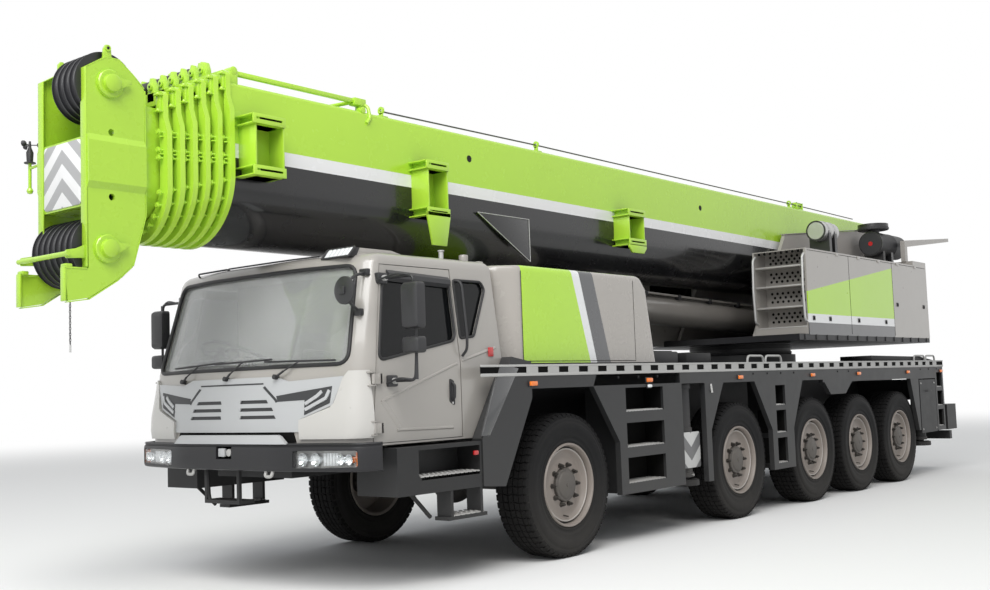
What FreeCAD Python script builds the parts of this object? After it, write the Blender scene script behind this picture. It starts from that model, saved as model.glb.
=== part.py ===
import FreeCAD, Part
import math
import os
import re

import Sketcher
from FreeCAD import Placement, Rotation, Vector

# A five-axle mobile crane, parked with its boom lowered over the cab.
# +X is forwards, +Y the driver's left, +Z up; the origin lies on the ground
# under the middle of the whole machine. Every length is in millimetres.

SIZES = {
    # Overall reach behind, to the tip of the tail arm
    "reach_rear": 7950,
    # Running clearances
    "fit_gap": 0.3, "slide_gap": 5, "panel_gap": 6,
    # Axle places, from the front axle back
    "axle_one": 3550, "gap_one_two": 3320, "gap_two_three": 2010, "gap_three_four": 1505,
    "gap_four_five": 1505,
    # Wheels
    "tyre_radius": 660, "tyre_width": 385, "tread_width": 300, "shoulder_width": 345,
    "shoulder_drop": 18, "bulge_radius": 520, "bead_width": 340, "wheel_middle": 1255,
    "rim_radius": 380, "rim_wall": 32, "rim_width": 360, "disc_inner": 20, "disc_outer": 50,
    "dish_radius": 300, "hub_radius": 165, "hub_front": 160, "hub_back": 60, "hub_chamfer": 30,
    # Axles, kingpins and spindles
    "spindle_radius": 55, "spindle_length": 75, "beam_half": 60, "beam_end": 1080,
    "kingpin_place": 1000, "kingpin_radius": 35, "eye_radius": 80, "eye_half": 65,
    "yoke_half": 140, "yoke_reach": 120, "yoke_inner": 86, "drum_radius": 190, "drum_end": 1180,
    "differential_radius": 215, "strut_radius": 70, "strut_place": 400,
    # Chassis frame
    "frame_half": 480, "frame_low": 900, "frame_rear": 7100, "frame_step": 4300,
    "frame_nose": 6050, "nose_top": 1150, "mount_pad": 160,
    "pedestal_radius": 760, "pedestal_top": 1900, "slew_back": 2650,
    # Deck and skirts
    "deck_low": 1665, "deck_top": 1770, "deck_half": 1500, "deck_front": 4230, "deck_rear": 6600,
    "skirt_wall": 60, "fender_wall": 115,
    "rest_front": 1700, "rest_back": 1500, "rest_half": 220,
    # Tail of the chassis
    "tail_front": 6680, "tail_low": 665, "tail_top": 1065, "tail_depth": 460,
    "guard_front": 6750, "guard_back": 6850, "guard_low": 515, "guard_top": 645,
    "guard_leg_low": 300, "guard_leg_high": 400, "guard_beam_low": 930,
    # Outriggers
    "front_rigger": 1320, "rear_rigger": 5850, "beam_offset": 112, "rigger_beam_width": 180,
    "rigger_beam_low": 1185, "rigger_beam_high": 1465, "rigger_wall": 16, "rigger_box_inset": 330,
    "rigger_tail_inset": 420, "jack_inset": 175, "jack_radius": 100, "jack_low": 550,
    "jack_high": 1540, "leg_radius": 65, "leg_top": 1480, "float_radius": 165, "float_low": 465,
    "float_high": 525, "cover_front": 340, "cover_back": 350, "cover_low": 665, "cover_high": 1475,
    # Boxes and steps behind the skirts
    "step_box_front": 2690, "step_box_rear": 1590, "step_box_low": 500, "step_box_depth": 460,
    "recess_depth": 250,
    "tank_front": 620, "tank_rear": 1020, "tank_depth": 370, "tank_low": 500, "box_top": 1540,
    "apron_front": 5860, "apron_rear": 4850, "apron_low": 760, "apron_high": 1135,
    "apron_depth": 460, "tread_low": 890, "tread_depth": 250, "tread_front": 5620,
    "hang_front": 5280, "hang_rear": 4800, "hang_low": 520, "hang_strap": 30, "hang_width": 160,
    "nose_step_left": 30, "nose_step_right": 430, "nose_step_low": 690, "nose_step_front": 6230,
    # Bumper
    "bumper_low": 975, "bumper_high": 1196, "bumper_inset": 10, "bumper_rear": 6012,
    "bumper_corner": 6190, "bumper_corner_half": 1400, "bumper_front": 6335,
    "bumper_front_half": 640, "bumper_gap": 8,
    "lip_half_low": 750, "lip_half_high": 650, "lip_high": 1262,
    "lamp_inner": 740, "lamp_outer": 1380, "lamp_low": 1000, "lamp_high": 1112, "lamp_depth": 14,
    # Grille panel on the cab's front, and its louvres
    "grille_out": 12, "grille_low": 1282, "grille_low_half": 810, "grille_step": 1382,
    "wing_low": 1484, "wing_low_half": 1113, "wing_high": 1700, "wing_high_half": 1195,
    "grille_shoulder": 1680, "grille_shoulder_half": 688, "grille_high": 1722, "grille_high_half": 540,
    "louvre_inner": 130, "louvre_half": 12, "louvre_one": 1402, "louvre_two": 1464,
    "louvre_three": 1526, "louvre_one_half": 545, "louvre_two_half": 515, "louvre_three_half": 440,
    # Cab
    "cab_wall": 60, "glass_inset": 18, "glass_wall": 12, "glass_margin": 25,
    "screen_low": 1835, "screen_high": 2595, "screen_low_half": 1215, "screen_high_half": 1125,
    "door_front_low": 6000, "door_front_waist": 5945, "door_front_high": 5790,
    "door_rear": 4950, "door_rear_gap": 12, "door_low": 1175, "door_waist": 1790, "door_high": 2590,
    "hinge_x": 6000, "hinge_side": 1397, "hinge_pin": 8, "hinge_barrel": 15, "hinge_height": 90,
    "hinge_one": 1250, "hinge_two": 1630, "hinge_strap": 7, "hinge_root": 90, "hinge_foot": 45,
    "hinge_lug": 12, "hinge_lug_reach": 35,
    "pane_front_low": 5890, "pane_front_high": 5760, "pane_rear": 5030, "pane_sill_front": 1835,
    "pane_sill_rear": 1960, "pane_high": 2500,
    "quarter_front": 4850, "quarter_rear": 4520, "quarter_low_rear": 4700, "quarter_low": 2030,
    "back_window_half": 800, "back_window_low": 2000, "back_window_high": 2450,
    # Door mirrors: two housings on a tube that two arms hold off the leaf
    "mirror_x": 5785, "mirror_side": 1655, "mirror_tube": 14, "mirror_arm": 11, "mirror_arm_low": 1655,
    "mirror_arm_high": 2470, "mirror_root_low": 1345, "mirror_root_high": 1275,
    "mirror_rear": 5765, "mirror_front": 5860, "mirror_chamfer": 28, "mirror_inner": 1562,
    "mirror_outer": 1745, "mirror_low": 2050, "mirror_high": 2410, "mirror_small_low": 1862,
    "mirror_small_high": 1990,
    # Round front mirror on the left pillar, held by two arms
    "disc_x": 6165, "disc_side": 1270, "disc_high": 2360, "disc_radius": 110, "disc_half": 18,
    "disc_arm": 12, "disc_low_root_x": 5965, "disc_low_root_side": 1225, "disc_low_root_high": 2200,
    "disc_high_root_x": 5865, "disc_high_root_side": 1215, "disc_high_root_high": 2520,
    # Lamp pod on the roof
    "pod_inner": 760, "pod_outer": 1090, "pod_rear": 5180, "pod_rise": 5430, "pod_brow": 5860,
    "pod_front": 5930, "pod_foot": 2655, "pod_low": 2690, "pod_high": 2748,
    # Cab interior
    "dash_front": 6020, "dash_back": 5680, "dash_low": 1500, "dash_high": 1800, "dash_half": 1180,
    "seat_place": 650, "seat_half": 250, "seat_front": 5300, "seat_back": 4800,
    "seat_low": 1500, "seat_high": 1640, "seat_rest": 2300, "seat_rest_wall": 130,
    "seat_post": 130, "wheel_ring": 220, "wheel_tube": 16, "wheel_place": 5560, "wheel_high": 1900,
    "wheel_tilt": 30,
    # Equipment enclosure and engine
    "store_front": 4310, "store_rear": 1820, "store_half": 1375, "store_top": 2675,
    "store_nose": 190, "store_shoulder": 140, "store_tail": 270, "store_wall": 40,
    "engine_front": 3700, "engine_rear": 2300, "engine_half": 450, "engine_top": 2500,
    # Turntable
    "ring_radius": 700, "table_low": 2055, "table_top": 2135, "table_front": 1650,
    "table_rear": 6450, "table_half": 1375, "cheek_inner": 560, "cheek_outer": 610,
    "cheek_front": 1950, "cheek_rise": 3020, "cheek_mid_high": 3605, "cheek_peak": 5650,
    "cheek_high": 3875, "cheek_rear": 6330,
    "pivot_back": 6050, "pivot_high": 3525, "pivot_radius": 90,
    "cross_low_front": 6250, "cross_high": 2700,
    # Machinery housings
    "house_inner": 620, "house_front": 1950, "house_rear": 6450, "house_top": 3265,
    "house_low": 2125, "house_notch": 5880, "house_rear_top": 3335,
    "stair_depth": 320, "shelf_wall": 25, "shelf_one": 2235, "shelf_two": 2505,
    "shelf_three": 2785, "shelf_four": 3045, "far_house_front": 2680,
    # Fittings on the housings
    "cleaner_radius": 190, "cleaner_front": 5310, "cleaner_rear": 6350, "cleaner_high": 3610,
    "cleaner_side": 950, "cap_radius": 230, "cap_low": 3830, "cap_high": 3920, "cap_neck": 90,
    "cap_place": 5450,
    "silencer_radius": 145, "silencer_front": 3290, "silencer_rear": 3780,
    "silencer_high": 3645, "saddle_half": 40, "saddle_width": 150,
    "arm_front": 5850, "arm_low": 3560, "arm_rise": 300, "arm_root": 105, "arm_tip": 58,
    "arm_side": 1250, "arm_half": 35,
    # Operator's cab
    "booth_front": 1000, "booth_chin": 1080, "booth_top_front": 1250, "booth_rear": 2600,
    "booth_low": 2060, "booth_chin_high": 2300, "booth_high": 3560, "booth_inner": 640,
    "booth_outer": 1380, "booth_wall": 45, "booth_sill": 2700, "booth_window_top": 3450,
    "hatch_front": 1430, "hatch_rear": 2330, "hatch_low": 2130, "hatch_high": 3480,
    "hatch_wall": 40, "hatch_stile": 70,
    # Winch
    "winch_back": 4900, "winch_high": 2450, "winch_radius": 210, "winch_flange": 290,
    "winch_half": 330, "winch_plate": 25,
    # Boom
    "boom_rear": 6400, "boom_collar": 6670, "boom_half": 500, "boom_low": 2805,
    "boom_high": 4065, "boom_wall": 12, "side_step": 35, "low_step": 20, "high_step": 45,
    "collar_pitch": 95, "collar_wall": 45, "collar_half": 560, "collar_half_step": 30,
    "collar_low": 2775, "collar_rise": 90, "lug_rise": 120, "lug_half": 45, "lug_place": 200,
    "section_tail": 5830, "tail_step": 60, "pad_length": 300, "pad_half": 60,
    "boss_radius": 170, "boss_out": 50,
    "carrier_out": 230, "carrier_wall": 40, "carrier_bar": 80,
    "tongue_low": 2890, "tongue_taper": 60,
    "guide_half": 22, "guide_rise": 75, "guide_side": 60, "guide_one": 4880, "guide_two": 2560,
    "guide_back": 3550,
    "rail_rear": 5110, "rail_front": 6560, "rail_side": 420, "rail_high": 4165, "rail_radius": 22,
    "stay_front": 3660, "stay_rear": 2840, "stay_high": 3300, "stay_low": 2860, "stay_out": 30,
    # Boom head
    "head_half": 330, "head_wall": 28, "head_back": 7290, "head_brow": 7380, "head_brow_high": 3995,
    "head_crown": 7500, "head_crown_high": 4095, "head_crown_front": 7610, "head_face": 7770,
    "head_face_high": 3995, "head_heel_high": 2945, "head_chin": 7400, "head_chin_high": 2565,
    "head_jaw": 7530, "head_jaw_high": 2455, "horn_root": 7760, "horn_length": 190, "horn_low": 2285,
    "horn_high": 2525, "swell_low": 3110, "swell_high": 3510, "swell_slope": 50, "swell_out": 25,
    "cap_out": 14,
    "plate_low": 2985, "plate_high": 3495, "plate_wall": 30,
    "upper_sheave_x": 7580, "upper_sheave_z": 3900, "upper_sheave_radius": 300,
    "lower_sheave_x": 7610, "lower_sheave_z": 2675, "lower_sheave_radius": 300,
    "sheave_pitch": 78, "groove_depth": 40, "sheave_pin": 55,
    "jib_bore_x": 7570, "jib_bore_low": 3060, "jib_bore_high": 3540, "jib_bore_radius": 25,
    # Lift cylinder
    "ram_back": 3650, "ram_high": 2400, "ram_eye_x": 1200, "ram_eye_z": 2540,
    "barrel_radius": 190, "barrel_length": 4480, "rod_radius": 120, "rod_start": 150,
    "eye_outer": 120, "eye_width": 150, "ram_pin": 60, "clevis_inner": 82, "clevis_outer": 130,
}

# One row for each level of the cab: its height, then its plan from the back wall
# to the front, as distances forward (rear, side, corner, front) and half widths.
CAB_LEVELS = {
    "floor": {"height": 1165, "rear": 4390, "side": 6030, "half": 1375, "corner": 6150,
              "corner_half": 1290, "front": 6280, "front_half": 600},
    "waist": {"height": 1790, "rear": 4390, "side": 5960, "half": 1375, "corner": 6090,
              "corner_half": 1290, "front": 6250, "front_half": 600},
    "header": {"height": 2640, "rear": 4390, "side": 5820, "half": 1270, "corner": 5870,
               "corner_half": 1190, "front": 6010, "front_half": 600},
    "roof": {"height": 2695, "rear": 4440, "side": 5680, "half": 1160, "corner": 5730,
             "corner_half": 1080, "front": 5860, "front_half": 560},
}
for level, plan in CAB_LEVELS.items():
    for part_of_plan, value in plan.items():
        SIZES[f"cab_{level}_{part_of_plan}"] = value

# One row for each trapezoid of a side skirt that hangs from the deck: the distances
# forward of its front and rear ends at the top and at the bottom, and both heights.
SKIRT_COLUMNS = ("front_high", "rear_high", "front_low", "rear_low", "high", "low")
SKIRTS = {
    "arch_one": (4150, 3140, 4150, 3200, 1665, 1555),
    "steps_high": (3200, 1570, 2780, 1570, 1560, 1005),
    "steps_low": (2780, 1570, 2780, 1570, 1010, 495),
    "front_bay": (1600, 1040, 1600, 1040, 1665, 1550),
    "post_high": (1080, 650, 1080, 970, 1560, 1035),
    "post_low": (1080, 970, 1080, 970, 1040, 485),
    "arch_two": (1100, -120, 1100, -120, 1665, 1545),
    "ladder_high": (-80, -1400, -500, -1080, 1560, 965),
    "ladder_low": (-500, -1080, -500, -1080, 970, 490),
    "arch_three": (-100, -2050, -100, -2050, 1665, 1535),
    "drop_between": (-2000, -3010, -2230, -2710, 1545, 1340),
    "arch_four": (-2000, -5200, -2000, -5200, 1665, 1500),
    "rear_slant": (-5130, -5475, -5410, -5475, 1510, 715),
    "rear_bay": (-5190, -6230, -5190, -6230, 1665, 1490),
    "rear_ladder": (-6215, -6580, -6215, -6580, 1665, 675),
}
for skirt, row in SKIRTS.items():
    for column, value in zip(SKIRT_COLUMNS, row):
        SIZES[f"skirt_{skirt}_{column}"] = value

# One row for each corner of the fender behind the cab door: its distance forward, its height.
FENDER = {
    "crest": (4420, 1838), "brow": (4150, 1795), "back": (4150, 1475), "heel": (4560, 735),
    "toe": (4850, 760), "front": (4850, 1155),
}
for corner, (forward, height) in FENDER.items():
    SIZES[f"fender_{corner}_forward"] = forward
    SIZES[f"fender_{corner}_high"] = height

# One row for each opening of the side steps and ladders: its ends and its heights.
OPENING_COLUMNS = ("front", "rear", "low", "high")
OPENINGS = {
    "step_low": (2650, 1950, 595, 845),
    "step_mid": (2650, 1950, 945, 1185),
    "step_high": (2650, 1950, 1295, 1530),
    "rung_low": (-620, -880, 560, 860),
    "rung_mid": (-620, -880, 920, 1190),
    "rung_high": (-620, -880, 1250, 1490),
    "tail_rung_low": (-6280, -6520, 740, 1000),
    "tail_rung_mid": (-6280, -6520, 1060, 1290),
    "tail_rung_high": (-6280, -6520, 1350, 1580),
}
for opening, row in OPENINGS.items():
    for column, value in zip(OPENING_COLUMNS, row):
        SIZES[f"{opening}_{column}"] = value

# One row for each jib carrier on the boom's left side: its ends and its heights.
CARRIER_COLUMNS = ("front", "rear", "low", "high")
CARRIERS = {
    "carrier_one": (6580, 6250, 3295, 3785),
    "carrier_two": (4600, 4290, 3160, 3675),
    "carrier_three": (1250, 890, 3135, 3555),
}
for carrier, row in CARRIERS.items():
    for column, value in zip(CARRIER_COLUMNS, row):
        SIZES[f"{carrier}_{column}"] = value

AXLE_GAPS = ("gap_one_two", "gap_two_three", "gap_three_four", "gap_four_five")
AXLES = ["axle_one" + "".join(f" - {gap}" for gap in AXLE_GAPS[:count]) for count in range(5)]
STEERED_COUNT = 2
# A tyre's sides, and how much further out its corners lie than its flats
TYRE_SIDES = 34
FLAT_TO_CORNER = 1 / math.cos(math.pi / TYRE_SIDES)
SECTION_COUNT = 7
UPPER_GROOVES, LOWER_GROOVES = 4, 7
# How far a cutter runs past the face that it cuts
PAST = 1

# Places across the machine that follow the deck's edge
FENDER_INNER = "(deck_half - fender_wall)"
TAIL_INNER = "(deck_half - tail_depth)"
RIGGER_BOX_HALF = "(deck_half - rigger_box_inset)"
RIGGER_BEAM_TAIL = "(deck_half - rigger_tail_inset)"
JACK_PLACE = "(deck_half - jack_inset)"
STEP_BOX_INNER = "(deck_half - step_box_depth)"
TANK_INNER = "(deck_half - tank_depth)"
APRON_INNER = "(deck_half - apron_depth)"
BUMPER_SIDE = "(deck_half - bumper_inset)"

doc = FreeCAD.newDocument("MobileCrane")
sheet = doc.addObject("Spreadsheet::Sheet", "Sizes")
for row, (name, value) in enumerate(SIZES.items(), 1):
    sheet.set(f"A{row}", name)
    sheet.set(f"B{row}", str(value))
    sheet.setAlias(f"B{row}", name)
doc.recompute()

SIZE_NAME = re.compile(r"[a-z][a-z_]*[a-z]")
TURN = {
    "x": Rotation(Vector(0, 1, 0), 90),
    "y": Rotation(Vector(1, 0, 0), -90),
    "z": Rotation(),
}
nodes = []


def bound(text):
    """An expression in which each size name points at its cell."""
    return SIZE_NAME.sub(lambda word: "Sizes." + word.group(), str(text))


def node(label, piece):
    """Name a finished sub-part and list it for writing."""
    piece.Label = label
    nodes.append(piece)
    return piece


def block(x, y, z):
    """A box between a low and a high expression along each axis."""
    made = doc.addObject("Part::Box", "Block")
    for side, letter, (low, high) in (("Length", "x", x), ("Width", "y", y), ("Height", "z", z)):
        made.setExpression(side, bound(f"({high}) - ({low})"))
        made.setExpression("Placement.Base." + letter, bound(low))
    return made


def drum(axis, radius, centre, ends):
    """A cylinder along an axis, with its centre on the other two axes."""
    made = doc.addObject("Part::Cylinder", "Drum")
    made.Placement = Placement(Vector(), TURN[axis])
    low, high = ends
    made.setExpression("Radius", bound(radius))
    made.setExpression("Height", bound(f"({high}) - ({low})"))
    made.setExpression("Placement.Base." + axis, bound(low))
    for letter, place in zip([a for a in "xyz" if a != axis], centre):
        made.setExpression("Placement.Base." + letter, bound(place))
    return made


def bar(radius, start, end):
    """A round bar between two points, each given as three size names."""
    first, last = (Vector(*(SIZES[name] for name in point)) for point in (start, end))
    run = last - first
    made = doc.addObject("Part::Cylinder", "Bar")
    made.Placement = Placement(first, Rotation(Vector(0, 0, 1), run))
    made.setExpression("Radius", bound(radius))
    made.Height = run.Length
    return made


def draw(sketch, corners):
    """Close a polygon through corners whose coordinates are expressions."""
    count = len(corners)
    rough = [(100 * math.cos(2 * math.pi * k / count), 100 * math.sin(2 * math.pi * k / count))
             for k in range(count)]
    lines = [Part.LineSegment(Vector(*rough[k], 0), Vector(*rough[(k + 1) % count], 0))
             for k in range(count)]
    sketch.addGeometry(lines, False)
    for k in range(count):
        sketch.addConstraint(Sketcher.Constraint("Coincident", k, 2, (k + 1) % count, 1))
    for k, (across, up) in enumerate(corners):
        held = sketch.addConstraint(Sketcher.Constraint("DistanceX", -1, 1, k, 1, rough[k][0]))
        sketch.setExpression(f"Constraints[{held}]", bound(across))
        held = sketch.addConstraint(Sketcher.Constraint("DistanceY", -1, 1, k, 1, rough[k][1]))
        sketch.setExpression(f"Constraints[{held}]", bound(up))


def sketch_on(body, role, corners):
    """A closed sketch on one of a body's own origin planes."""
    plane = [feature for feature in body.Origin.OriginFeatures if feature.Role == role][0]
    sketch = body.newObject("Sketcher::SketchObject", "Outline")
    sketch.AttachmentSupport = (plane, [""])
    sketch.MapMode = "FlatFace"
    draw(sketch, corners)
    return sketch


def panel(plane, corners, ends):
    """An outline on XY, XZ or YZ, padded between two places along the third axis."""
    body = doc.addObject("PartDesign::Body", "Panel")
    sketch = sketch_on(body, plane + "_Plane", corners)
    low, high = ends
    start = f"-({high})" if plane == "XZ" else low
    sketch.setExpression("AttachmentOffset.Base.z", bound(start))
    pad = body.newObject("PartDesign::Pad", "Pad")
    pad.Profile = sketch
    pad.setExpression("Length", bound(f"({high}) - ({low})"))
    return body


def turned(corners, centre):
    """An outline of (place along Y, radius) spun about the Y axis through a centre."""
    body = doc.addObject("PartDesign::Body", "Turned")
    sketch = sketch_on(body, "YZ_Plane", corners)
    spin = body.newObject("PartDesign::Revolution", "Spin")
    spin.Profile = sketch
    spin.ReferenceAxis = (sketch, ["H_Axis"])
    spin.Angle = 360
    for letter, place in zip("xyz", centre):
        body.setExpression("Placement.Base." + letter, bound(place))
    return body


def joined(pieces):
    """One solid from pieces that meet."""
    made = doc.addObject("Part::MultiFuse", "Joined")
    made.Shapes = pieces
    made.Refine = True
    return made


def shared(pieces):
    """What several pieces have in common."""
    made = doc.addObject("Part::MultiCommon", "Shared")
    made.Shapes = pieces
    return made


def less(piece, tools):
    """A piece with others cut away."""
    made = doc.addObject("Part::Cut", "Less")
    made.Base = piece
    made.Tool = tools[0] if len(tools) == 1 else joined(tools)
    return made


def apart(pieces):
    """Like pieces that don't touch, kept as separate solids."""
    made = doc.addObject("Part::Compound", "Apart")
    made.Links = pieces
    return made


def mirrored(piece):
    """The same piece on the right-hand side."""
    made = doc.addObject("Part::Mirroring", "Mirrored")
    made.Source = piece
    made.Base = Vector()
    made.Normal = Vector(0, 1, 0)
    return made


def across(half):
    """A pair of ends, the same distance each side of the middle."""
    return (f"-({half})", half)


# Wheels: a tyre on a dished rim with a planetary hub
def tyre(axle):
    """A many-sided ring of flat facets, with a flat side on the ground."""
    size = sheet.get
    half = [
        (size("bead_width") / 2, size("rim_radius") + size("fit_gap")),
        (size("tyre_width") / 2, size("bulge_radius")),
        (size("shoulder_width") / 2, size("tyre_radius") - size("shoulder_drop")),
        (size("tread_width") / 2, size("tyre_radius")),
    ]
    outline = half + [(-place, radius) for place, radius in half[::-1]]
    corners = []
    for side in range(TYRE_SIDES):
        turn = 2 * math.pi * side / TYRE_SIDES
        corners.append([Vector(radius * FLAT_TO_CORNER * math.cos(turn), place,
                               radius * FLAT_TO_CORNER * math.sin(turn)) for place, radius in outline])
    facets = []
    for here, after in zip(corners, corners[1:] + corners[:1]):
        for k in range(len(outline)):
            loop = [here[k - 1], after[k - 1], after[k], here[k], here[k - 1]]
            facets.append(Part.Face(Part.makePolygon(loop)))
    made = doc.addObject("Part::Feature", "Tyre")
    made.Shape = Part.Solid(Part.Shell(facets))
    for letter, place in zip("xyz", (axle, "wheel_middle", "tyre_radius")):
        made.setExpression("Placement.Base." + letter, bound(place))
    return made


def rim(axle):
    outline = [
        ("-rim_width / 2", "rim_radius"),
        ("rim_width / 2", "rim_radius"),
        ("rim_width / 2", "rim_radius - rim_wall"),
        ("disc_outer + rim_wall", "rim_radius - 1.5 * rim_wall"),
        ("disc_outer", "dish_radius"),
        ("disc_outer", "hub_radius"),
        ("hub_front - hub_chamfer", "hub_radius"),
        ("hub_front", "hub_radius - hub_chamfer"),
        ("hub_front", "0"),
        ("spindle_length + slide_gap", "0"),
        ("spindle_length + slide_gap", "spindle_radius + fit_gap"),
        ("-hub_back", "spindle_radius + fit_gap"),
        ("-hub_back", "hub_radius"),
        ("disc_inner", "hub_radius"),
        ("disc_inner", "rim_radius - 1.5 * rim_wall"),
        ("-rim_width / 2", "rim_radius - rim_wall"),
    ]
    return turned(outline, (axle, "wheel_middle", "tyre_radius"))


def spindle(axle, root):
    return drum("y", "spindle_radius", (axle, "tyre_radius"), (root, "wheel_middle + spindle_length"))


def knuckle(axle):
    """A yoke over and under the axle's eye, with its kingpin, brake drum and spindle."""
    middle = "tyre_radius"
    wide = (f"{axle} - beam_half", f"{axle} + beam_half")
    reach = ("kingpin_place", "kingpin_place + yoke_reach")
    plate = block(wide, ("kingpin_place + yoke_inner", "kingpin_place + yoke_reach"),
                  (f"{middle} - yoke_half", f"{middle} + yoke_half"))
    top_ends = (f"{middle} + eye_half + fit_gap", f"{middle} + yoke_half")
    low_ends = (f"{middle} - yoke_half", f"{middle} - eye_half - fit_gap")
    pieces = [plate]
    for ends in (top_ends, low_ends):
        pieces.append(block(wide, reach, ends))
        pieces.append(drum("z", "beam_half", (axle, "kingpin_place"), ends))
    pin_ends = (f"{middle} - yoke_half", f"{middle} + yoke_half")
    pieces.append(drum("z", "kingpin_radius", (axle, "kingpin_place"), pin_ends))
    pieces.append(drum("y", "drum_radius", (axle, middle),
                       ("kingpin_place + yoke_reach", "drum_end")))
    pieces.append(spindle(axle, "kingpin_place + yoke_reach"))
    return joined(pieces)


def axle_beam(axle, steered):
    middle = "tyre_radius"
    end = "kingpin_place" if steered else "beam_end"
    upright = (f"{middle} - beam_half", f"{middle} + beam_half")
    pieces = [block((f"{axle} - beam_half", f"{axle} + beam_half"), across(end), upright)]
    ball = doc.addObject("Part::Sphere", "Differential")
    ball.setExpression("Radius", bound("differential_radius"))
    ball.setExpression("Placement.Base.x", bound(axle))
    ball.setExpression("Placement.Base.z", bound(middle))
    pieces.append(ball)
    side_pieces = [drum("z", "strut_radius", (axle, "strut_place"), (middle, "frame_low"))]
    if steered:
        side_pieces.append(drum("z", "eye_radius", (axle, "kingpin_place"),
                                (f"{middle} - eye_half", f"{middle} + eye_half")))
    else:
        side_pieces.append(drum("y", "drum_radius", (axle, middle), ("beam_end", "drum_end")))
        side_pieces.append(spindle(axle, "beam_end"))
    pieces += side_pieces + [mirrored(piece) for piece in side_pieces]
    whole = joined(pieces)
    if not steered:
        return whole
    bore = drum("z", "kingpin_radius + fit_gap", (axle, "kingpin_place"),
                (f"{middle} - yoke_half", f"{middle} + yoke_half"))
    return less(whole, [bore, mirrored(bore)])


for number, axle in enumerate(AXLES, 1):
    for kind, maker in (("tyre", tyre), ("rim", rim)):
        left = maker(axle)
        node(f"{kind}_{number}_left", left)
        node(f"{kind}_{number}_right", mirrored(left))
    if number <= STEERED_COUNT:
        left = knuckle(axle)
        node(f"knuckle_{number}_left", left)
        node(f"knuckle_{number}_right", mirrored(left))
node("axles", apart([axle_beam(axle, count < STEERED_COUNT) for count, axle in enumerate(AXLES)]))


# Chassis frame with its outrigger boxes, pedestal and rear guard
RIGGERS = {"front": "front_rigger", "rear": "-rear_rigger"}
CHANNEL = "(rigger_beam_width / 2 + slide_gap)"


def beam_middle(place, side):
    return f"{place} + beam_offset" if side == "left" else f"{place} - beam_offset"


def rigger_box(place):
    ends = (f"{place} - beam_offset - {CHANNEL} - rigger_wall",
            f"{place} + beam_offset + {CHANNEL} + rigger_wall")
    return block(ends, across(RIGGER_BOX_HALF),
                 ("rigger_beam_low - slide_gap - rigger_wall",
                  "rigger_beam_high + slide_gap + rigger_wall"))


def rigger_channel(place, side):
    middle = beam_middle(place, side)
    return block((f"{middle} - {CHANNEL}", f"{middle} + {CHANNEL}"),
                 across(f"{RIGGER_BOX_HALF} + rigger_wall"),
                 ("rigger_beam_low - fit_gap", "rigger_beam_high + slide_gap"))


frame_pieces = [
    block(("-frame_rear", "frame_step"), across("frame_half"), ("frame_low", "deck_low")),
    block(("frame_step", "frame_nose"), across("frame_half"), ("frame_low", "nose_top")),
    drum("z", "pedestal_radius", ("-slew_back", "0"), (f"deck_low - {PAST}", "pedestal_top")),
    block(("-guard_back", "-guard_front"), across("deck_half - slide_gap"),
          ("guard_beam_low", "tail_top")),
    block(("-guard_back", "-guard_front"), across("deck_half - slide_gap"),
          ("guard_low", "guard_top")),
]
guard_pieces = [
    block(("-guard_back", "-guard_front"), ("guard_leg_low", "guard_leg_high"),
          ("guard_low", "guard_beam_low")),
    block(("-frame_rear", "-tail_front"), (TAIL_INNER, "deck_half"), ("tail_low", "tail_top")),
    block(("frame_nose - mount_pad", "frame_nose"), ("frame_half - mount_pad", "frame_half"),
          ("frame_low", "cab_floor_height")),
    block(("frame_step + mount_pad", "frame_step + 2 * mount_pad"),
          ("frame_half - mount_pad", "frame_half"), ("frame_low", "cab_floor_height")),
]
frame_pieces += guard_pieces + [mirrored(piece) for piece in guard_pieces]
frame_pieces += [rigger_box(place) for place in RIGGERS.values()]
channels = [rigger_channel(place, side) for place in RIGGERS.values() for side in ("left", "right")]
node("chassis_frame", less(joined(frame_pieces), channels))


# Deck with its rail edge, side skirts, front fenders and boom rest
def skirt(name):
    size = f"skirt_{name}_"
    corners = [(size + "front_high", size + "high"), (size + "rear_high", size + "high"),
               (size + "rear_low", size + "low"), (size + "front_low", size + "low")]
    return panel("XZ", corners, ("deck_half - skirt_wall", "deck_half"))


def opening(name, depth):
    return block((name + "_rear", name + "_front"), (f"deck_half - ({depth})", "deck_half + panel_gap"),
                 (name + "_low", name + "_high"))


fender = panel("XZ", [(f"fender_{corner}_forward", f"fender_{corner}_high") for corner in FENDER],
               (FENDER_INNER, "deck_half"))
side = joined([skirt(name) for name in SKIRTS] + [fender])
side = less(side, [opening(name, "skirt_wall + panel_gap") for name in OPENINGS])
deck = less(block(("-deck_rear", "deck_front"), across("deck_half"), ("deck_low", "deck_top")),
            [drum("z", "pedestal_radius", ("-slew_back", "0"),
                  (f"deck_low - {PAST}", f"deck_top + {PAST}"))])
rest = block(("rest_back", "rest_front"), across("rest_half"), ("deck_top", "boom_low - slide_gap"))
node("deck_and_skirts", joined([deck, side, mirrored(side), rest]))


# Boxes and steps behind the skirts and under the doors
def hanging_step():
    ends = (f"{BUMPER_SIDE} - hang_width", f"{BUMPER_SIDE} - panel_gap")
    tread = block(("hang_rear", "hang_front"), ends, ("hang_low", "hang_low + hang_strap"))
    pieces = [tread]
    for low, high in (("apron_rear", "apron_rear + hang_strap"),
                      ("hang_front - 2 * hang_strap", "hang_front - hang_strap")):
        pieces.append(block((low, high), ends, ("hang_low", "apron_low + hang_strap")))
    return pieces


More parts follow.
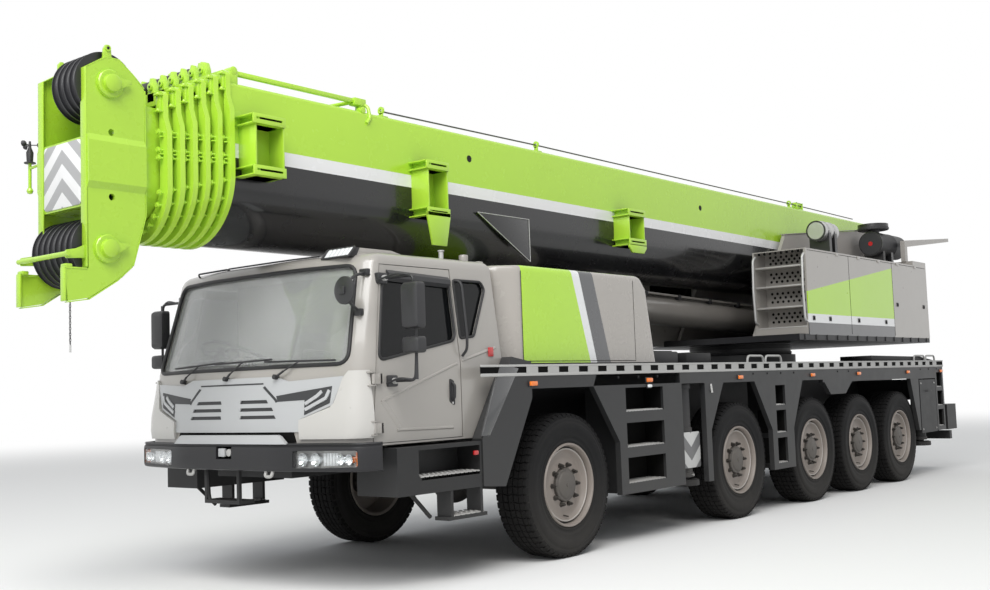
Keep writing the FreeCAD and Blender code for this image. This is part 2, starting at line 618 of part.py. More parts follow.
step_box = less(block(("step_box_rear", "step_box_front"),
                      (STEP_BOX_INNER, "deck_half - skirt_wall"), ("step_box_low", "box_top")),
                [opening(name, "recess_depth")
                 for name in ("step_low", "step_mid", "step_high")])
ladder_tank = less(block(("-tank_rear", "-tank_front"), (TANK_INNER, "deck_half - skirt_wall"),
                         ("tank_low", "box_top")),
                   [opening(name, "recess_depth") for name in ("rung_low", "rung_mid", "rung_high")])
apron = less(block(("apron_rear", "apron_front"), (APRON_INNER, BUMPER_SIDE),
                   ("apron_low", "apron_high")),
             [block(("apron_rear + hang_strap", "tread_front"),
                    (f"{BUMPER_SIDE} - tread_depth", f"{BUMPER_SIDE} + {PAST}"),
                    ("tread_low", "apron_high - hang_strap"))])
apron = joined([apron] + hanging_step())
side_solids = [step_box, ladder_tank, apron]
nose_step = joined([
    block(("nose_step_front - hang_width", "nose_step_front"), ("-nose_step_right", "nose_step_left"),
          ("nose_step_low", "nose_step_low + hang_strap")),
    block(("nose_step_front - hang_strap", "nose_step_front"),
          ("-nose_step_right", "hang_strap - nose_step_right"), ("nose_step_low", "bumper_low")),
    block(("nose_step_front - hang_strap", "nose_step_front"),
          ("nose_step_left - hang_strap", "nose_step_left"), ("nose_step_low", "bumper_low")),
])
node("steps_and_boxes", apart(side_solids + [mirrored(solid) for solid in side_solids] + [nose_step]))


# Bumper: a bowed shell that wraps round the cab's lower corners
def bumper_plan(inset):
    half = [("bumper_rear", f"{BUMPER_SIDE} - ({inset})"),
            ("cab_floor_side", f"{BUMPER_SIDE} - ({inset})"),
            (f"bumper_corner - ({inset})", f"bumper_corner_half - ({inset}) / 2"),
            (f"bumper_front - ({inset})", "bumper_front_half")]
    return half + [(forward, f"-({width})") for forward, width in half[::-1]]


shell_plan = panel("XY", bumper_plan("0"), ("bumper_low", "bumper_high"))
cab_room = [
    (f"bumper_rear - {PAST}", "cab_floor_half + bumper_gap"),
    ("cab_floor_side + bumper_gap", "cab_floor_half + bumper_gap"),
    ("cab_floor_corner + bumper_gap", "cab_floor_corner_half + bumper_gap"),
    ("cab_floor_front + bumper_gap", "cab_floor_front_half"),
]
cab_room += [(forward, f"-({width})") for forward, width in cab_room[::-1]]
inside = panel("XY", cab_room, (f"bumper_low - {PAST}", f"bumper_high + {PAST}"))
floor_plate = panel("XY", [
    ("frame_nose", "bumper_corner_half - cab_wall"),
    ("cab_floor_corner + cab_wall", "cab_floor_corner_half"),
    ("bumper_front - cab_wall / 2", "cab_floor_front_half"),
    ("bumper_front - cab_wall / 2", "-cab_floor_front_half"),
    ("cab_floor_corner + cab_wall", "-cab_floor_corner_half"),
    ("frame_nose", "cab_wall - bumper_corner_half"),
], ("bumper_low", "bumper_low + cab_wall"))
lip = shared([
    panel("XY", bumper_plan("0"), (f"bumper_high - {PAST}", "lip_high")),
    panel("YZ", [("-lip_half_low", "bumper_low"), ("lip_half_low", "bumper_low"),
                 ("lip_half_high", "lip_high + panel_gap"), ("-lip_half_high", "lip_high + panel_gap")],
          ("cab_floor_front + bumper_gap", "bumper_front")),
])
lamp_pocket = less(block(("bumper_rear", "bumper_front + panel_gap"), ("lamp_inner", "lamp_outer"),
                         ("lamp_low", "lamp_high")),
                   [panel("XY", bumper_plan("lamp_depth"), ("bumper_low", "bumper_high"))])
bumper_shell = less(shell_plan, [inside, lamp_pocket, mirrored(lamp_pocket)])
node("bumper", joined([bumper_shell, lip, floor_plate]))


# Cab: four plan outlines joined by straight sides, hollow, with its windows and doors cut
def cab_plan(level, inset, height):
    size = f"cab_{level}_"
    half = [(f"{size}rear + {inset}", f"{size}half - {inset}"),
            (f"{size}side - {inset} / 2", f"{size}half - {inset}"),
            (f"{size}corner - {inset}", f"{size}corner_half - {inset}"),
            (f"{size}front - {inset}", f"{size}front_half - {inset} / 4")]
    corners = half + [(forward, f"-({width})") for forward, width in half[::-1]]
    sketch = doc.addObject("Sketcher::SketchObject", "Plan")
    draw(sketch, corners)
    sketch.setExpression("Placement.Base.z", bound(height))
    return sketch


def cab_form(inset, levels):
    form = doc.addObject("Part::Loft", "CabForm")
    form.Sections = [cab_plan(level, inset, height) for level, height in levels]
    form.Solid = True
    form.Ruled = True
    return form


def inner_levels(inset):
    return [("floor", f"cab_floor_height + {inset}"), ("waist", "cab_waist_height"),
            ("header", "cab_header_height")]


door_outline = [
    ("door_front_low", "door_low"), ("door_front_waist", "door_waist"),
    ("door_front_high", "door_high"), ("door_rear", "door_high"), ("door_rear", "door_low"),
]
pane_outline = [
    ("pane_front_low", "pane_sill_front"), ("pane_front_high", "pane_high"),
    ("pane_rear", "pane_high"), ("pane_rear", "pane_sill_rear"),
]
quarter_outline = [
    ("quarter_front", "quarter_low"), ("quarter_front", "pane_high"),
    ("quarter_rear", "pane_high"), ("quarter_rear", "pane_high - glass_margin"),
    ("quarter_low_rear", "quarter_low"),
]


def screen_cutter(margin):
    return panel("YZ", [
        (f"-screen_low_half + {margin}", f"screen_low + {margin}"),
        (f"screen_low_half - {margin}", f"screen_low + {margin}"),
        (f"screen_high_half - {margin}", f"screen_high - {margin}"),
        (f"-screen_high_half + {margin}", f"screen_high - {margin}"),
    ], ("door_rear", "bumper_front"))


def back_cutter():
    return block(("cab_floor_rear - cab_wall", "cab_floor_rear + 2 * cab_wall"),
                 across("back_window_half"), ("back_window_low", "back_window_high"))


def side_cutter(outline):
    return panel("XZ", outline, across("deck_half"))


def wall_form(wall):
    """The cab's walls alone, open through the floor."""
    levels = [("floor", f"cab_floor_height - {PAST}")] + inner_levels(wall)[1:]
    return less(cab_form("0", outer_levels), [cab_form(wall, levels)])


def hinge_pin(low):
    """A pin between two lugs on the cab."""
    high = f"{low} + hinge_height"
    pieces = [drum("z", "hinge_pin", ("hinge_x", "hinge_side"), (low, high))]
    for ends in ((f"{low} - hinge_lug", low), (high, f"{high} + hinge_lug")):
        pieces.append(drum("z", "hinge_barrel", ("hinge_x", "hinge_side"), ends))
        pieces.append(block(("hinge_x", "hinge_x + hinge_lug_reach"),
                            ("cab_floor_half - cab_wall / 2", "hinge_side + hinge_pin"), ends))
    return joined(pieces)


def hinge_leaf(low):
    """A barrel on a cranked strap that stands clear of the cab's pillar."""
    ends = (f"{low} + slide_gap", f"{low} + hinge_height - slide_gap")
    root = "hinge_x - hinge_root"
    sides = ("hinge_side - hinge_strap", "hinge_side + hinge_strap")
    whole = joined([
        drum("z", "hinge_barrel", ("hinge_x", "hinge_side"), ends),
        block((root, "hinge_x"), sides, ends),
        block((root, f"{root} + hinge_foot / 2"), ("cab_floor_half - cab_wall / 2", sides[1]), ends),
    ])
    return less(whole, [drum("z", "hinge_pin + fit_gap", ("hinge_x", "hinge_side"),
                             (low, f"{low} + hinge_height"))])


def grille():
    """A proud panel that follows the cab's front, with a stack of louvres each side."""
    levels = outer_levels[:2]
    skin = less(cab_form("(-grille_out)", levels), [cab_form("panel_gap", levels)])
    half = [("grille_low_half", "grille_low"), ("grille_low_half", "grille_step"),
            ("wing_low_half", "wing_low"), ("wing_high_half", "wing_high"),
            ("grille_shoulder_half", "grille_shoulder"), ("grille_high_half", "grille_high")]
    outline = half + [(f"-{place}", height) for place, height in half[::-1]]
    skin = shared([skin, panel("YZ", outline, ("door_front_low", "bumper_front"))])
    slots = [block(("door_front_low", "bumper_front"), ("louvre_inner", f"{slot}_half"),
                   (f"{slot} - louvre_half", f"{slot} + louvre_half")) for slot in LOUVRES]
    return less(skin, slots + [mirrored(slot) for slot in slots])


def front_mirror():
    middle = ("disc_x", "disc_side", "disc_high")
    return [
        drum("x", "disc_radius", ("disc_side", "disc_high"), ("disc_x - disc_half", "disc_x + disc_half")),
        bar("disc_arm", ("disc_low_root_x", "disc_low_root_side", "disc_low_root_high"), middle),
        bar("disc_arm", ("disc_high_root_x", "disc_high_root_side", "disc_high_root_high"), middle),
    ]


def door_mirrors():
    plan = [("mirror_rear", "mirror_inner"), ("mirror_rear", "mirror_outer"),
            ("mirror_front - mirror_chamfer", "mirror_outer"),
            ("mirror_front", "mirror_outer - mirror_chamfer"),
            ("mirror_front", "mirror_inner + mirror_chamfer"),
            ("mirror_front - mirror_chamfer", "mirror_inner")]
    pieces = [panel("XY", plan, ("mirror_low", "mirror_high")),
              panel("XY", plan, ("mirror_small_low", "mirror_small_high")),
              drum("z", "mirror_tube", ("mirror_x", "mirror_side"),
                   ("mirror_arm_low - mirror_tube", "mirror_arm_high + mirror_tube"))]
    for high, root in (("mirror_arm_low", "mirror_root_low"), ("mirror_arm_high", "mirror_root_high")):
        pieces.append(drum("y", "mirror_arm", ("mirror_x", high), (root, "mirror_side")))
    return pieces


LOUVRES = ("louvre_one", "louvre_two", "louvre_three")
HINGES = ("hinge_one", "hinge_two")
outer_levels = [(level, f"cab_{level}_height") for level in CAB_LEVELS]
shell = less(cab_form("0", outer_levels), [cab_form("cab_wall", inner_levels("cab_wall"))])
doorway = shared([wall_form("cab_wall"), side_cutter(door_outline)])
windows = [screen_cutter("0"), back_cutter(), side_cutter(quarter_outline)]
pins = [hinge_pin(low) for low in HINGES]
pod = panel("XZ", [
    ("pod_rear", "pod_foot"), ("pod_rear", "pod_low"), ("pod_rise", "pod_high"), ("pod_brow", "pod_high"),
    ("pod_front", "pod_foot"),
], ("pod_inner", "pod_outer"))
shell_parts = [less(shell, windows + [doorway]), grille(), pod] + front_mirror()
node("cab_shell", joined(shell_parts + pins + [mirrored(pin) for pin in pins]))

leaf_outline = [
    ("door_front_low - panel_gap", "door_low + panel_gap"),
    ("door_front_waist - panel_gap", "door_waist"),
    ("door_front_high - panel_gap", "door_high - panel_gap"),
    ("door_rear + door_rear_gap", "door_high - panel_gap"),
    ("door_rear + door_rear_gap", "door_low + panel_gap"),
]
leaf = shared([wall_form("(cab_wall - slide_gap)"),
               panel("XZ", leaf_outline, ("cab_header_half / 2", "deck_half"))])
leaf = joined([less(leaf, [side_cutter(pane_outline)])] + [hinge_leaf(low) for low in HINGES]
              + door_mirrors())
node("door_left", leaf)
node("door_right", mirrored(leaf))

glass_skin = less(cab_form("glass_inset", inner_levels("glass_inset")),
                  [cab_form("(glass_inset + glass_wall)",
                            inner_levels("(glass_inset + glass_wall)"))])
glass_tools = [screen_cutter("fit_gap"), back_cutter(), side_cutter(quarter_outline)]
node("cab_glass", shared([glass_skin, apart(glass_tools)]))


# Inside the cab: dashboard, steering wheel and two seats
def seat():
    bottom = "cab_floor_height + cab_wall"
    sides = ("seat_place - seat_half", "seat_place + seat_half")
    return joined([
        block(("seat_back + seat_rest_wall", "seat_front - seat_rest_wall"),
              ("seat_place - seat_post", "seat_place + seat_post"), (bottom, "seat_low")),
        block(("seat_back", "seat_front"), sides, ("seat_low", "seat_high")),
        block(("seat_back", "seat_back + seat_rest_wall"), sides, ("seat_low", "seat_rest")),
    ])


left_seat = seat()
dash = panel("XZ", [
    ("dash_front", "dash_low"), ("dash_front - cab_wall", "dash_high"), ("dash_back", "dash_high"),
    ("dash_back - cab_wall", "dash_low + cab_wall"), ("dash_back", "dash_low"),
], across("dash_half"))
dash_leg = block(("dash_back", "dash_front - cab_wall"), across("seat_half"),
                 ("cab_floor_height + cab_wall", f"dash_low + {PAST}"))
ring = doc.addObject("Part::Torus", "SteeringWheel")
ring.setExpression("Radius1", bound("wheel_ring"))
ring.setExpression("Radius2", bound("wheel_tube"))
ring.Placement = Placement(Vector(), Rotation(Vector(0, 1, 0), -SIZES["wheel_tilt"]))
ring.setExpression("Placement.Base.x", bound("wheel_place"))
ring.setExpression("Placement.Base.y", bound("-seat_place"))
ring.setExpression("Placement.Base.z", bound("wheel_high"))
spoke = block(("wheel_place - wheel_tube", "wheel_place + wheel_tube"),
              ("-seat_place - wheel_ring", "wheel_ring - seat_place"),
              ("wheel_high - wheel_tube", "wheel_high + wheel_tube"))
column = panel("XZ", [
    ("wheel_place - wheel_tube", "wheel_high + wheel_tube"),
    ("wheel_place - 2 * wheel_tube", "wheel_high - wheel_tube"),
    ("dash_back + cab_wall", "dash_high - cab_wall"), ("dash_back + 2 * cab_wall", "dash_high"),
], ("-seat_place - 2 * wheel_tube", "2 * wheel_tube - seat_place"))
node("cab_interior", apart([left_seat, mirrored(left_seat),
                            joined([dash, dash_leg, ring, spoke, column])]))


# Equipment enclosure behind the cab, with the engine inside
def store_form(inset):
    side_view = panel("XZ", [
        (f"store_front - {inset}", f"deck_top + {inset}"),
        (f"store_front - {inset}", f"store_top - {inset}"),
        (f"store_rear + store_tail + {inset}", f"store_top - {inset}"),
        (f"store_rear + store_shoulder + {inset}", f"store_top - store_shoulder - {inset}"),
        (f"store_rear + {inset}", f"deck_top + {inset}"),
    ], across(f"store_half - {inset}"))
    plan = panel("XY", [
        (f"store_rear + {inset}", f"store_half - {inset}"),
        (f"store_front - store_nose - {inset}", f"store_half - {inset}"),
        (f"store_front - {inset}", f"store_half - store_nose - {inset}"),
        (f"store_front - {inset}", f"store_nose - store_half + {inset}"),
        (f"store_front - store_nose - {inset}", f"{inset} - store_half"),
        (f"store_rear + {inset}", f"{inset} - store_half"),
    ], (f"deck_top + {inset}", "store_top"))
    return shared([side_view, plan])


engine_room = block(("engine_rear", "engine_front"), across("engine_half"),
                    (f"deck_top - {PAST}", f"deck_top + store_wall + {PAST}"))
node("equipment_enclosure", less(store_form("0"), [store_form("store_wall"), engine_room]))
node("engine", block(("engine_rear", "engine_front"), across("engine_half"),
                     ("deck_top", "engine_top")))


# Outriggers: sliding beams with a jack tube on the end, and the jack's leg with its float
def rigger_beam(place, side_name, covered):
    middle = beam_middle(place, side_name)
    bar = block((f"{middle} - rigger_beam_width / 2", f"{middle} + rigger_beam_width / 2"),
                (f"-{RIGGER_BEAM_TAIL}", JACK_PLACE), ("rigger_beam_low", "rigger_beam_high"))
    tube = drum("z", "jack_radius", (place, JACK_PLACE), ("jack_low", "jack_high"))
    bracket = block((f"{place} - beam_offset - rigger_beam_width / 2",
                     f"{place} + beam_offset + rigger_beam_width / 2"),
                    (f"{RIGGER_BOX_HALF} + slide_gap", JACK_PLACE),
                    ("rigger_beam_low", "rigger_beam_high"))
    pieces = [bar, tube, bracket]
    if covered:
        pieces.append(block((f"{place} - cover_back", f"{place} + cover_front"),
                            (f"{JACK_PLACE} + jack_radius - {PAST}", "deck_half"),
                            ("cover_low", "cover_high")))
    bore = drum("z", "leg_radius + fit_gap", (place, JACK_PLACE),
                (f"jack_low - {PAST}", "leg_top + slide_gap"))
    return less(joined(pieces), [bore])


def rigger_leg(place):
    return joined([
        drum("z", "leg_radius", (place, JACK_PLACE), ("float_low", "leg_top")),
        drum("z", "float_radius", (place, JACK_PLACE), ("float_low", "float_high")),
    ])


for end, place in RIGGERS.items():
    for side_name in ("left", "right"):
        beam = rigger_beam(place, side_name, end == "rear")
        leg = rigger_leg(place)
        if side_name == "right":
            beam, leg = mirrored(beam), mirrored(leg)
        node(f"outrigger_beam_{end}_{side_name}", beam)
        node(f"outrigger_leg_{end}_{side_name}", leg)


# Turntable: slewing ring, platform, cheeks for the boom foot and clevis for the lift cylinder
cheek = panel("XZ", [
    ("-cheek_front", "table_low"), ("-cheek_front", "table_top"), ("-cheek_rise", "cheek_mid_high"),
    ("-cheek_peak", "cheek_high"), ("-cheek_rear", "cheek_high"), ("-table_rear", "table_low"),
], ("cheek_inner", "cheek_outer"))
ram_ear = panel("XZ", [
    ("-ram_back - 2 * eye_outer", "table_low"), ("-ram_back + 2 * eye_outer", "table_low"),
    ("-ram_back + eye_outer", "ram_high + eye_outer"), ("-ram_back - eye_outer", "ram_high + eye_outer"),
], ("clevis_inner", "clevis_outer"))
table_pieces = [
    drum("z", "ring_radius", ("-slew_back", "0"), ("pedestal_top + fit_gap", "table_top")),
    block(("-table_rear", "-table_front"), across("table_half"), ("table_low", "table_top")),
    block(("-table_rear", "-cross_low_front"), across("cheek_outer"), ("table_low", "cross_high")),
    cheek, mirrored(cheek), ram_ear, mirrored(ram_ear),
    drum("y", "pivot_radius", ("-pivot_back", "pivot_high"), across("cheek_outer")),
    drum("y", "ram_pin", ("-ram_back", "ram_high"), across("clevis_outer")),
]
node("turntable", joined(table_pieces))

near_house = panel("XZ", [
    ("-house_front", "house_low"), ("-house_front", "house_top"), ("-house_notch", "house_top"),
    ("-house_notch", "house_rear_top"), ("-house_rear", "house_rear_top"), ("-house_rear", "house_low"),
], ("house_inner", "table_half + panel_gap"))
SHELVES = ("shelf_one", "shelf_two", "shelf_three", "shelf_four", "house_top")
stairs = [block(("-house_front - stair_depth", f"{PAST} - house_front"),
                ("house_inner + shelf_wall", "table_half - shelf_wall"),
                (f"{low} + shelf_wall / 2", f"{high} - shelf_wall / 2"))
          for low, high in zip(SHELVES, SHELVES[1:])]
table_room = block((f"-table_rear - {PAST}", "-table_front"), across("table_half"),
                   (f"house_low - {PAST}", "table_top"))
near_house = less(near_house, stairs + [table_room])
far_house = block(("-house_rear", "-far_house_front"), ("-table_half", "-house_inner"),
                  ("table_top", "house_top"))
node("machinery_housings", apart([near_house, far_house]))


# Fittings on the left housing: air cleaner with its rain cap, silencer and tail arm
def saddle(middle, side_place, high):
    return block((f"{middle} - saddle_half", f"{middle} + saddle_half"),
                 (f"{side_place} - saddle_width", f"{side_place} + saddle_width"),
                 ("house_top", high))


cleaner = joined([
    drum("x", "cleaner_radius", ("cleaner_side", "cleaner_high"), ("-cleaner_rear", "-cleaner_front")),
    drum("z", "cap_neck", ("-cap_place", "cleaner_side"), ("cleaner_high", "cap_low")),
    drum("z", "cap_radius", ("-cap_place", "cleaner_side"), ("cap_low", "cap_high")),
    saddle("-cleaner_front - saddle_width", "cleaner_side", "cleaner_high"),
    saddle("saddle_half * 2 + slide_gap - house_notch", "cleaner_side", "cleaner_high"),
])
silencer = joined([
    drum("x", "silencer_radius", ("cleaner_side", "silencer_high"),
         ("-silencer_rear", "-silencer_front")),
    saddle("-silencer_front - saddle_width", "cleaner_side", "silencer_high"),
    saddle("saddle_width - silencer_rear", "cleaner_side", "silencer_high"),
])
tail_arm = joined([
    panel("XZ", [
        ("-arm_front", "arm_low"), ("-arm_front", "arm_low + arm_root"),
        ("-reach_rear", "arm_low + arm_rise"), ("-reach_rear", "arm_low + arm_rise - arm_tip"),
    ], ("arm_side - arm_half", "arm_side + arm_half")),
    block(("-arm_front - arm_root", "-arm_front"), ("arm_side - arm_half", "arm_side + arm_half"),
          ("house_rear_top", "arm_low + arm_root / 2")),
])
node("roof_fittings", apart([cleaner, silencer, tail_arm]))

winch_ends = (("-winch_half", "-winch_half + winch_plate"), ("winch_half - winch_plate", "winch_half"))
winch_pieces = [drum("y", "winch_flange", ("-winch_back", "winch_high"), ends) for ends in winch_ends]
winch_pieces.append(drum("y", "winch_radius", ("-winch_back", "winch_high"), across("winch_half")))
winch_pieces.append(drum("y", "pivot_radius", ("-winch_back", "winch_high"),
                         across("cheek_inner - fit_gap")))
node("winch", joined(winch_pieces))


# Operator's cab beside the boom, with a door that slides back along its outside
def booth_outline(inset):
    return [
        (f"-booth_rear + {inset}", f"booth_low + {inset}"),
        (f"-booth_chin - {inset}", f"booth_low + {inset}"),
        (f"-booth_front - {inset}", "booth_chin_high"),
        (f"-booth_top_front - {inset}", f"booth_high - {inset}"),
        (f"-booth_rear + {inset}", f"booth_high - {inset}"),
    ]


booth = less(panel("XZ", booth_outline("0"), ("-booth_outer", "-booth_inner")),
             [panel("XZ", booth_outline("booth_wall"),
                    ("-booth_outer + booth_wall", "-booth_inner - booth_wall")),
              block(("-booth_top_front - booth_wall", "-booth_front + booth_wall"),
                    ("-booth_outer + booth_wall", "-booth_inner - booth_wall"),
                    ("booth_chin_high + booth_wall", "booth_window_top")),
              block(("-booth_rear + 2 * booth_wall", "-booth_top_front - 2 * booth_wall"),
                    ("-booth_inner - 2 * booth_wall", f"-booth_inner + {PAST}"),
                    ("booth_sill", "booth_window_top")),
              block(("-hatch_rear + hatch_stile", "-hatch_front - hatch_stile"),
                    (f"-booth_outer - {PAST}", "-booth_outer + 2 * booth_wall"),
                    ("hatch_low + hatch_stile", "hatch_high - hatch_stile")),
              block(("-table_rear", "-table_front"), across("table_half"),
                    (f"booth_low - {PAST}", "table_top"))])
rails = [block(("-booth_rear", "-hatch_front"),
               ("-booth_outer - slide_gap + fit_gap", "booth_wall / 2 - booth_outer"),
               (f"{low} + hatch_stile / 3", f"{low} + hatch_stile * 2 / 3"))
         for low in ("hatch_low", "hatch_high - hatch_stile")]
node("operator_cab", joined([booth] + rails))
hatch = less(block(("-hatch_rear", "-hatch_front"),
                   ("-booth_outer - slide_gap - hatch_wall", "-booth_outer - slide_gap"),
                   ("hatch_low", "hatch_high")),
             [block(("-hatch_rear + hatch_stile", "-hatch_front - hatch_stile"),
                    (f"-booth_outer - slide_gap - hatch_wall - {PAST}", "-booth_outer"),
                    ("booth_sill", "hatch_high - hatch_stile"))])
node("operator_door", hatch)


# Boom: U-shaped sections, one inside the next, each with a collar at its mouth
def trough(half, low, high, ends):
    """A section with a round bottom and flat sides and top."""
    middle = f"{low} + {half}"
    return joined([
        drum("x", half, ("0", middle), ends),
        block(ends, across(half), (middle, high)),
    ])


def section_sizes(count):
    return (f"(boom_half - {count} * side_step)", f"(boom_low + {count} * low_step)",
            f"(boom_high - {count} * high_step)")


def collar(count):
    """A flange round a section's mouth, with two lugs on top."""
    face = f"boom_collar + {count} * collar_pitch"
    ends = (f"{face} - collar_wall", face)
    half = f"(collar_half - {count} * collar_half_step)"
    high = section_sizes(count)[2]
    ring_high = f"{high} + collar_rise"
    tip = f"{ring_high} + lug_rise"
    lug = panel("YZ", [
        ("lug_place - lug_half", high), ("lug_place + lug_half", high),
        ("lug_place + lug_half", ring_high), ("lug_place + lug_half / 3", tip),
        ("lug_place - lug_half / 3", tip), ("lug_place - lug_half", ring_high),
    ], ends)
    return [trough(half, "collar_low", ring_high, ends), lug, mirrored(lug)]


def section(count, extras=()):
    half, low, high = section_sizes(count)
    tail = "-boom_rear" if count == 0 else f"{count} * tail_step - section_tail"
    last = count == SECTION_COUNT - 1
    mouth = "head_back" if last else f"boom_collar + {count} * collar_pitch"
    outside = [trough(half, low, high, (tail, mouth))] + list(extras)
    if not last:
        outside += collar(count)
    inside = trough(f"({half} - boom_wall)", f"({low} + boom_wall)", f"{high} - boom_wall",
                    (f"{tail} - {PAST}", f"{mouth} + {PAST}"))
    hollow = less(joined(outside), [inside])
    if last:
        return hollow
    wear_pad = block((f"{mouth} - pad_length", mouth), across("pad_half"),
                     (f"{low} + boom_wall / 2", f"{low} + low_step - fit_gap"))
    return joined([hollow, wear_pad])


def carrier_bracket(name):
    """A frame that stands out from the boom's left side to hold the stowed jib."""
    ends = (name + "_rear", name + "_front")
    heights = (name + "_low", name + "_high")
    whole = block(ends, ("boom_half - boom_wall", "boom_half + carrier_out"), heights)
    room = block((name + "_rear + carrier_wall", name + "_front - carrier_wall"),
                 ("boom_half + carrier_wall", f"boom_half + carrier_out + {PAST}"),
                 (name + "_low + carrier_bar", name + "_high - carrier_bar"))
    return less(whole, [room])


def rope_guide(place):
    return block((f"{place} - guide_half", f"{place} + guide_half"), across("guide_side"),
                 ("boom_high - boom_wall", "boom_high + guide_rise"))


tongue = panel("XZ", [
    ("carrier_two_rear", "carrier_two_low + carrier_bar / 2"),
    ("carrier_two_front", "carrier_two_low + carrier_bar / 2"),
    ("carrier_two_front", "carrier_two_low"), ("carrier_two_front - tongue_taper", "tongue_low"),
    ("carrier_two_rear + tongue_taper", "tongue_low"), ("carrier_two_rear", "carrier_two_low"),
], ("boom_half + carrier_out - carrier_wall", "boom_half + carrier_out"))
stay_plate = panel("XZ", [("stay_front", "stay_high"), ("stay_rear", "stay_high"), ("stay_rear", "stay_low")],
                   ("boom_half - boom_wall", "boom_half + stay_out"))
top_rail = [drum("x", "rail_radius", ("rail_side", "rail_high"), ("rail_rear", "rail_front"))]
top_rail += [block(ends, ("rail_side - rail_radius", "rail_side + rail_radius"),
                   ("boom_high - boom_wall", "rail_high"))
             for ends in (("rail_rear", "rail_rear + 2 * rail_radius"),
                          ("rail_front - 2 * rail_radius", "rail_front"))]


boss = drum("y", "boss_radius", ("-pivot_back", "pivot_high"),
            ("boom_half - boom_wall", "boom_half + boss_out"))
rod_ear = panel("XZ", [
    ("ram_eye_x - 3 * eye_outer", "boom_low + boom_wall"),
    ("ram_eye_x + 2 * eye_outer", "boom_low + boom_wall"),
    ("ram_eye_x + eye_outer", "ram_eye_z - eye_outer"),
    ("ram_eye_x - eye_outer", "ram_eye_z - eye_outer"),
], ("clevis_inner", "clevis_outer"))
rod_ear_root = panel("XZ", [
    ("ram_eye_x - 3 * eye_outer", "boom_low + boom_wall"),
    ("ram_eye_x + 2 * eye_outer", "boom_low + boom_wall"),
    ("ram_eye_x + 2 * eye_outer", "boom_low - boom_wall"),
    ("ram_eye_x - 3 * eye_outer", "boom_low - boom_wall"),
], across("clevis_outer"))
base_extras = [boss, mirrored(boss), rod_ear, mirrored(rod_ear), rod_ear_root]
base_extras += [carrier_bracket(name) for name in CARRIERS] + [tongue, stay_plate] + top_rail
base_extras += [rope_guide(place) for place in ("guide_one", "guide_two", "-guide_back")]
pivot_bore = drum("y", "pivot_radius + fit_gap", ("-pivot_back", "pivot_high"),
                  across("boom_half + 2 * boss_out"))
node("boom_section_1", less(section(0, base_extras), [pivot_bore]))
for count in range(1, SECTION_COUNT - 1):
    node(f"boom_section_{count + 1}", section(count))


# Boom head: two shaped plates with cross plates, sheaves above and below
def head_plate():
    return panel("XZ", [
        ("head_crown_front", "head_crown_high"), ("head_crown", "head_crown_high"),
        ("head_brow", "head_brow_high"), ("head_back", "head_brow_high - head_brow + head_back"),
        ("head_back", "head_heel_high"), ("head_chin", "head_chin_high"),
        ("head_jaw", "head_jaw_high"), ("horn_root", "horn_low + head_wall"),
        ("horn_root + horn_length - head_wall", "horn_low"), ("horn_root + horn_length", "horn_high"),
        ("horn_root", "horn_high"), ("head_face", "head_face_high"),
    ], ("head_half - head_wall", "head_half"))


swell = panel("YZ", [
    ("head_half - head_wall / 2", "swell_low"), ("head_half", "swell_low"),
    ("head_half + swell_out", "swell_low + swell_slope"),
    ("head_half + swell_out", "swell_high - swell_slope"), ("head_half", "swell_high"),
    ("head_half - head_wall / 2", "swell_high"),
], ("head_back", "head_face"))
caps = [drum("y", "2 * sheave_pin", (middle + "_x", middle + "_z"), across("head_half + cap_out"))
        for middle in ("upper_sheave", "lower_sheave")]
inner_room = block(("head_back", "head_face + horn_length"), across("head_half - head_wall / 2"),
                   ("horn_low", "head_crown_high"))
left_plate = head_plate()
inner_half = f"head_half - head_wall + {PAST}"
head_pieces = [
    left_plate, mirrored(left_plate), swell, mirrored(swell), less(joined(caps), [inner_room]),
    block(("head_face - plate_wall", "head_face - slide_gap"), across(inner_half),
          ("plate_low", "plate_high")),
    block(("head_back - plate_wall / 2", "head_back + plate_wall / 2"), across(inner_half),
          ("plate_low", "upper_sheave_z - upper_sheave_radius / 2")),
    block(("head_back", "head_face - slide_gap"), across(inner_half),
          ("plate_high - plate_wall", "plate_high")),
    block(("head_back", "head_face - slide_gap"), across(inner_half),
          ("plate_low", "plate_low + plate_wall")),
    drum("y", "sheave_pin", ("upper_sheave_x", "upper_sheave_z"), across("head_half + head_wall")),
    drum("y", "sheave_pin", ("lower_sheave_x", "lower_sheave_z"), across("head_half + head_wall")),
]
jib_bores = [drum("y", "jib_bore_radius", ("jib_bore_x", high), across("head_half + head_wall"))
             for high in ("jib_bore_low", "jib_bore_high")]
node("boom_head", less(section(SECTION_COUNT - 1, head_pieces), jib_bores))


def sheave_pack(centre, radius, first, count):
    """Grooved sheaves side by side, turning on one pin."""
    outline = []
    for groove in range(count):
        start = f"{first} + {groove} * sheave_pitch"
        outline += [(start, radius), (f"{start} + sheave_pitch / 2", f"{radius} - groove_depth")]
    last = f"{first} + {count} * sheave_pitch"
    outline += [(last, radius), (last, "sheave_pin + fit_gap"), (first, "sheave_pin + fit_gap")]
    return turned(outline, (centre[0], "0", centre[1]))


node("head_sheaves", apart([
    sheave_pack(("upper_sheave_x", "upper_sheave_z"), "upper_sheave_radius", "-sheave_pitch / 2",
                UPPER_GROOVES),
    sheave_pack(("lower_sheave_x", "lower_sheave_z"), "lower_sheave_radius",
                f"-{LOWER_GROOVES} / 2 * sheave_pitch", LOWER_GROOVES),
]))


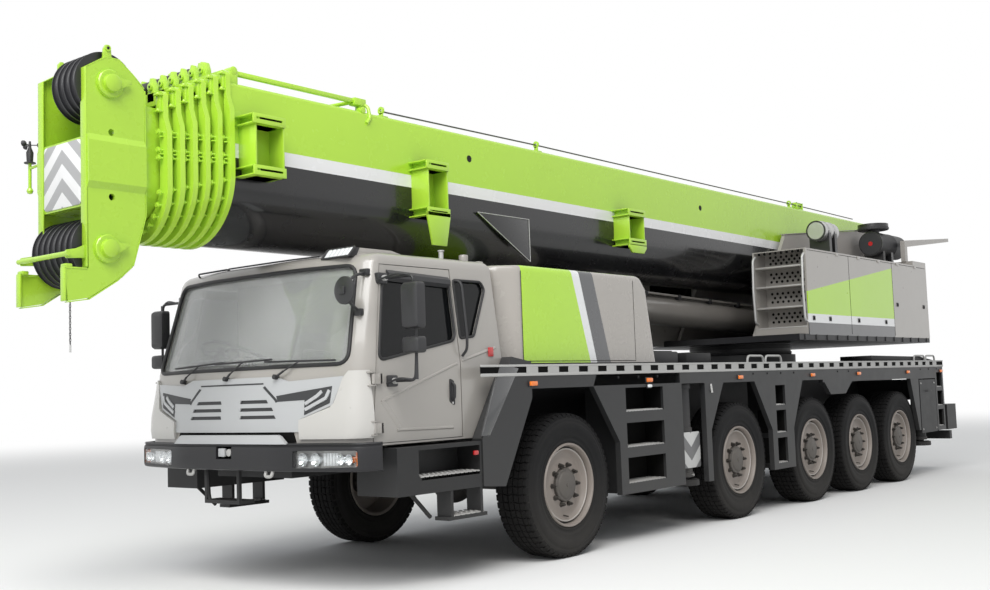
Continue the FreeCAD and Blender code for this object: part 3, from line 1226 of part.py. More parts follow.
# Lift cylinder: the barrel turns on the turntable, the rod's eye meets the boom
def along_ram(radius, start, length):
    """A cylinder that lies on the line from the barrel's pin to the rod's eye."""
    foot = Vector(-SIZES["ram_back"], 0, SIZES["ram_high"])
    eye = Vector(SIZES["ram_eye_x"], 0, SIZES["ram_eye_z"])
    run = eye - foot
    made = doc.addObject("Part::Cylinder", "RamPart")
    along = run.normalize()
    made.Placement = Placement(foot + along * start, Rotation(Vector(0, 0, 1), along))
    made.setExpression("Radius", bound(radius))
    made.setExpression("Height", bound(length))
    return made


ram_run = math.hypot(SIZES["ram_eye_x"] + SIZES["ram_back"], SIZES["ram_eye_z"] - SIZES["ram_high"])
eye_ends = across("eye_width / 2")
barrel = joined([
    along_ram("barrel_radius", 2 * SIZES["eye_outer"], "barrel_length - 2 * eye_outer"),
    along_ram("clevis_inner - slide_gap", 0, "3 * eye_outer"),
    drum("y", "eye_outer", ("-ram_back", "ram_high"), eye_ends),
])
barrel = less(barrel, [
    drum("y", "ram_pin + fit_gap", ("-ram_back", "ram_high"), across("clevis_outer")),
    along_ram("rod_radius + fit_gap",
              SIZES["rod_start"] + 2 * SIZES["eye_outer"] - SIZES["slide_gap"], "barrel_length"),
])
node("lift_barrel", barrel)
rod = joined([
    along_ram("rod_radius", SIZES["rod_start"] + 2 * SIZES["eye_outer"],
              f"{ram_run} - rod_start - 4 * eye_outer"),
    along_ram("clevis_inner - slide_gap", ram_run - 3 * SIZES["eye_outer"], "3 * eye_outer"),
    drum("y", "eye_outer", ("ram_eye_x", "ram_eye_z"), eye_ends),
])
node("lift_rod", less(rod, [drum("y", "ram_pin + fit_gap", ("ram_eye_x", "ram_eye_z"),
                                 across("clevis_outer"))]))

doc.recompute()
for made in doc.Objects:
    if "Invalid" in made.State or "Error" in made.State:
        raise ValueError(f"{made.Name} ({made.Label}) failed: {made.State}")
for made in nodes:
    if made.Shape.isNull() or not made.Shape.isValid() or not made.Shape.Solids:
        raise ValueError(f"{made.Label} has no valid shape")
os.makedirs("parts", exist_ok=True)
for made in nodes:
    made.Shape.exportStep(f"parts/{made.Label}.step")
print(len(nodes), "sub-parts written")
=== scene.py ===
import math

import bmesh
import bpy
from mathutils import Matrix, Vector


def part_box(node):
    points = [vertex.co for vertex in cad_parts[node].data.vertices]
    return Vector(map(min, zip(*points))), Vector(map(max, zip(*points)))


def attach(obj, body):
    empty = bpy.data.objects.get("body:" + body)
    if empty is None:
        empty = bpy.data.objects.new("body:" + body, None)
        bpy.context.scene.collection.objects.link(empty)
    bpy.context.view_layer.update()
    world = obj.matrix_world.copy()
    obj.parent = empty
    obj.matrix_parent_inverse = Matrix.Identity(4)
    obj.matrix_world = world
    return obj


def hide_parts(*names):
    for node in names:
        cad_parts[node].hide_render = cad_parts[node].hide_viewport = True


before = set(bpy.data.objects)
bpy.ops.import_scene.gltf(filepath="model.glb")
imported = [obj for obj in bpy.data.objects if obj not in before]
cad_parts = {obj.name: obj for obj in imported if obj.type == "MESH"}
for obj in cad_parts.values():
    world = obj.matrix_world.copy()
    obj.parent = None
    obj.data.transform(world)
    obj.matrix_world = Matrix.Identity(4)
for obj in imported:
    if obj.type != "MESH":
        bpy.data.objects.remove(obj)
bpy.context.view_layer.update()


# The studio
# A pale floor under a white sky, a soft key light from the front left and
# a camera where the photographer stood, a little above the bumper.
photo_width = 990
focal_pixels = 1158.69
camera_place = Vector((12.2885, 7.7924, 1.5704))
camera_heading = math.radians(219.373)
camera_pitch = math.radians(4.596)
camera_roll = math.radians(-1.9895)
floor_size = 150
floor_colour = (0.86, 0.86, 0.85, 1)
floor_fade_from = 14
floor_fade_to = 40
sky_strength = 0.46
key_power = 2700
key_size = 12
sun_strength = 0.82

ahead = Vector((
    math.cos(camera_heading) * math.cos(camera_pitch),
    math.sin(camera_heading) * math.cos(camera_pitch), math.sin(camera_pitch)))
level = Vector((math.sin(camera_heading), -math.cos(camera_heading), 0))
upright = level.cross(ahead)
right = math.cos(camera_roll) * level + math.sin(camera_roll) * upright
up = math.cos(camera_roll) * upright - math.sin(camera_roll) * level
camera = bpy.data.objects.new("camera", bpy.data.cameras.new("camera"))
camera.data.sensor_fit = "HORIZONTAL"
camera.data.lens = focal_pixels * camera.data.sensor_width / photo_width
camera.data.clip_end = 4 * floor_size
turn = Matrix((right, up, -ahead)).transposed()
camera.matrix_world = Matrix.Translation(camera_place) @ turn.to_4x4()
bpy.context.scene.collection.objects.link(camera)
bpy.context.scene.camera = camera
bpy.context.scene.view_settings.view_transform = "Standard"


def material(name):
    """A new material, its node tree and its shader."""
    made = bpy.data.materials.new(name)
    made.use_nodes = True
    return made, made.node_tree, made.node_tree.nodes["Principled BSDF"]


def seen_directly(tree):
    """A value of 1 where the camera, a reflection or a pane looks at a surface."""
    path = tree.nodes.new("ShaderNodeLightPath")
    last = path.outputs["Is Camera Ray"]
    for ray in ("Is Glossy Ray", "Is Transmission Ray"):
        larger = tree.nodes.new("ShaderNodeMath")
        larger.operation = "MAXIMUM"
        tree.links.new(last, larger.inputs[0])
        tree.links.new(path.outputs[ray], larger.inputs[1])
        last = larger.outputs[0]
    return last


world = bpy.data.worlds.new("sky")
world.use_nodes = True
bpy.context.scene.world = world
sky = world.node_tree
light_sky = sky.nodes["Background"]
light_sky.inputs["Color"].default_value = (0.93, 0.96, 1, 1)
light_sky.inputs["Strength"].default_value = sky_strength
shown_sky = sky.nodes.new("ShaderNodeBackground")
shown_sky.inputs["Color"].default_value = (1, 1, 1, 1)
sky_mix = sky.nodes.new("ShaderNodeMixShader")
sky.links.new(seen_directly(sky), sky_mix.inputs["Fac"])
sky.links.new(light_sky.outputs[0], sky_mix.inputs[1])
sky.links.new(shown_sky.outputs[0], sky_mix.inputs[2])
sky.links.new(sky_mix.outputs[0], sky.nodes["World Output"].inputs["Surface"])

floor_mesh = bpy.data.meshes.new("floor")
corner = floor_size / 2
floor_mesh.from_pydata(
    [(-corner, -corner, 0), (corner, -corner, 0), (corner, corner, 0), (-corner, corner, 0)], [],
    [(0, 1, 2, 3)])
floor = bpy.data.objects.new("floor", floor_mesh)
bpy.context.scene.collection.objects.link(floor)
floor_paint, floor_tree, floor_shader = material("studio_floor")
floor_shader.inputs["Base Color"].default_value = floor_colour
floor_shader.inputs["Roughness"].default_value = 0.9
floor_shader.inputs["Specular IOR Level"].default_value = 0.1
floor_white = floor_tree.nodes.new("ShaderNodeEmission")
floor_place = floor_tree.nodes.new("ShaderNodeTexCoord")
floor_distance = floor_tree.nodes.new("ShaderNodeVectorMath")
floor_distance.operation = "LENGTH"
floor_fade = floor_tree.nodes.new("ShaderNodeMapRange")
floor_fade.interpolation_type = "SMOOTHERSTEP"
floor_fade.inputs["From Min"].default_value = floor_fade_from
floor_fade.inputs["From Max"].default_value = floor_fade_to
floor_seen = floor_tree.nodes.new("ShaderNodeMath")
floor_seen.operation = "MULTIPLY"
floor_mix = floor_tree.nodes.new("ShaderNodeMixShader")
floor_tree.links.new(floor_place.outputs["Object"], floor_distance.inputs[0])
floor_tree.links.new(floor_distance.outputs["Value"], floor_fade.inputs["Value"])
floor_tree.links.new(floor_fade.outputs["Result"], floor_seen.inputs[0])
floor_tree.links.new(seen_directly(floor_tree), floor_seen.inputs[1])
floor_tree.links.new(floor_seen.outputs[0], floor_mix.inputs["Fac"])
floor_tree.links.new(floor_shader.outputs[0], floor_mix.inputs[1])
floor_tree.links.new(floor_white.outputs[0], floor_mix.inputs[2])
floor_tree.links.new(floor_mix.outputs[0], floor_tree.nodes["Material Output"].inputs["Surface"])
floor_mesh.materials.append(floor_paint)


def lamp(name, kind, place, target, strength, size, colour=(1, 1, 1)):
    data = bpy.data.lights.new(name, kind)
    data.energy = strength
    data.color = colour
    if kind == "SUN":
        data.angle = size
    else:
        data.size = size
    made = bpy.data.objects.new(name, data)
    made.location = place
    made.rotation_mode = "QUATERNION"
    made.rotation_quaternion = (Vector(target) - Vector(place)).to_track_quat("-Z", "Y")
    bpy.context.scene.collection.objects.link(made)


lamp("key", "AREA", (16, 6, 14), (0, 0, 1.5), key_power, key_size)
lamp("day", "SUN", (6, 9, 14), (0, 0, 0), sun_strength, math.radians(25), (1, 0.98, 0.95))


# The chassis frame
# A welded steel box with channels for the outrigger beams, sprayed dark grey.
# Road dust lies thickest low down and thins out towards the deck.
dark_paint = (0.0165, 0.017, 0.018, 1)
black_paint = (0.013, 0.013, 0.014, 1)
dust_colour = (0.20, 0.185, 0.165, 1)


def group_sockets(tree, direction, rows):
    for name, kind, value in rows:
        socket = tree.interface.new_socket(name=name, in_out=direction, socket_type="NodeSocket" + kind)
        if value is not None:
            socket.default_value = value


def link_chain(tree, pairs):
    for start, end in pairs:
        tree.links.new(start, end)


def math_node(tree, operation, *values):
    """A math node; each value is a number or the socket that feeds it."""
    made = tree.nodes.new("ShaderNodeMath")
    made.operation = operation
    for place, value in enumerate(values):
        if isinstance(value, (int, float)):
            made.inputs[place].default_value = value
        else:
            tree.links.new(value, made.inputs[place])
    return made.outputs[0]


def noise(tree, place, scale, detail=3.0):
    made = tree.nodes.new("ShaderNodeTexNoise")
    made.inputs["Detail"].default_value = detail
    if isinstance(scale, (int, float)):
        made.inputs["Scale"].default_value = scale
    else:
        tree.links.new(scale, made.inputs["Scale"])
    tree.links.new(place, made.inputs["Vector"])
    return made.outputs["Fac"]


def blend_colours(tree, factor, first, second):
    made = tree.nodes.new("ShaderNodeMix")
    made.data_type = "RGBA"
    tree.links.new(factor, made.inputs["Factor"])
    for socket, value in (("A", first), ("B", second)):
        target = [entry for entry in made.inputs if entry.name == socket and entry.type == "RGBA"][0]
        if isinstance(value, tuple):
            target.default_value = value
        else:
            tree.links.new(value, target)
    return [entry for entry in made.outputs if entry.type == "RGBA"][0]


weathering = bpy.data.node_groups.new("Weathering", "ShaderNodeTree")
group_sockets(
    weathering, "INPUT",
    [
        ("Color", "Color", dark_paint), ("Roughness", "Float", 0.4), ("Mottle", "Float", 0.06),
        ("Dust Color", "Color", dust_colour), ("Dust Amount", "Float", 0.5),
        ("Dust Height", "Float", 1.4), ("Grain Scale", "Float", 60.0), ("Grain Depth", "Float", 0.1)])
group_sockets(
    weathering, "OUTPUT",
    [("Color", "Color", None), ("Roughness", "Float", None), ("Normal", "Vector", None)])


def build_weathering(tree):
    """Cloudy colour, dust that settles low and on top of things, and a fine surface grain."""
    given = tree.nodes.new("NodeGroupInput").outputs
    place = tree.nodes.new("ShaderNodeTexCoord").outputs["Object"]
    cloud = noise(tree, place, 1.7)
    blotch = noise(tree, place, 9.0, 5.0)
    parts = tree.nodes.new("ShaderNodeSeparateXYZ")
    tree.links.new(place, parts.inputs[0])
    low = math_node(
        tree, "SUBTRACT", 1.0, math_node(tree, "DIVIDE", parts.outputs["Z"], given["Dust Height"]))
    low = math_node(tree, "MAXIMUM", low, 0.0)
    facing = tree.nodes.new("ShaderNodeSeparateXYZ")
    tree.links.new(tree.nodes.new("ShaderNodeNewGeometry").outputs["Normal"], facing.inputs[0])
    on_top = math_node(tree, "MULTIPLY", math_node(tree, "MAXIMUM", facing.outputs["Z"], 0.0), 0.3)
    settled = math_node(tree, "ADD", low, on_top)
    patchy = math_node(tree, "MULTIPLY", math_node(tree, "ADD", blotch, cloud), settled)
    dust = math_node(tree, "MINIMUM", math_node(tree, "MULTIPLY", patchy, given["Dust Amount"]), 0.85)
    shade = math_node(
        tree, "MULTIPLY_ADD", math_node(tree, "SUBTRACT", cloud, 0.5), given["Mottle"], 1.0)
    toned = tree.nodes.new("ShaderNodeVectorMath")
    toned.operation = "SCALE"
    link_chain(tree, [(given["Color"], toned.inputs[0]), (shade, toned.inputs["Scale"])])
    colour = blend_colours(tree, dust, toned.outputs[0], given["Dust Color"])
    rough = math_node(tree, "MULTIPLY_ADD", dust, 0.5, given["Roughness"])
    rough = math_node(tree, "MULTIPLY_ADD", math_node(tree, "SUBTRACT", blotch, 0.5), 0.12, rough)
    bump = tree.nodes.new("ShaderNodeBump")
    bump.inputs["Distance"].default_value = 0.002
    link_chain(
        tree,
        [
            (noise(tree, place, given["Grain Scale"], 2.0), bump.inputs["Height"]),
            (given["Grain Depth"], bump.inputs["Strength"])])
    out = tree.nodes.new("NodeGroupOutput").inputs
    link_chain(
        tree, [(colour, out["Color"]), (rough, out["Roughness"]), (bump.outputs[0], out["Normal"])])


build_weathering(weathering)


def painted(name, colour, roughness=0.4, coat=0.0, metallic=0.0, feed=None, gloss=0.5, **worn):
    """A weathered finish; feed, a socket in the same tree, may stand in for a plain colour."""
    made, tree, shader = material(name)
    group = tree.nodes.new("ShaderNodeGroup")
    group.node_tree = weathering
    group.inputs["Color"].default_value = colour
    group.inputs["Roughness"].default_value = roughness
    for words, value in worn.items():
        group.inputs[words.replace("_", " ").title()].default_value = value
    if feed:
        tree.links.new(feed(tree), group.inputs["Color"])
    shader.inputs["Metallic"].default_value = metallic
    shader.inputs["Coat Weight"].default_value = coat
    shader.inputs["Specular IOR Level"].default_value = gloss
    shader.inputs["Coat Roughness"].default_value = 0.08
    link_chain(
        tree,
        [
            (group.outputs["Color"], shader.inputs["Base Color"]),
            (group.outputs["Roughness"], shader.inputs["Roughness"]),
            (group.outputs["Normal"], shader.inputs["Normal"])])
    return made


chassis_paint = painted("chassis_paint", dark_paint, 0.45, gloss=0.3, dust_amount=0.08)
black_steel = painted("black_steel", black_paint, 0.5, gloss=0.25, dust_amount=0.12, dust_height=1.1)


def dress(paint, *nodes):
    """Give CAD nodes that stay as they are their finish."""
    for name in nodes:
        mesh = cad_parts[name].data
        mesh.materials.clear()
        mesh.materials.append(paint)


def mesh_of(bm, paint, smooth_below=35):
    """A plain mesh of one finish from a bmesh, smooth except at its edges."""
    bmesh.ops.recalc_face_normals(bm, faces=bm.faces)
    mesh = bpy.data.meshes.new("part")
    bm.to_mesh(mesh)
    bm.free()
    mesh.materials.append(paint)
    for face in mesh.polygons:
        face.use_smooth = True
    mesh.set_sharp_from_angle(angle=math.radians(smooth_below))
    return mesh


def rounded(bm, bevel, steps=2):
    """Round every sharp edge of a closed bmesh."""
    if bevel:
        edges = [
            edge for edge in bm.edges
            if len(edge.link_faces) == 2 and edge.calc_face_angle(0) > math.radians(20)]
        bmesh.ops.bevel(
            bm, geom=edges, offset=bevel, segments=steps, profile=0.5, affect="EDGES",
            clamp_overlap=True)
    return bm


def slab(low, high, paint, bevel=0.004):
    bm = bmesh.new()
    bmesh.ops.create_cube(bm, size=1)
    low, high = Vector(low), Vector(high)
    for vertex in bm.verts:
        vertex.co = Vector(
            ((low[k] + high[k]) / 2 + vertex.co[k] * (high[k] - low[k]) for k in range(3)))
    return mesh_of(rounded(bm, bevel), paint)


def along(axis, first, second, third):
    """A point from two coordinates across an axis and one along it."""
    return Vector(
        {"x": (third, first, second), "y": (first, third, second), "z": (first, second, third)}[axis])


def prism(axis, outline, ends, paint, bevel=0.004):
    """An outline across an axis, drawn out between two places along it."""
    bm = bmesh.new()
    rings = [
        [bm.verts.new(along(axis, first, second, place)) for first, second in outline] for place in ends]
    bm.faces.new(rings[0])
    bm.faces.new(rings[1][::-1])
    for k in range(len(outline)):
        after = (k + 1) % len(outline)
        bm.faces.new((rings[0][k], rings[1][k], rings[1][after], rings[0][after]))
    bmesh.ops.recalc_face_normals(bm, faces=bm.faces)
    return mesh_of(rounded(bm, bevel), paint)


def lathe(axis, centre, profile, paint, steps=32, smooth_below=35, hoop=False):
    """A profile of (place along the axis, radius) turned about an axis through a centre.

    A hoop's profile closes on itself; any other one is closed with flat ends."""
    bm = bmesh.new()
    centre = Vector(centre)
    rings = []
    for place, radius in profile:
        if radius < 1e-6:
            rings.append([bm.verts.new(centre + along(axis, 0, 0, place))])
            continue
        rings.append([
            bm.verts.new(centre + along(
                axis, radius * math.cos(2 * math.pi * k / steps),
                radius * math.sin(2 * math.pi * k / steps), place)) for k in range(steps)])
    for first, second in zip(rings, rings[1:] + rings[:1] * hoop):
        for k in range(steps):
            after = (k + 1) % steps
            corners = [
                first[k % len(first)], first[after % len(first)], second[after % len(second)],
                second[k % len(second)]]
            bm.faces.new(list(dict.fromkeys(corners)))
    if not hoop:
        for ring in (rings[0], rings[-1]):
            if len(ring) > 1:
                bm.faces.new(ring)
    return mesh_of(bm, paint, smooth_below)


def rod(start, end, radius, paint, steps=12, bevel=0.0):
    """A round bar between two points."""
    start, end = Vector(start), Vector(end)
    bm = bmesh.new()
    length = (end - start).length
    bmesh.ops.create_cone(
        bm, cap_ends=True, segments=steps, radius1=radius, radius2=radius, depth=length)
    rounded(bm, bevel)
    turn = (end - start).to_track_quat("Z", "Y").to_matrix().to_4x4()
    bm.transform(Matrix.Translation((start + end) / 2) @ turn)
    return mesh_of(bm, paint)


def tube(points, radius, paint, bend=0.05, steps=8):
    """A bent tube through points, with a round bend at each inner one."""
    points = [Vector(point) for point in points]
    route = [points[0]]
    for before, here, after in zip(points, points[1:], points[2:]):
        reach = min(bend, (here - before).length / 2.1, (after - here).length / 2.1)
        start = here + (before - here).normalized() * reach
        end = here + (after - here).normalized() * reach
        route += [start.lerp(here, t).lerp(here.lerp(end, t), t) for t in (0, 0.25, 0.5, 0.75, 1)]
    route.append(points[-1])
    bm = bmesh.new()
    rings = []
    side = None
    for k, point in enumerate(route):
        heading = (route[min(k + 1, len(route) - 1)] - route[max(k - 1, 0)]).normalized()
        if side is None:
            side = heading.orthogonal().normalized()
        side = (side - heading * side.dot(heading)).normalized()
        other = heading.cross(side)
        rings.append([
            bm.verts.new(point + radius * (
                side * math.cos(2 * math.pi * n / steps) + other * math.sin(2 * math.pi * n / steps)))
            for n in range(steps)])
    for first, second in zip(rings, rings[1:]):
        for n in range(steps):
            after = (n + 1) % steps
            bm.faces.new((first[n], first[after], second[after], second[n]))
    bm.faces.new(rings[0])
    bm.faces.new(rings[-1])
    return mesh_of(bm, paint, 50)


def placed(mesh, matrix):
    """A moved copy of a mesh."""
    made = mesh.copy()
    made.transform(matrix)
    if matrix.determinant() < 0:
        made.flip_normals()
    return made


def other_side(mesh):
    """A copy of a mesh on the right-hand side."""
    return placed(mesh, Matrix.Scale(-1, 4, (0, 1, 0)))


def both_sides(parts):
    return parts + [other_side(part) for part in parts]


def assemble(name, body, parts, replaces=()):
    """Join meshes into one piece that rides on a body."""
    paints = []
    bm = bmesh.new()
    for part in parts:
        before = len(bm.faces)
        bm.from_mesh(part)
        bm.faces.ensure_lookup_table()
        for paint in part.materials:
            if paint not in paints:
                paints.append(paint)
        for face in bm.faces[before:]:
            face.material_index = paints.index(part.materials[face.material_index])
    mesh = bpy.data.meshes.new(name)
    bm.to_mesh(mesh)
    bm.free()
    for paint in paints:
        mesh.materials.append(paint)
    made = bpy.data.objects.new(name, mesh)
    bpy.context.scene.collection.objects.link(made)
    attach(made, body)
    if replaces:
        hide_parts(*replaces)
    return made


def tree_of(name, rows):
    """An empty Geometry Nodes tree with named inputs."""
    tree = bpy.data.node_groups.new(name, "GeometryNodeTree")
    group_sockets(
        tree, "INPUT", [("Geometry", "Geometry", None)] + rows + [("Finish", "Material", None)])
    group_sockets(tree, "OUTPUT", [("Geometry", "Geometry", None)])
    return tree, tree.nodes.new("NodeGroupInput").outputs, tree.nodes.new("NodeGroupOutput").inputs


def instances_out(tree, given, out, points, turn=None):
    """Put the given mesh on points, realize the copies and set their finish."""
    copies = tree.nodes.new("GeometryNodeInstanceOnPoints")
    real = tree.nodes.new("GeometryNodeRealizeInstances")
    finish = tree.nodes.new("GeometryNodeSetMaterial")
    link_chain(
        tree,
        [
            (points, copies.inputs["Points"]), (given["Geometry"], copies.inputs["Instance"]),
            (copies.outputs[0], real.inputs[0]), (real.outputs[0], finish.inputs["Geometry"]),
            (given["Finish"], finish.inputs["Material"]), (finish.outputs[0], out[0])])
    if turn:
        tree.links.new(turn, copies.inputs["Rotation"])


def grown(tree, item, paint, **sizes):
    """The plain mesh that a tree makes of copies of an item."""
    host = bpy.data.objects.new("host", item)
    bpy.context.scene.collection.objects.link(host)
    modifier = host.modifiers.new("Made", "NODES")
    modifier.node_group = tree
    wanted = {words.replace("_", " ").title(): value for words, value in sizes.items()}
    wanted["Finish"] = paint
    for socket in tree.interface.items_tree:
        if socket.in_out == "INPUT" and socket.name in wanted:
            modifier[socket.identifier] = wanted[socket.name]
    bpy.context.view_layer.update()
    mesh = bpy.data.meshes.new_from_object(host.evaluated_get(bpy.context.evaluated_depsgraph_get()))
    bpy.data.objects.remove(host)
    return mesh


row_tree, row_given, row_out = tree_of(
    "Row", [("Count", "Int", 2), ("Start", "Vector", (0, 0, 0)), ("Step", "Vector", (1, 0, 0))])
row_line = row_tree.nodes.new("GeometryNodeMeshLine")
row_line.mode = "OFFSET"
link_chain(
    row_tree,
    [
        (row_given["Count"], row_line.inputs["Count"]),
        (row_given["Start"], row_line.inputs["Start Location"]),
        (row_given["Step"], row_line.inputs["Offset"])])
instances_out(row_tree, row_given, row_out, row_line.outputs[0])

ring_tree, ring_given, ring_out = tree_of("Ring", [("Count", "Int", 8), ("Radius", "Float", 1.0)])
ring_circle = ring_tree.nodes.new("GeometryNodeMeshCircle")
ring_index = ring_tree.nodes.new("GeometryNodeInputIndex")
ring_step = math_node(ring_tree, "DIVIDE", 2 * math.pi, ring_given["Count"])
ring_angle = math_node(ring_tree, "MULTIPLY", ring_index.outputs[0], ring_step)
ring_turn = ring_tree.nodes.new("ShaderNodeCombineXYZ")
link_chain(
    ring_tree,
    [
        (ring_given["Count"], ring_circle.inputs["Vertices"]),
        (ring_given["Radius"], ring_circle.inputs["Radius"]), (ring_angle, ring_turn.inputs["Z"])])
instances_out(ring_tree, ring_given, ring_out, ring_circle.outputs[0], ring_turn.outputs[0])


def row(item, paint, count, start, step):
    """Copies of an item in a straight row."""
    return grown(row_tree, item, paint, count=count, start=tuple(start), step=tuple(step))


axis_turns = {
    "x": Matrix.Rotation(math.radians(90), 4, "Y"), "y": Matrix.Rotation(math.radians(-90), 4, "X"),
    "z": Matrix.Identity(4)}


def ring(item, paint, count, radius, axis, centre):
    """Copies of an item, which stands along +Z at the origin, round an axis."""
    made = grown(ring_tree, item, paint, count=count, radius=radius)
    made.transform(Matrix.Translation(centre) @ axis_turns[axis])
    return made


def bolt(radius, height, paint):
    """A hexagon head on a washer, standing up from the origin."""
    head = lathe(
        "z", (0, 0, 0),
        [
            (0, radius * 1.5), (height * 0.3, radius * 1.5), (height * 0.3, radius), (height, radius),
            (height, 0)], paint, steps=6)
    return head


dress(chassis_paint, "chassis_frame")


# The tyres
# Radial tyres on 25-inch rims, with five ribs of blocks round the tread and
# worn, dusty side walls with the moulded rings that guard the bead.
rubber_colour = (0.0065, 0.0065, 0.007, 1)
tyre_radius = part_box("tyre_1_left")[1].z / 2
tyre_half = (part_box("tyre_1_left")[1].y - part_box("tyre_1_left")[0].y) / 2
groove_depth = 0.016
tread_blocks = 58
tread_ribs = (-0.118, -0.060, 0.0, 0.060, 0.118)
tyre_rubber = painted(
    "tyre_rubber", rubber_colour, 0.72, gloss=0.22, mottle=0.3, dust_amount=0.13, dust_height=0.9,
    grain_scale=40, grain_depth=0.3)
tread_rubber = painted(
    "tread_rubber", rubber_colour, 0.8, gloss=0.15, mottle=0.2, dust_amount=0.06, dust_height=1.2,
    grain_scale=90, grain_depth=0.5)


def tyre_profile():
    """Half the outline of a tyre, from the bead out to the crown."""
    return [
        (0.168, 0.383), (0.174, 0.395), (0.176, 0.408), (0.170, 0.414), (0.172, 0.440), (0.1785, 0.448),
        (0.1795, 0.456), (0.179, 0.480), (0.187, 0.505), (tyre_half - 0.002, 0.525),
        (tyre_half - 0.001, 0.550), (0.1865, 0.575), (0.1835, 0.577), (0.181, 0.592), (0.1815, 0.600),
        (0.177, 0.606), (0.174, 0.622), (0.170, 0.632), (0.158, 0.640),
        (0.150, tyre_radius - groove_depth - 0.002)]


def tread_block(width, length, skew):
    """One rubber block, standing up from the carcass, its ends cut at a slant."""
    low, high = -0.012, groove_depth
    half, reach = width / 2, length / 2
    bm = bmesh.new()
    rings = []
    for level_high, grow in ((low, 0.002), (high - 0.002, 0.0), (high, -0.002)):
        rings.append([
            bm.verts.new((x * (half + grow), (reach + grow) * y + skew * half * x, level_high))
            for x, y in ((-1, -1), (1, -1), (1, 1), (-1, 1))])
    for first, second in zip(rings, rings[1:]):
        for k in range(4):
            bm.faces.new((first[k], first[(k + 1) % 4], second[(k + 1) % 4], second[k]))
    bm.faces.new(rings[-1])
    return mesh_of(bm, tread_rubber)


def tread_row(place, width, skew, centre):
    """A rib of blocks round the tyre."""
    pitch = 2 * math.pi * tyre_radius / tread_blocks
    block = tread_block(width, pitch * 0.86, skew)
    block.transform(Matrix(((0, 0, 1, 0), (0, 1, 0, 0), (1, 0, 0, 0), (0, 0, 0, 1))))
    block.flip_normals()
    return ring(
        block, tread_rubber, tread_blocks, tyre_radius - groove_depth, "y",
        centre + Vector((0, place, 0)))


def shoulder_lug():
    """The lug that wraps over the shoulder of the tread."""
    bm = bmesh.new()
    reach = math.pi * tyre_radius / tread_blocks * 0.72
    outline = (
        (-0.012, 0.026), (groove_depth - 0.002, 0.026), (groove_depth - 0.010, 0.003), (-0.022, -0.004),
        (-0.040, -0.002), (-0.040, 0.014))
    rings = [[bm.verts.new((up_by, y * reach, over)) for up_by, over in outline] for y in (-1, 1)]
    bm.faces.new(rings[0])
    bm.faces.new(rings[1][::-1])
    for k in range(len(outline)):
        after = (k + 1) % len(outline)
        bm.faces.new((rings[0][k], rings[1][k], rings[1][after], rings[0][after]))
    return mesh_of(bm, tread_rubber)


def tyre_parts(centre):
    half = tyre_profile()
    profile = [(-place, radius) for place, radius in half] + half[::-1]
    carcass = lathe("y", centre, profile, tyre_rubber, steps=72, smooth_below=50, hoop=True)
    parts = [carcass]
    for count, place in enumerate(tread_ribs):
        parts.append(tread_row(place, 0.047, 0.25 if count % 2 else -0.25, centre))
    for side in (1, -1):
        lugs = ring(
            shoulder_lug(), tread_rubber, tread_blocks, tyre_radius - groove_depth, "y",
            Vector((0, 0, 0)))
        if side > 0:
            lugs = placed(lugs, Matrix.Scale(-1, 4, (0, 1, 0)))
        parts.append(placed(lugs, Matrix.Translation(centre + Vector((0, side * 0.172, 0)))))
    return parts


def middle(node):
    low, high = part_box(node)
    return (low + high) / 2


for number in range(1, 6):
    for side in ("left", "right"):
        cad = f"tyre_{number}_{side}"
        assemble(
            f"tyre_with_tread_{number}_{side}", f"wheel_{number}_{side}",
            tyre_parts(middle(cad)), replaces=[cad])


# The rims
# Pressed steel discs welded into a rim with a loose flange, sprayed warm grey,
# held by ten nuts round a hub whose cap has its own ring of screws.
rim_colour = (0.25, 0.215, 0.19, 1)
rim_paint = painted("rim_paint", rim_colour, 0.40, mottle=0.15, dust_amount=0.25, dust_height=1.2)
lip_paint = painted("lip_paint", (0.42, 0.39, 0.36, 1), 0.35, mottle=0.2, dust_amount=0.2)
hub_paint = painted("hub_paint", (0.075, 0.066, 0.058, 1), 0.5, mottle=0.2, dust_amount=0.25)
nut_steel = painted("nut_steel", (0.022, 0.019, 0.017, 1), 0.45, metallic=0.4, dust_amount=0.3)
wheel_nuts = 10
nut_circle = 0.186
cap_screws = 12


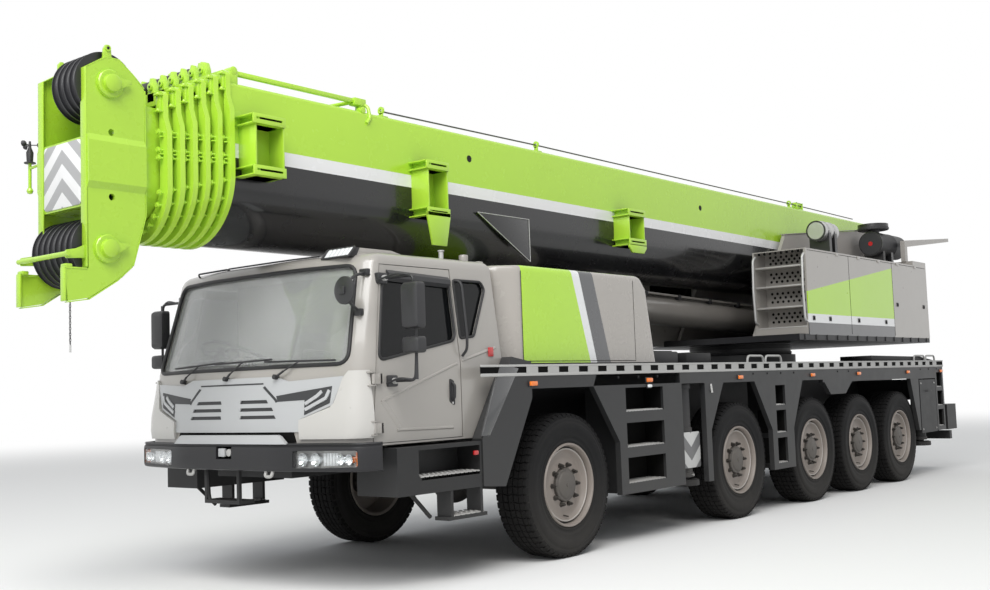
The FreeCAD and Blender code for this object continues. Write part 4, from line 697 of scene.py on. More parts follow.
def rim_parts(node, outwards):
    """A rim's parts about the origin, facing +Y, then set at its place."""
    dish = [
        (0.178, 0.383), (0.184, 0.378), (0.182, 0.366), (0.168, 0.358), (0.140, 0.354), (0.104, 0.352),
        (0.098, 0.346), (0.100, 0.336), (0.130, 0.332), (0.138, 0.326), (0.134, 0.318), (0.104, 0.308),
        (0.094, 0.290), (0.104, 0.240), (0.112, 0.222), (0.112, 0.160)]
    back = [
        (0.060, 0.160), (0.050, 0.290), (0.060, 0.330), (-0.120, 0.345), (-0.172, 0.352),
        (-0.182, 0.370), (-0.182, 0.380), (-0.176, 0.384)]
    hub = [
        (0.050, 0.155), (0.134, 0.153), (0.140, 0.147), (0.142, 0.128), (0.150, 0.122), (0.157, 0.112),
        (0.158, 0.060), (0.160, 0.052), (0.160, 0.0)]
    centre = Vector((0, 0, 0))
    parts = [
        lathe("y", centre, dish + back, rim_paint, steps=72, smooth_below=50, hoop=True),
        lathe("y", centre, hub, hub_paint, steps=48),
        lathe(
            "y", centre, [(-0.06, 0.0), (-0.06, 0.160), (0.06, 0.158), (0.06, 0.0)], hub_paint, steps=32),
        ring(
            bolt(0.0165, 0.038, nut_steel), nut_steel, wheel_nuts, nut_circle, "y",
            Vector((0, 0.112, 0))),
        ring(
            lathe("z", centre, [(0, 0.011), (0.052, 0.010), (0.054, 0.0)], nut_steel, steps=8),
            nut_steel, wheel_nuts, nut_circle, "y", Vector((0, 0.112, 0))),
        ring(bolt(0.008, 0.009, nut_steel), hub_paint, cap_screws, 0.136, "y", Vector((0, 0.133, 0))),
        rod((0.0, 0.095, -0.282), (0.0, 0.150, -0.290), 0.007, nut_steel),
        lathe("y", centre, [(0.157, 0.024), (0.166, 0.022), (0.166, 0.0)], hub_paint, steps=8)]
    parts.append(lathe(
        "y", centre, [(0.098, 0.3535), (0.113, 0.3535), (0.113, 0.337), (0.098, 0.337)], black_steel,
        steps=72, hoop=True))
    parts.append(lathe(
        "y", centre, [(0.134, 0.337), (0.142, 0.334), (0.142, 0.325), (0.134, 0.321)], lip_paint,
        steps=72, hoop=True))
    turn = Matrix.Identity(4) if outwards > 0 else Matrix.Rotation(math.pi, 4, "Z")
    return [placed(part, Matrix.Translation(middle(node)) @ turn) for part in parts]


for number in range(1, 6):
    for side, outwards in (("left", 1), ("right", -1)):
        assemble(
            f"dished_rim_{number}_{side}", f"wheel_{number}_{side}",
            rim_parts(f"tyre_{number}_{side}", outwards), replaces=[f"rim_{number}_{side}"])


# The axles and steering knuckles
# Cast beams with round differential housings, black under the road dirt,
# with brake chambers, springs and the track rods of the steered pair.
axle_steel = painted(
    "axle_steel", (0.012, 0.012, 0.012, 1), 0.55, dust_amount=0.25, dust_height=1.3, mottle=0.3)
dress(axle_steel, "axles", "knuckle_1_left", "knuckle_1_right", "knuckle_2_left", "knuckle_2_right")
axle_places = [middle(f"tyre_{number}_left").x for number in range(1, 6)]
axle_high = tyre_radius


def axle_fittings(forward):
    """A diff cover, and a brake chamber and a suspension strut on each side."""
    low = Vector((forward, 0, axle_high))
    cover = lathe(
        "x", low, [(-0.235, 0.0), (-0.235, 0.110), (-0.205, 0.150), (-0.150, 0.165)], axle_steel,
        steps=24)
    chamber = lathe(
        "x", (forward - 0.19, 0.70, axle_high + 0.10),
        [
            (-0.13, 0.0), (-0.13, 0.07), (-0.10, 0.085), (-0.01, 0.085), (0.0, 0.095), (0.012, 0.095),
            (0.02, 0.085), (0.10, 0.075), (0.12, 0.03), (0.18, 0.02), (0.18, 0)], black_steel, steps=20)
    strut = lathe(
        "z", (forward, 0.40, 0),
        [
            (0.70, 0.0), (0.70, 0.085), (0.745, 0.085), (0.75, 0.074), (0.84, 0.074), (0.845, 0.095),
            (0.90, 0.095), (0.90, 0.0)], black_steel, steps=24)
    return [cover] + both_sides([chamber, strut])


fittings = []
for forward in axle_places:
    fittings += axle_fittings(forward)
for forward in axle_places[:2]:
    fittings.append(rod(
        (forward - 0.30, -0.90, axle_high - 0.06), (forward - 0.30, 0.90, axle_high - 0.06), 0.024,
        black_steel))
shaft_ends = zip(axle_places, axle_places[1:])
fittings += [
    rod((front - 0.23, 0, axle_high), (rear + 0.20, 0, axle_high), 0.05, black_steel)
    for front, rear in shaft_ends]
assemble("axle_fittings", "chassis", fittings)


# The deck and its side skirts
# A flat steel deck with tread plate on top, a slotted grey rail bolted along each
# edge, marker lamps on the skirts and grab loops where the ladders come up.
rail_grey = (0.42, 0.42, 0.41, 1)
deck_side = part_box("deck_and_skirts")[1].y
deck_front, deck_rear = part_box("deck_and_skirts")[1].x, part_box("deck_and_skirts")[0].x
deck_high = 1.770
slot_pitch, slot_length, first_slot, slot_count = 0.3138, 0.152, 4.061, 33
amber_places = (4.142, 2.218, 0.267, -1.678, -3.163, -5.028, -6.482)
rail_paint = painted("rail_paint", rail_grey, 0.45, mottle=0.12, dust_amount=0.4, dust_height=2.4)
galvanised = painted(
    "galvanised", (0.50, 0.50, 0.49, 1), 0.42, metallic=0.35, mottle=0.25, dust_amount=0.5,
    dust_height=2.0)
trim_black = painted(
    "trim_black", (0.018, 0.018, 0.020, 1), 0.55, dust_amount=0.3, grain_scale=180, grain_depth=0.25)
# Near-black, mostly painted shade in holes, slots and recesses; it also colours shut lines and some pipes.
recess_black = painted("recess_black", (0.004, 0.004, 0.004, 1), 0.8, gloss=0.08, dust_amount=0.03)


def lens(name, colour, glow=0.0):
    """Moulded lamp plastic, clear enough to look deep."""
    made, tree, shader = material(name)
    shader.inputs["Base Color"].default_value = colour
    shader.inputs["Roughness"].default_value = 0.12
    shader.inputs["Coat Weight"].default_value = 0.6
    ribs = tree.nodes.new("ShaderNodeTexWave")
    ribs.inputs["Scale"].default_value = 55
    place = tree.nodes.new("ShaderNodeTexCoord")
    bump = tree.nodes.new("ShaderNodeBump")
    bump.inputs["Distance"].default_value = 0.001
    bump.inputs["Strength"].default_value = 0.5
    link_chain(
        tree,
        [
            (place.outputs["Object"], ribs.inputs["Vector"]),
            (ribs.outputs["Fac"], bump.inputs["Height"]), (bump.outputs[0], shader.inputs["Normal"])])
    shader.inputs["Emission Color"].default_value = colour
    shader.inputs["Emission Strength"].default_value = glow
    return made


amber_lens = lens("amber_lens", (0.75, 0.17, 0.01, 1), 0.15)
# Red lens plastic for reflectors, a tag and the cleaner's end, which are no lamps; its faint glow is a
# painted glow.
glowing_red_lens = lens("glowing_red_lens", (0.45, 0.01, 0.01, 1), 0.1)
white_lens = lens("white_lens", (0.75, 0.77, 0.78, 1), 0.1)


def tread_plate(tree):
    """Raised bars on upward faces, in two directions, as a height."""
    place = tree.nodes.new("ShaderNodeTexCoord").outputs["Object"]
    heights = []
    for angle in (math.radians(45), math.radians(-45)):
        turned = tree.nodes.new("ShaderNodeMapping")
        turned.inputs["Rotation"].default_value = (0, 0, angle)
        turned.inputs["Scale"].default_value = (1, 0.35, 0)
        cells = tree.nodes.new("ShaderNodeTexVoronoi")
        cells.inputs["Scale"].default_value = 30
        cells.inputs["Randomness"].default_value = 0
        link_chain(
            tree, [(place, turned.inputs["Vector"]), (turned.outputs["Vector"], cells.inputs["Vector"])])
        heights.append(math_node(tree, "LESS_THAN", cells.outputs["Distance"], 0.24))
    return math_node(tree, "MAXIMUM", heights[0], heights[1])


def plated(name, colour, **worn):
    """Painted tread plate: smooth on its sides, with raised bars where it faces up."""
    made = painted(name, colour, 0.45, **worn)
    tree = made.node_tree
    shader = tree.nodes["Principled BSDF"]
    facing = tree.nodes.new("ShaderNodeSeparateXYZ")
    tree.links.new(tree.nodes.new("ShaderNodeNewGeometry").outputs["Normal"], facing.inputs[0])
    level_face = math_node(tree, "GREATER_THAN", facing.outputs["Z"], 0.9)
    bump = tree.nodes.new("ShaderNodeBump")
    bump.inputs["Distance"].default_value = 0.004
    link_chain(
        tree,
        [
            (math_node(tree, "MULTIPLY", tread_plate(tree), level_face), bump.inputs["Height"]),
            (shader.inputs["Normal"].links[0].from_socket, bump.inputs["Normal"]),
            (bump.outputs[0], shader.inputs["Normal"])])
    return made


deck_paint = plated("deck_paint", dark_paint, dust_amount=0.08, dust_height=1.5)
dress(deck_paint, "deck_and_skirts")


def edge_rail():
    """Two long bars with a short post between each pair of slots."""
    face = (deck_side - 0.002, deck_side + 0.008)
    bars = [
        slab((deck_rear, face[0], low), (deck_front, face[1], high), rail_paint, 0.003)
        for low, high in ((1.668, 1.696), (1.750, 1.770))]
    width = slot_pitch - slot_length
    post = slab((0, face[0], 1.694), (-width, face[1] - 0.001, 1.752), rail_paint, 0.0015)
    posts = row(post, rail_paint, slot_count + 1, (first_slot + width, 0, 0), (-slot_pitch, 0, 0))
    # A near-black strip behind the posts is painted shade seen through the slots.
    backing = slab(
        (deck_rear, deck_side - 0.003, 1.690), (deck_front, deck_side + 0.001, 1.755), recess_black, 0)
    return bars + [posts, backing]


def marker(forward, high, paint, half=0.052, tall=0.021):
    """A lamp of rounded lens on a black base, proud of the skirt."""
    base = slab(
        (forward - half - 0.008, deck_side - 0.004, high - tall - 0.007),
        (forward + half + 0.008, deck_side + 0.010, high + tall + 0.007), trim_black, 0.004)
    glass = slab(
        (forward - half, deck_side, high - tall), (forward + half, deck_side + 0.026, high + tall),
        paint, 0.010)
    return [base, glass]


def grab_loop(front, rear, foot, top, side):
    return tube(
        [(front, side, foot), (front - 0.02, side, top), (rear + 0.02, side, top), (rear, side, foot)],
        0.014, rail_paint, 0.05)


edge = edge_rail()
for forward in amber_places:
    edge += marker(forward, 1.600, amber_lens)
edge += marker(2.218, 1.540, white_lens, 0.035, 0.016)
edge += [
    grab_loop(front, rear, deck_high - 0.05, deck_high + 0.075, deck_side - 0.055)
    for front, rear in ((-0.04, -0.46), (-0.50, -0.94), (-5.48, -5.95), (-5.99, -6.40))]
edge.append(prism(
    "y", [(-3.88, 1.768), (-3.88, 1.850), (-5.85, 1.832), (-6.50, 1.768)], (0.95, 1.42), black_steel,
    0.008))
assemble("deck_edges", "chassis", both_sides(edge))

skirt_bolts = []
for start, count in ((-0.15, 4), (-2.2, 3), (-5.3, 3), (3.05, 3)):
    skirt_bolts.append(placed(
        row(bolt(0.010, 0.008, black_steel), black_steel, count, (0, 0, 0), (0.36, 0, 0)),
        Matrix.Translation((start - 1.0, deck_side, 1.635)) @ Matrix.Rotation(math.radians(-90), 4, "X")))
latch = rod((0.943, deck_side, 1.535), (0.943, deck_side + 0.012, 1.440), 0.012, galvanised)
assemble("skirt_fastenings", "chassis", both_sides(skirt_bolts + [latch]))


# The side steps and ladders
# Folded steel boxes let in behind the skirts, each opening with a perforated,
# toothed tread of light galvanised sheet; hanging steps below on flat straps.
step_openings = {
    "step": ((1.950, 2.650), ((0.595, 0.845), (0.945, 1.185), (1.295, 1.530))),
    "rung": ((-0.880, -0.620), ((0.560, 0.860), (0.920, 1.190), (1.250, 1.490))),
    "tail": ((-6.520, -6.280), ((0.740, 1.000), (1.060, 1.290), (1.350, 1.580)))}
apron_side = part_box("steps_and_boxes")[1].y
dress(chassis_paint, "steps_and_boxes")


def tread(rear, front, low, side, depth=0.235, pitch=0.05):
    """A tread with a folded front lip and a row of raised holes along it."""
    count = max(int((front - rear) / pitch) - 1, 2)
    step = (front - rear - 0.04) / count
    lip = slab(
        (rear + 0.004, side - 0.014, low - 0.026), (front - 0.004, side + 0.004, low + 0.010),
        galvanised, 0.004)
    top = slab(
        (rear + 0.004, side - depth, low + 0.002), (front - 0.004, side, low + 0.012), galvanised, 0.003)
    hole = lathe(
        "z", (0, 0, 0), [(0, 0.019), (0.005, 0.015), (0.005, 0.011), (0.001, 0.010)], galvanised,
        steps=12)
    # Near-black discs in the raised holes are painted shade seen through them.
    dark = lathe("z", (0, 0, 0), [(0.001, 0.0105), (0.0022, 0.0)], recess_black, steps=12)
    parts = [lip, top]
    for across_by in (0.045, 0.105, 0.165):
        start = (rear + 0.02 + step / 2, side - across_by, low + 0.011)
        parts.append(row(hole, galvanised, count, start, (step, 0, 0)))
        parts.append(row(dark, recess_black, count, start, (step, 0, 0)))
    # Near-black strips on the lip's face are painted shade in the notches between its teeth.
    tooth = slab(
        (-0.007, side + 0.003, low - 0.018), (0.007, side + 0.0055, low + 0.003), recess_black, 0)
    parts.append(row(tooth, recess_black, count, (rear + 0.02 + step / 2, 0, 0), (step, 0, 0)))
    return parts


treads = []
for (rear, front), heights in step_openings.values():
    for low, high in heights:
        treads += tread(rear, front, low, deck_side - 0.012)
        # Near-black sheets on the back, sides and top of each opening are painted shade inside the step box.
        back = deck_side - 0.238
        treads += [
            slab((rear, back, low), (front, back + 0.004, high), recess_black, 0),
            slab((rear, back, low), (rear + 0.003, deck_side - 0.03, high), recess_black, 0),
            slab((front - 0.003, back, low), (front, deck_side - 0.03, high), recess_black, 0),
            slab((rear, back, high - 0.003), (front, deck_side - 0.03, high), recess_black, 0)]
treads += tread(4.880, 5.600, 0.890, apron_side - 0.004)
treads += [
    ring(bolt(0.011, 0.009, galvanised), galvanised, 1, 0, "y", Vector((forward, apron_side, 0.825)))
    for forward in (5.585, 4.935)]
treads += tread(4.830, 5.250, 0.550, apron_side - 0.012, 0.130, 0.055)
strap = [(5.66, apron_side - 0.10, 0.80), (5.40, apron_side - 0.10, 0.56)]
treads.append(tube(strap, 0.017, black_steel))
reflector = slab(
    (4.905, apron_side - 0.004, 1.025), (4.965, apron_side + 0.014, 1.062), glowing_red_lens, 0.008)
assemble("treads", "chassis", both_sides(treads + [reflector]))

# The front edge of each fender
# A strip of glossier paint, made paler as a painted highlight, down the slope that turns towards the front,
# with a seam.
# The strip's paler colour is a painted highlight over the chassis paint.
fender_highlight = painted("fender_highlight", (0.050, 0.051, 0.053, 1), 0.18, coat=0.8, dust_amount=0.05)
strip = [(4.862, 1.175), (4.752, 1.175), (4.335, 1.735), (4.470, 1.762), (4.590, 1.762)]
fender_edges = [prism("y", strip, (deck_side - 0.020, deck_side + 0.004), fender_highlight, 0.003)]

# Loose gear on the deck
# Tool boxes, an air tank and bent steel pipes between the enclosure and the turntable.
gear = [
    slab((1.10, 0.62, 1.768), (1.62, 1.20, 1.905), trim_black, 0.015),
    slab((1.16, 0.66, 1.903), (1.56, 1.16, 1.915), trim_black, 0.005),
    lathe(
        "x", (0, 0.30, 1.90),
        [(0.70, 0), (0.70, 0.08), (0.74, 0.12), (1.50, 0.12), (1.54, 0.08), (1.54, 0)], black_steel, 32),
    slab((0.40, 0.75, 1.768), (0.95, 1.22, 1.890), black_steel, 0.012),
    row(
        slab((-0.006, 0.76, 1.888), (0.006, 1.21, 1.896), recess_black, 0), recess_black, 7,
        (0.48, 0, 0), (0.065, 0, 0))]
gear += [
    tube(
        [
            (1.80, side, 1.95), (1.55, side, 1.80), (0.80, side + 0.03, 1.790),
            (0.10, side - 0.10, 1.790)], 0.020, recess_black, 0.10) for side in (0.48, 0.54, 0.60)]
gear += [
    ring(bolt(0.012, 0.010, galvanised), galvanised, 1, 0, "y", Vector((forward, 1.20, 1.84)))
    for forward in (1.16, 1.56)]
assemble("deck_gear", "chassis", both_sides(fender_edges + gear))


# The cab's shell
# Pressed steel panels welded into one shell, sprayed warm grey and lacquered. Its
# corners are rolled, a crease runs round at the waist, and proud panels of the same
# grey wrap the lower corners, painted paler as a highlight. Black rubber holds the screen and windows.
cab_colour = (0.330, 0.312, 0.288, 1)
# The corner panels are the cab's grey made paler: a painted highlight.
corner_highlight_colour = (0.49, 0.478, 0.454, 1)
cab_paint = painted(
    "cab_paint", cab_colour, 0.30, coat=0.6, mottle=0.04, dust_amount=0.12, dust_height=1.9,
    grain_depth=0.03)
corner_highlight_paint = painted(
    "corner_highlight_paint", corner_highlight_colour, 0.28, coat=0.6, mottle=0.03, dust_amount=0.10, dust_height=1.9,
    grain_depth=0.03)
seal_rubber = painted("seal_rubber", (0.010, 0.010, 0.011, 1), 0.55, dust_amount=0.1, grain_depth=0.1)
# Height, then rear, side, half width, corner, its half width, front, its half width
cab_rows = (
    (1.160, 4.390, 6.030, 1.375, 6.150, 1.290, 6.280, 0.600),
    (1.790, 4.390, 5.960, 1.375, 6.090, 1.290, 6.250, 0.600),
    (2.600, 4.392, 5.826, 1.274, 5.880, 1.194, 6.020, 0.600),
    (2.640, 4.396, 5.810, 1.262, 5.862, 1.182, 6.002, 0.598),
    (2.672, 4.412, 5.778, 1.236, 5.830, 1.156, 5.965, 0.590),
    (2.690, 4.432, 5.730, 1.200, 5.780, 1.120, 5.910, 0.575),
    (2.696, 4.455, 5.680, 1.160, 5.730, 1.080, 5.860, 0.560))
waist_high = 1.790
door_rear_edge, door_low_edge, door_high_edge = 4.962, 1.181, 2.584


def rows_between(rows, height):
    """The sizes at a height, from a table that gives them level by level."""
    height = min(max(height, rows[0][0]), rows[-1][0])
    for low, high in zip(rows, rows[1:]):
        if height <= high[0]:
            share = (height - low[0]) / (high[0] - low[0])
            return [a + (b - a) * share for a, b in zip(low[1:], high[1:])]


def eased(outline, times=2):
    """A closed outline with its corners cut round."""
    for _ in range(times):
        outline = [
            (a[0] * s + b[0] * (1 - s), a[1] * s + b[1] * (1 - s))
            for a, b in zip(outline, outline[1:] + outline[:1]) for s in (0.75, 0.25)]
    return outline


def cab_ring(height, inset=0.0):
    """The cab's plan at a height, drawn in by an inset."""
    rear, side, half, corner, corner_half, front, front_half = rows_between(cab_rows, height)
    rear, half, side = rear + inset, half - inset, side - inset / 2
    corner, corner_half, front = corner - inset, corner_half - inset, front - inset
    left = [
        (rear, half - 0.05), (rear, half), (rear + 0.05, half), (side - 0.10, half), (side, half),
        (corner, corner_half),
        (corner + (front - corner) * 0.3, corner_half + (front_half - corner_half) * 0.3),
        (front - 0.01, front_half), (front, front_half * 0.4)]
    return eased(left + [(forward, -out) for forward, out in left[::-1]])


def crossing(outline, axis, value, beyond):
    """The furthest place on an outline where one coordinate has a value."""
    found = []
    for a, b in zip(outline, outline[1:] + outline[:1]):
        if (a[axis] - value) * (b[axis] - value) <= 0 and a[axis] != b[axis]:
            share = (value - a[axis]) / (b[axis] - a[axis])
            found.append(a[1 - axis] + (b[1 - axis] - a[1 - axis]) * share)
    return max(found, default=beyond)


def cab_front(out, height, inset=0.0):
    return crossing(cab_ring(height, inset), 1, out, 6.0)


def cab_side(forward, height, inset=0.0):
    return crossing(cab_ring(height, inset), 0, forward, 1.3)


def loft(rings, paint, smooth_below=30):
    """A closed skin through rings of the same count."""
    bm = bmesh.new()
    skins = [[bm.verts.new(point) for point in ring_points] for ring_points in rings]
    for first, second in zip(skins, skins[1:]):
        for k in range(len(first)):
            after = (k + 1) % len(first)
            bm.faces.new((first[k], first[after], second[after], second[k]))
    bm.faces.new(skins[0])
    bm.faces.new(skins[-1])
    return mesh_of(bm, paint, smooth_below)


def cab_loft(inset, heights, paint):
    return loft(
        [[(forward, out, height) for forward, out in cab_ring(height, inset)] for height in heights],
        paint)


def carved(body, cutters, paint, operation="DIFFERENCE", smooth_below=30):
    """A mesh less others, or what it shares with one."""
    host = bpy.data.objects.new("host", body)
    tools = [bpy.data.objects.new("tool", cutter) for cutter in cutters]
    for made in [host] + tools:
        bpy.context.scene.collection.objects.link(made)
    for tool in tools:
        step = host.modifiers.new("Cut", "BOOLEAN")
        step.operation = operation
        step.object = tool
        step.solver = "EXACT"
    bpy.context.view_layer.update()
    mesh = bpy.data.meshes.new_from_object(host.evaluated_get(bpy.context.evaluated_depsgraph_get()))
    for made in [host] + tools:
        bpy.data.objects.remove(made)
    bm = bmesh.new()
    bm.from_mesh(mesh)
    for face in bm.faces:
        face.material_index = 0
    bmesh.ops.remove_doubles(bm, verts=bm.verts, dist=0.00005)
    return mesh_of(bm, paint, smooth_below)


def round_corners(outline, radius, steps=5):
    """An outline whose corners are arcs of about a radius."""
    points = []
    count = len(outline)
    for k in range(count):
        before, here, after = (Vector(outline[(k + n) % count]) for n in (-1, 0, 1))
        reach = min(radius, (here - before).length / 2.2, (after - here).length / 2.2)
        start = here + (before - here).normalized() * reach
        end = here + (after - here).normalized() * reach
        for n in range(steps + 1):
            t = n / steps
            point = start.lerp(here, t).lerp(here.lerp(end, t), t)
            points.append((point.x, point.y))
    return points


screen_outline = round_corners([(-1.225, 1.800), (1.225, 1.800), (1.135, 2.585), (-1.135, 2.585)], 0.10)
pane_outline = round_corners([(5.915, 1.815), (5.765, 2.500), (4.985, 2.500), (4.985, 1.985)], 0.075)
quarter_outline = round_corners(
    [(4.925, 2.000), (4.925, 2.500), (4.560, 2.500), (4.520, 2.435), (4.740, 2.020)], 0.03)
back_outline = round_corners([(-0.80, 2.00), (0.80, 2.00), (0.80, 2.45), (-0.80, 2.45)], 0.06)
door_outline = [(6.000, 1.175), (5.945, waist_high), (5.790, 2.590), (4.950, 2.590), (4.950, 1.175)]
leaf_outline = [
    (5.994, door_low_edge), (5.939, waist_high), (5.784, door_high_edge),
    (door_rear_edge, door_high_edge), (door_rear_edge, door_low_edge)]
inner_heights = (1.225, 1.790, 2.600, 2.635)
outer_heights = tuple(values[0] for values in cab_rows)


def side_cutter(outline, sides=(1.0, 1.6)):
    return both_sides([prism("y", outline, sides, cab_paint, 0)])


cab_body = carved(
    cab_loft(0.0, outer_heights, cab_paint), [cab_loft(0.06, inner_heights, cab_paint)], cab_paint)
door_above_sill = [(forward, max(height, 1.228)) for forward, height in door_outline]
door_sill = [(6.0, 1.175), (6.0, 1.235), (4.95, 1.235), (4.95, 1.175)]
cab_body = carved(
    cab_body,
    [
        prism("x", screen_outline, (5.4, 6.5), cab_paint, 0),
        prism("x", back_outline, (4.2, 4.6), cab_paint, 0)
    ] + side_cutter(door_above_sill) + side_cutter(door_sill, (1.318, 1.6)) + side_cutter(quarter_outline),
    cab_paint)


def corner_panel():
    """The proud panel round a lower front corner, painted paler as a highlight."""
    outline = [
        (1.50, 1.745), (1.245, 1.745), (1.200, 1.690), (1.140, 1.500), (1.110, 1.470), (0.815, 1.375),
        (0.815, 1.225), (1.50, 1.225)]
    heights = (1.19, 1.30, 1.42, 1.50, 1.62, 1.76)
    proud = (-0.016, -0.034, -0.036, -0.030, -0.020, -0.014)
    skin = loft(
        [
            [(forward, out, height) for forward, out in cab_ring(height, inset)]
            for height, inset in zip(heights, proud)], corner_highlight_paint)
    keep = carved(skin, [prism("x", outline, (6.008, 6.6), corner_highlight_paint, 0)], corner_highlight_paint, "INTERSECT")
    return carved(keep, [cab_loft(0.004, (1.15, 1.40, 1.79, 2.2), corner_highlight_paint)], corner_highlight_paint)


def on_surface(outline, inset, at_front):
    """An outline's points laid on the cab's skin."""
    if at_front:
        return [(cab_front(out, height, inset), out, height) for out, height in outline]
    return [(forward, cab_side(forward, height, inset), height) for forward, height in outline]


def closed_tube(points, radius, paint, steps=8):
    """A tube along a closed line."""
    points = [Vector(point) for point in points]
    count = len(points)
    bm = bmesh.new()
    rings = []
    side = None
    for k, point in enumerate(points):
        heading = (points[(k + 1) % count] - points[k - 1]).normalized()
        if side is None:
            side = heading.orthogonal().normalized()
        side = (side - heading * side.dot(heading)).normalized()
        other = heading.cross(side)
        rings.append([
            bm.verts.new(point + radius * (
                side * math.cos(2 * math.pi * n / steps) + other * math.sin(2 * math.pi * n / steps)))
            for n in range(steps)])
    first = rings[0]
    for here, after in zip(rings, rings[1:]):
        for n in range(steps):
            bm.faces.new((here[n], here[(n + 1) % steps], after[(n + 1) % steps], after[n]))
    last = rings[-1]
    shift = min(range(steps), key=lambda s: (last[0].co - first[s].co).length)
    for n in range(steps):
        bm.faces.new(
            (last[n], last[(n + 1) % steps], first[(n + 1 + shift) % steps], first[(n + shift) % steps]))
    return mesh_of(bm, paint, 60)


def divided(outline, longest=0.06):
    """An outline with extra points on its long runs."""
    points = []
    for a, b in zip(outline, outline[1:] + outline[:1]):
        a, b = Vector(a), Vector(b)
        count = max(1, math.ceil((b - a).length / longest))
        points += [tuple(a.lerp(b, n / count)) for n in range(count)]
    return points


def seal(outline, at_front, radius=0.015, inset=0.0):
    return closed_tube(on_surface(divided(outline), inset, at_front), radius, seal_rubber)


roof_ribs = [
    slab((4.62, side - 0.03, 2.690), (5.55, side + 0.03, 2.702), cab_paint, 0.006)
    for side in (-0.72, -0.36, 0.0, 0.36)]
hinge_parts = []
for low in (1.250, 1.630):
    hinge_parts.append(rod((6.0, 1.397, low), (6.0, 1.397, low + 0.090), 0.008, trim_black))
    for foot in (low - 0.012, low + 0.090):
        hinge_parts.append(slab((5.986, 1.345, foot), (6.036, 1.411, foot + 0.012), cab_paint, 0.004))
shell_parts = [cab_body, seal(screen_outline, True, 0.017), *roof_ribs]
corner_parts = both_sides([corner_panel(), seal(quarter_outline, False, 0.012)] + hinge_parts)
back_ring = [(4.392, out, height) for out, height in divided(back_outline)]
shell_parts += [
    closed_tube(back_ring, 0.014, seal_rubber),
    rod((4.72, 0.98, 2.68), (4.72, 0.98, 2.790), 0.022, galvanised),
    rod((4.72, 0.98, 2.790), (4.72, 0.98, 2.800), 0.030, galvanised),
    rod((4.50, 1.05, 2.68), (4.50, 1.05, 2.765), 0.042, cab_paint, 20, 0.004),
    slab((4.40, -1.20, 2.655), (4.47, 1.20, 2.700), cab_paint, 0.012)]
tag = slab((4.520, 1.374, 1.845), (4.590, 1.380, 1.925), glowing_red_lens, 0.003)
assemble("cab_body", "chassis", shell_parts + corner_parts + [tag], replaces=["cab_shell"])


# The cab's glass
# A bonded, faintly green laminated screen, and tinted side and rear panes.
def pane_glass(name, tint, clear, through=1.0, gloss=0.5):
    """Thin tinted glass that lets light through and mirrors the sky."""
    made, tree, shader = material(name)
    shader.inputs["Base Color"].default_value = tint
    shader.inputs["Roughness"].default_value = 0.02
    shader.inputs["IOR"].default_value = 1.45
    shader.inputs["Transmission Weight"].default_value = through
    shader.inputs["Specular IOR Level"].default_value = gloss
    shader.inputs["Alpha"].default_value = clear
    place = tree.nodes.new("ShaderNodeTexCoord")
    bump = tree.nodes.new("ShaderNodeBump")
    bump.inputs["Distance"].default_value = 0.002
    bump.inputs["Strength"].default_value = 0.08
    link_chain(
        tree,
        [
            (noise(tree, place.outputs["Object"], 1.3), bump.inputs["Height"]),
            (bump.outputs[0], shader.inputs["Normal"])])
    return made


screen_glass = pane_glass("screen_glass", (0.86, 0.89, 0.88, 1), 0.60, 0.76, 0.9)
dark_glass = pane_glass("dark_glass", (0.010, 0.011, 0.012, 1), 0.98, 0.5, 0.12)


def cab_pane(outline, axis, ends, paint, inner=0.020):
    """A piece of the cab's skin, a little inside its face, as thin glass."""
    skin = cab_loft(inner, (1.70, 1.79, 1.95, 2.10, 2.25, 2.40, 2.60, 2.62), paint)
    skin = carved(skin, [prism(axis, outline, ends, paint, 0)], paint, "INTERSECT")
    return carved(
        skin, [cab_loft(inner + 0.006, (1.60, 1.79, 1.95, 2.10, 2.25, 2.40, 2.60, 2.63), paint)], paint,
        smooth_below=60)


glass_parts = [cab_pane(screen_outline, "x", (5.5, 6.5), screen_glass)]
glass_parts += both_sides([cab_pane(quarter_outline, "y", (1.0, 1.6), dark_glass)])
glass_parts.append(prism("x", back_outline, (4.410, 4.416), dark_glass, 0))
assemble("cab_windows", "chassis", glass_parts, replaces=["cab_glass"])


# The cab doors
# Pressed leaves with a crease that rises to the rear and a stamped corner, a dark
# pane in black rubber, a pull handle, and mirrors on bent tubes.
mirror_black = painted(
    "mirror_black", (0.024, 0.024, 0.026, 1), 0.42, dust_amount=0.12, grain_scale=220, grain_depth=0.2)
silver_glass = painted(
    "silver_glass", (0.75, 0.77, 0.78, 1), 0.04, metallic=1.0, dust_amount=0.05, grain_depth=0.0)


def side_ribbon(points, width, proud, paint, inset=0.0):
    """A raised strip that follows points on the cab's side."""
    points = [Vector(point) for point in points]
    edges = []
    for k, here in enumerate(points):
        heading = (points[min(k + 1, len(points) - 1)] - points[max(k - 1, 0)]).normalized()
        normal = Vector((-heading.y, heading.x)) * width / 2
        edges.append((here + normal, here - normal))
    bm = bmesh.new()
    rows_made = []
    for over, under in edges:
        cross = []
        for point, out in (
            (over, -0.002), (over.lerp(under, 0.3), proud), (over.lerp(under, 0.7), proud),
            (under, -0.002)):
            cross.append(bm.verts.new((point.x, cab_side(point.x, point.y, inset) + out, point.y)))
        rows_made.append(cross)
    for first, second in zip(rows_made, rows_made[1:]):
        for n in range(3):
            bm.faces.new((first[n], first[n + 1], second[n + 1], second[n]))
        bm.faces.new((first[3], first[0], second[0], second[3]))
    bm.faces.new(rows_made[0])
    bm.faces.new(rows_made[-1])
    return mesh_of(bm, paint, 40)


def line(start, end, count):
    return [tuple(Vector(start).lerp(Vector(end), n / count)) for n in range(count + 1)]


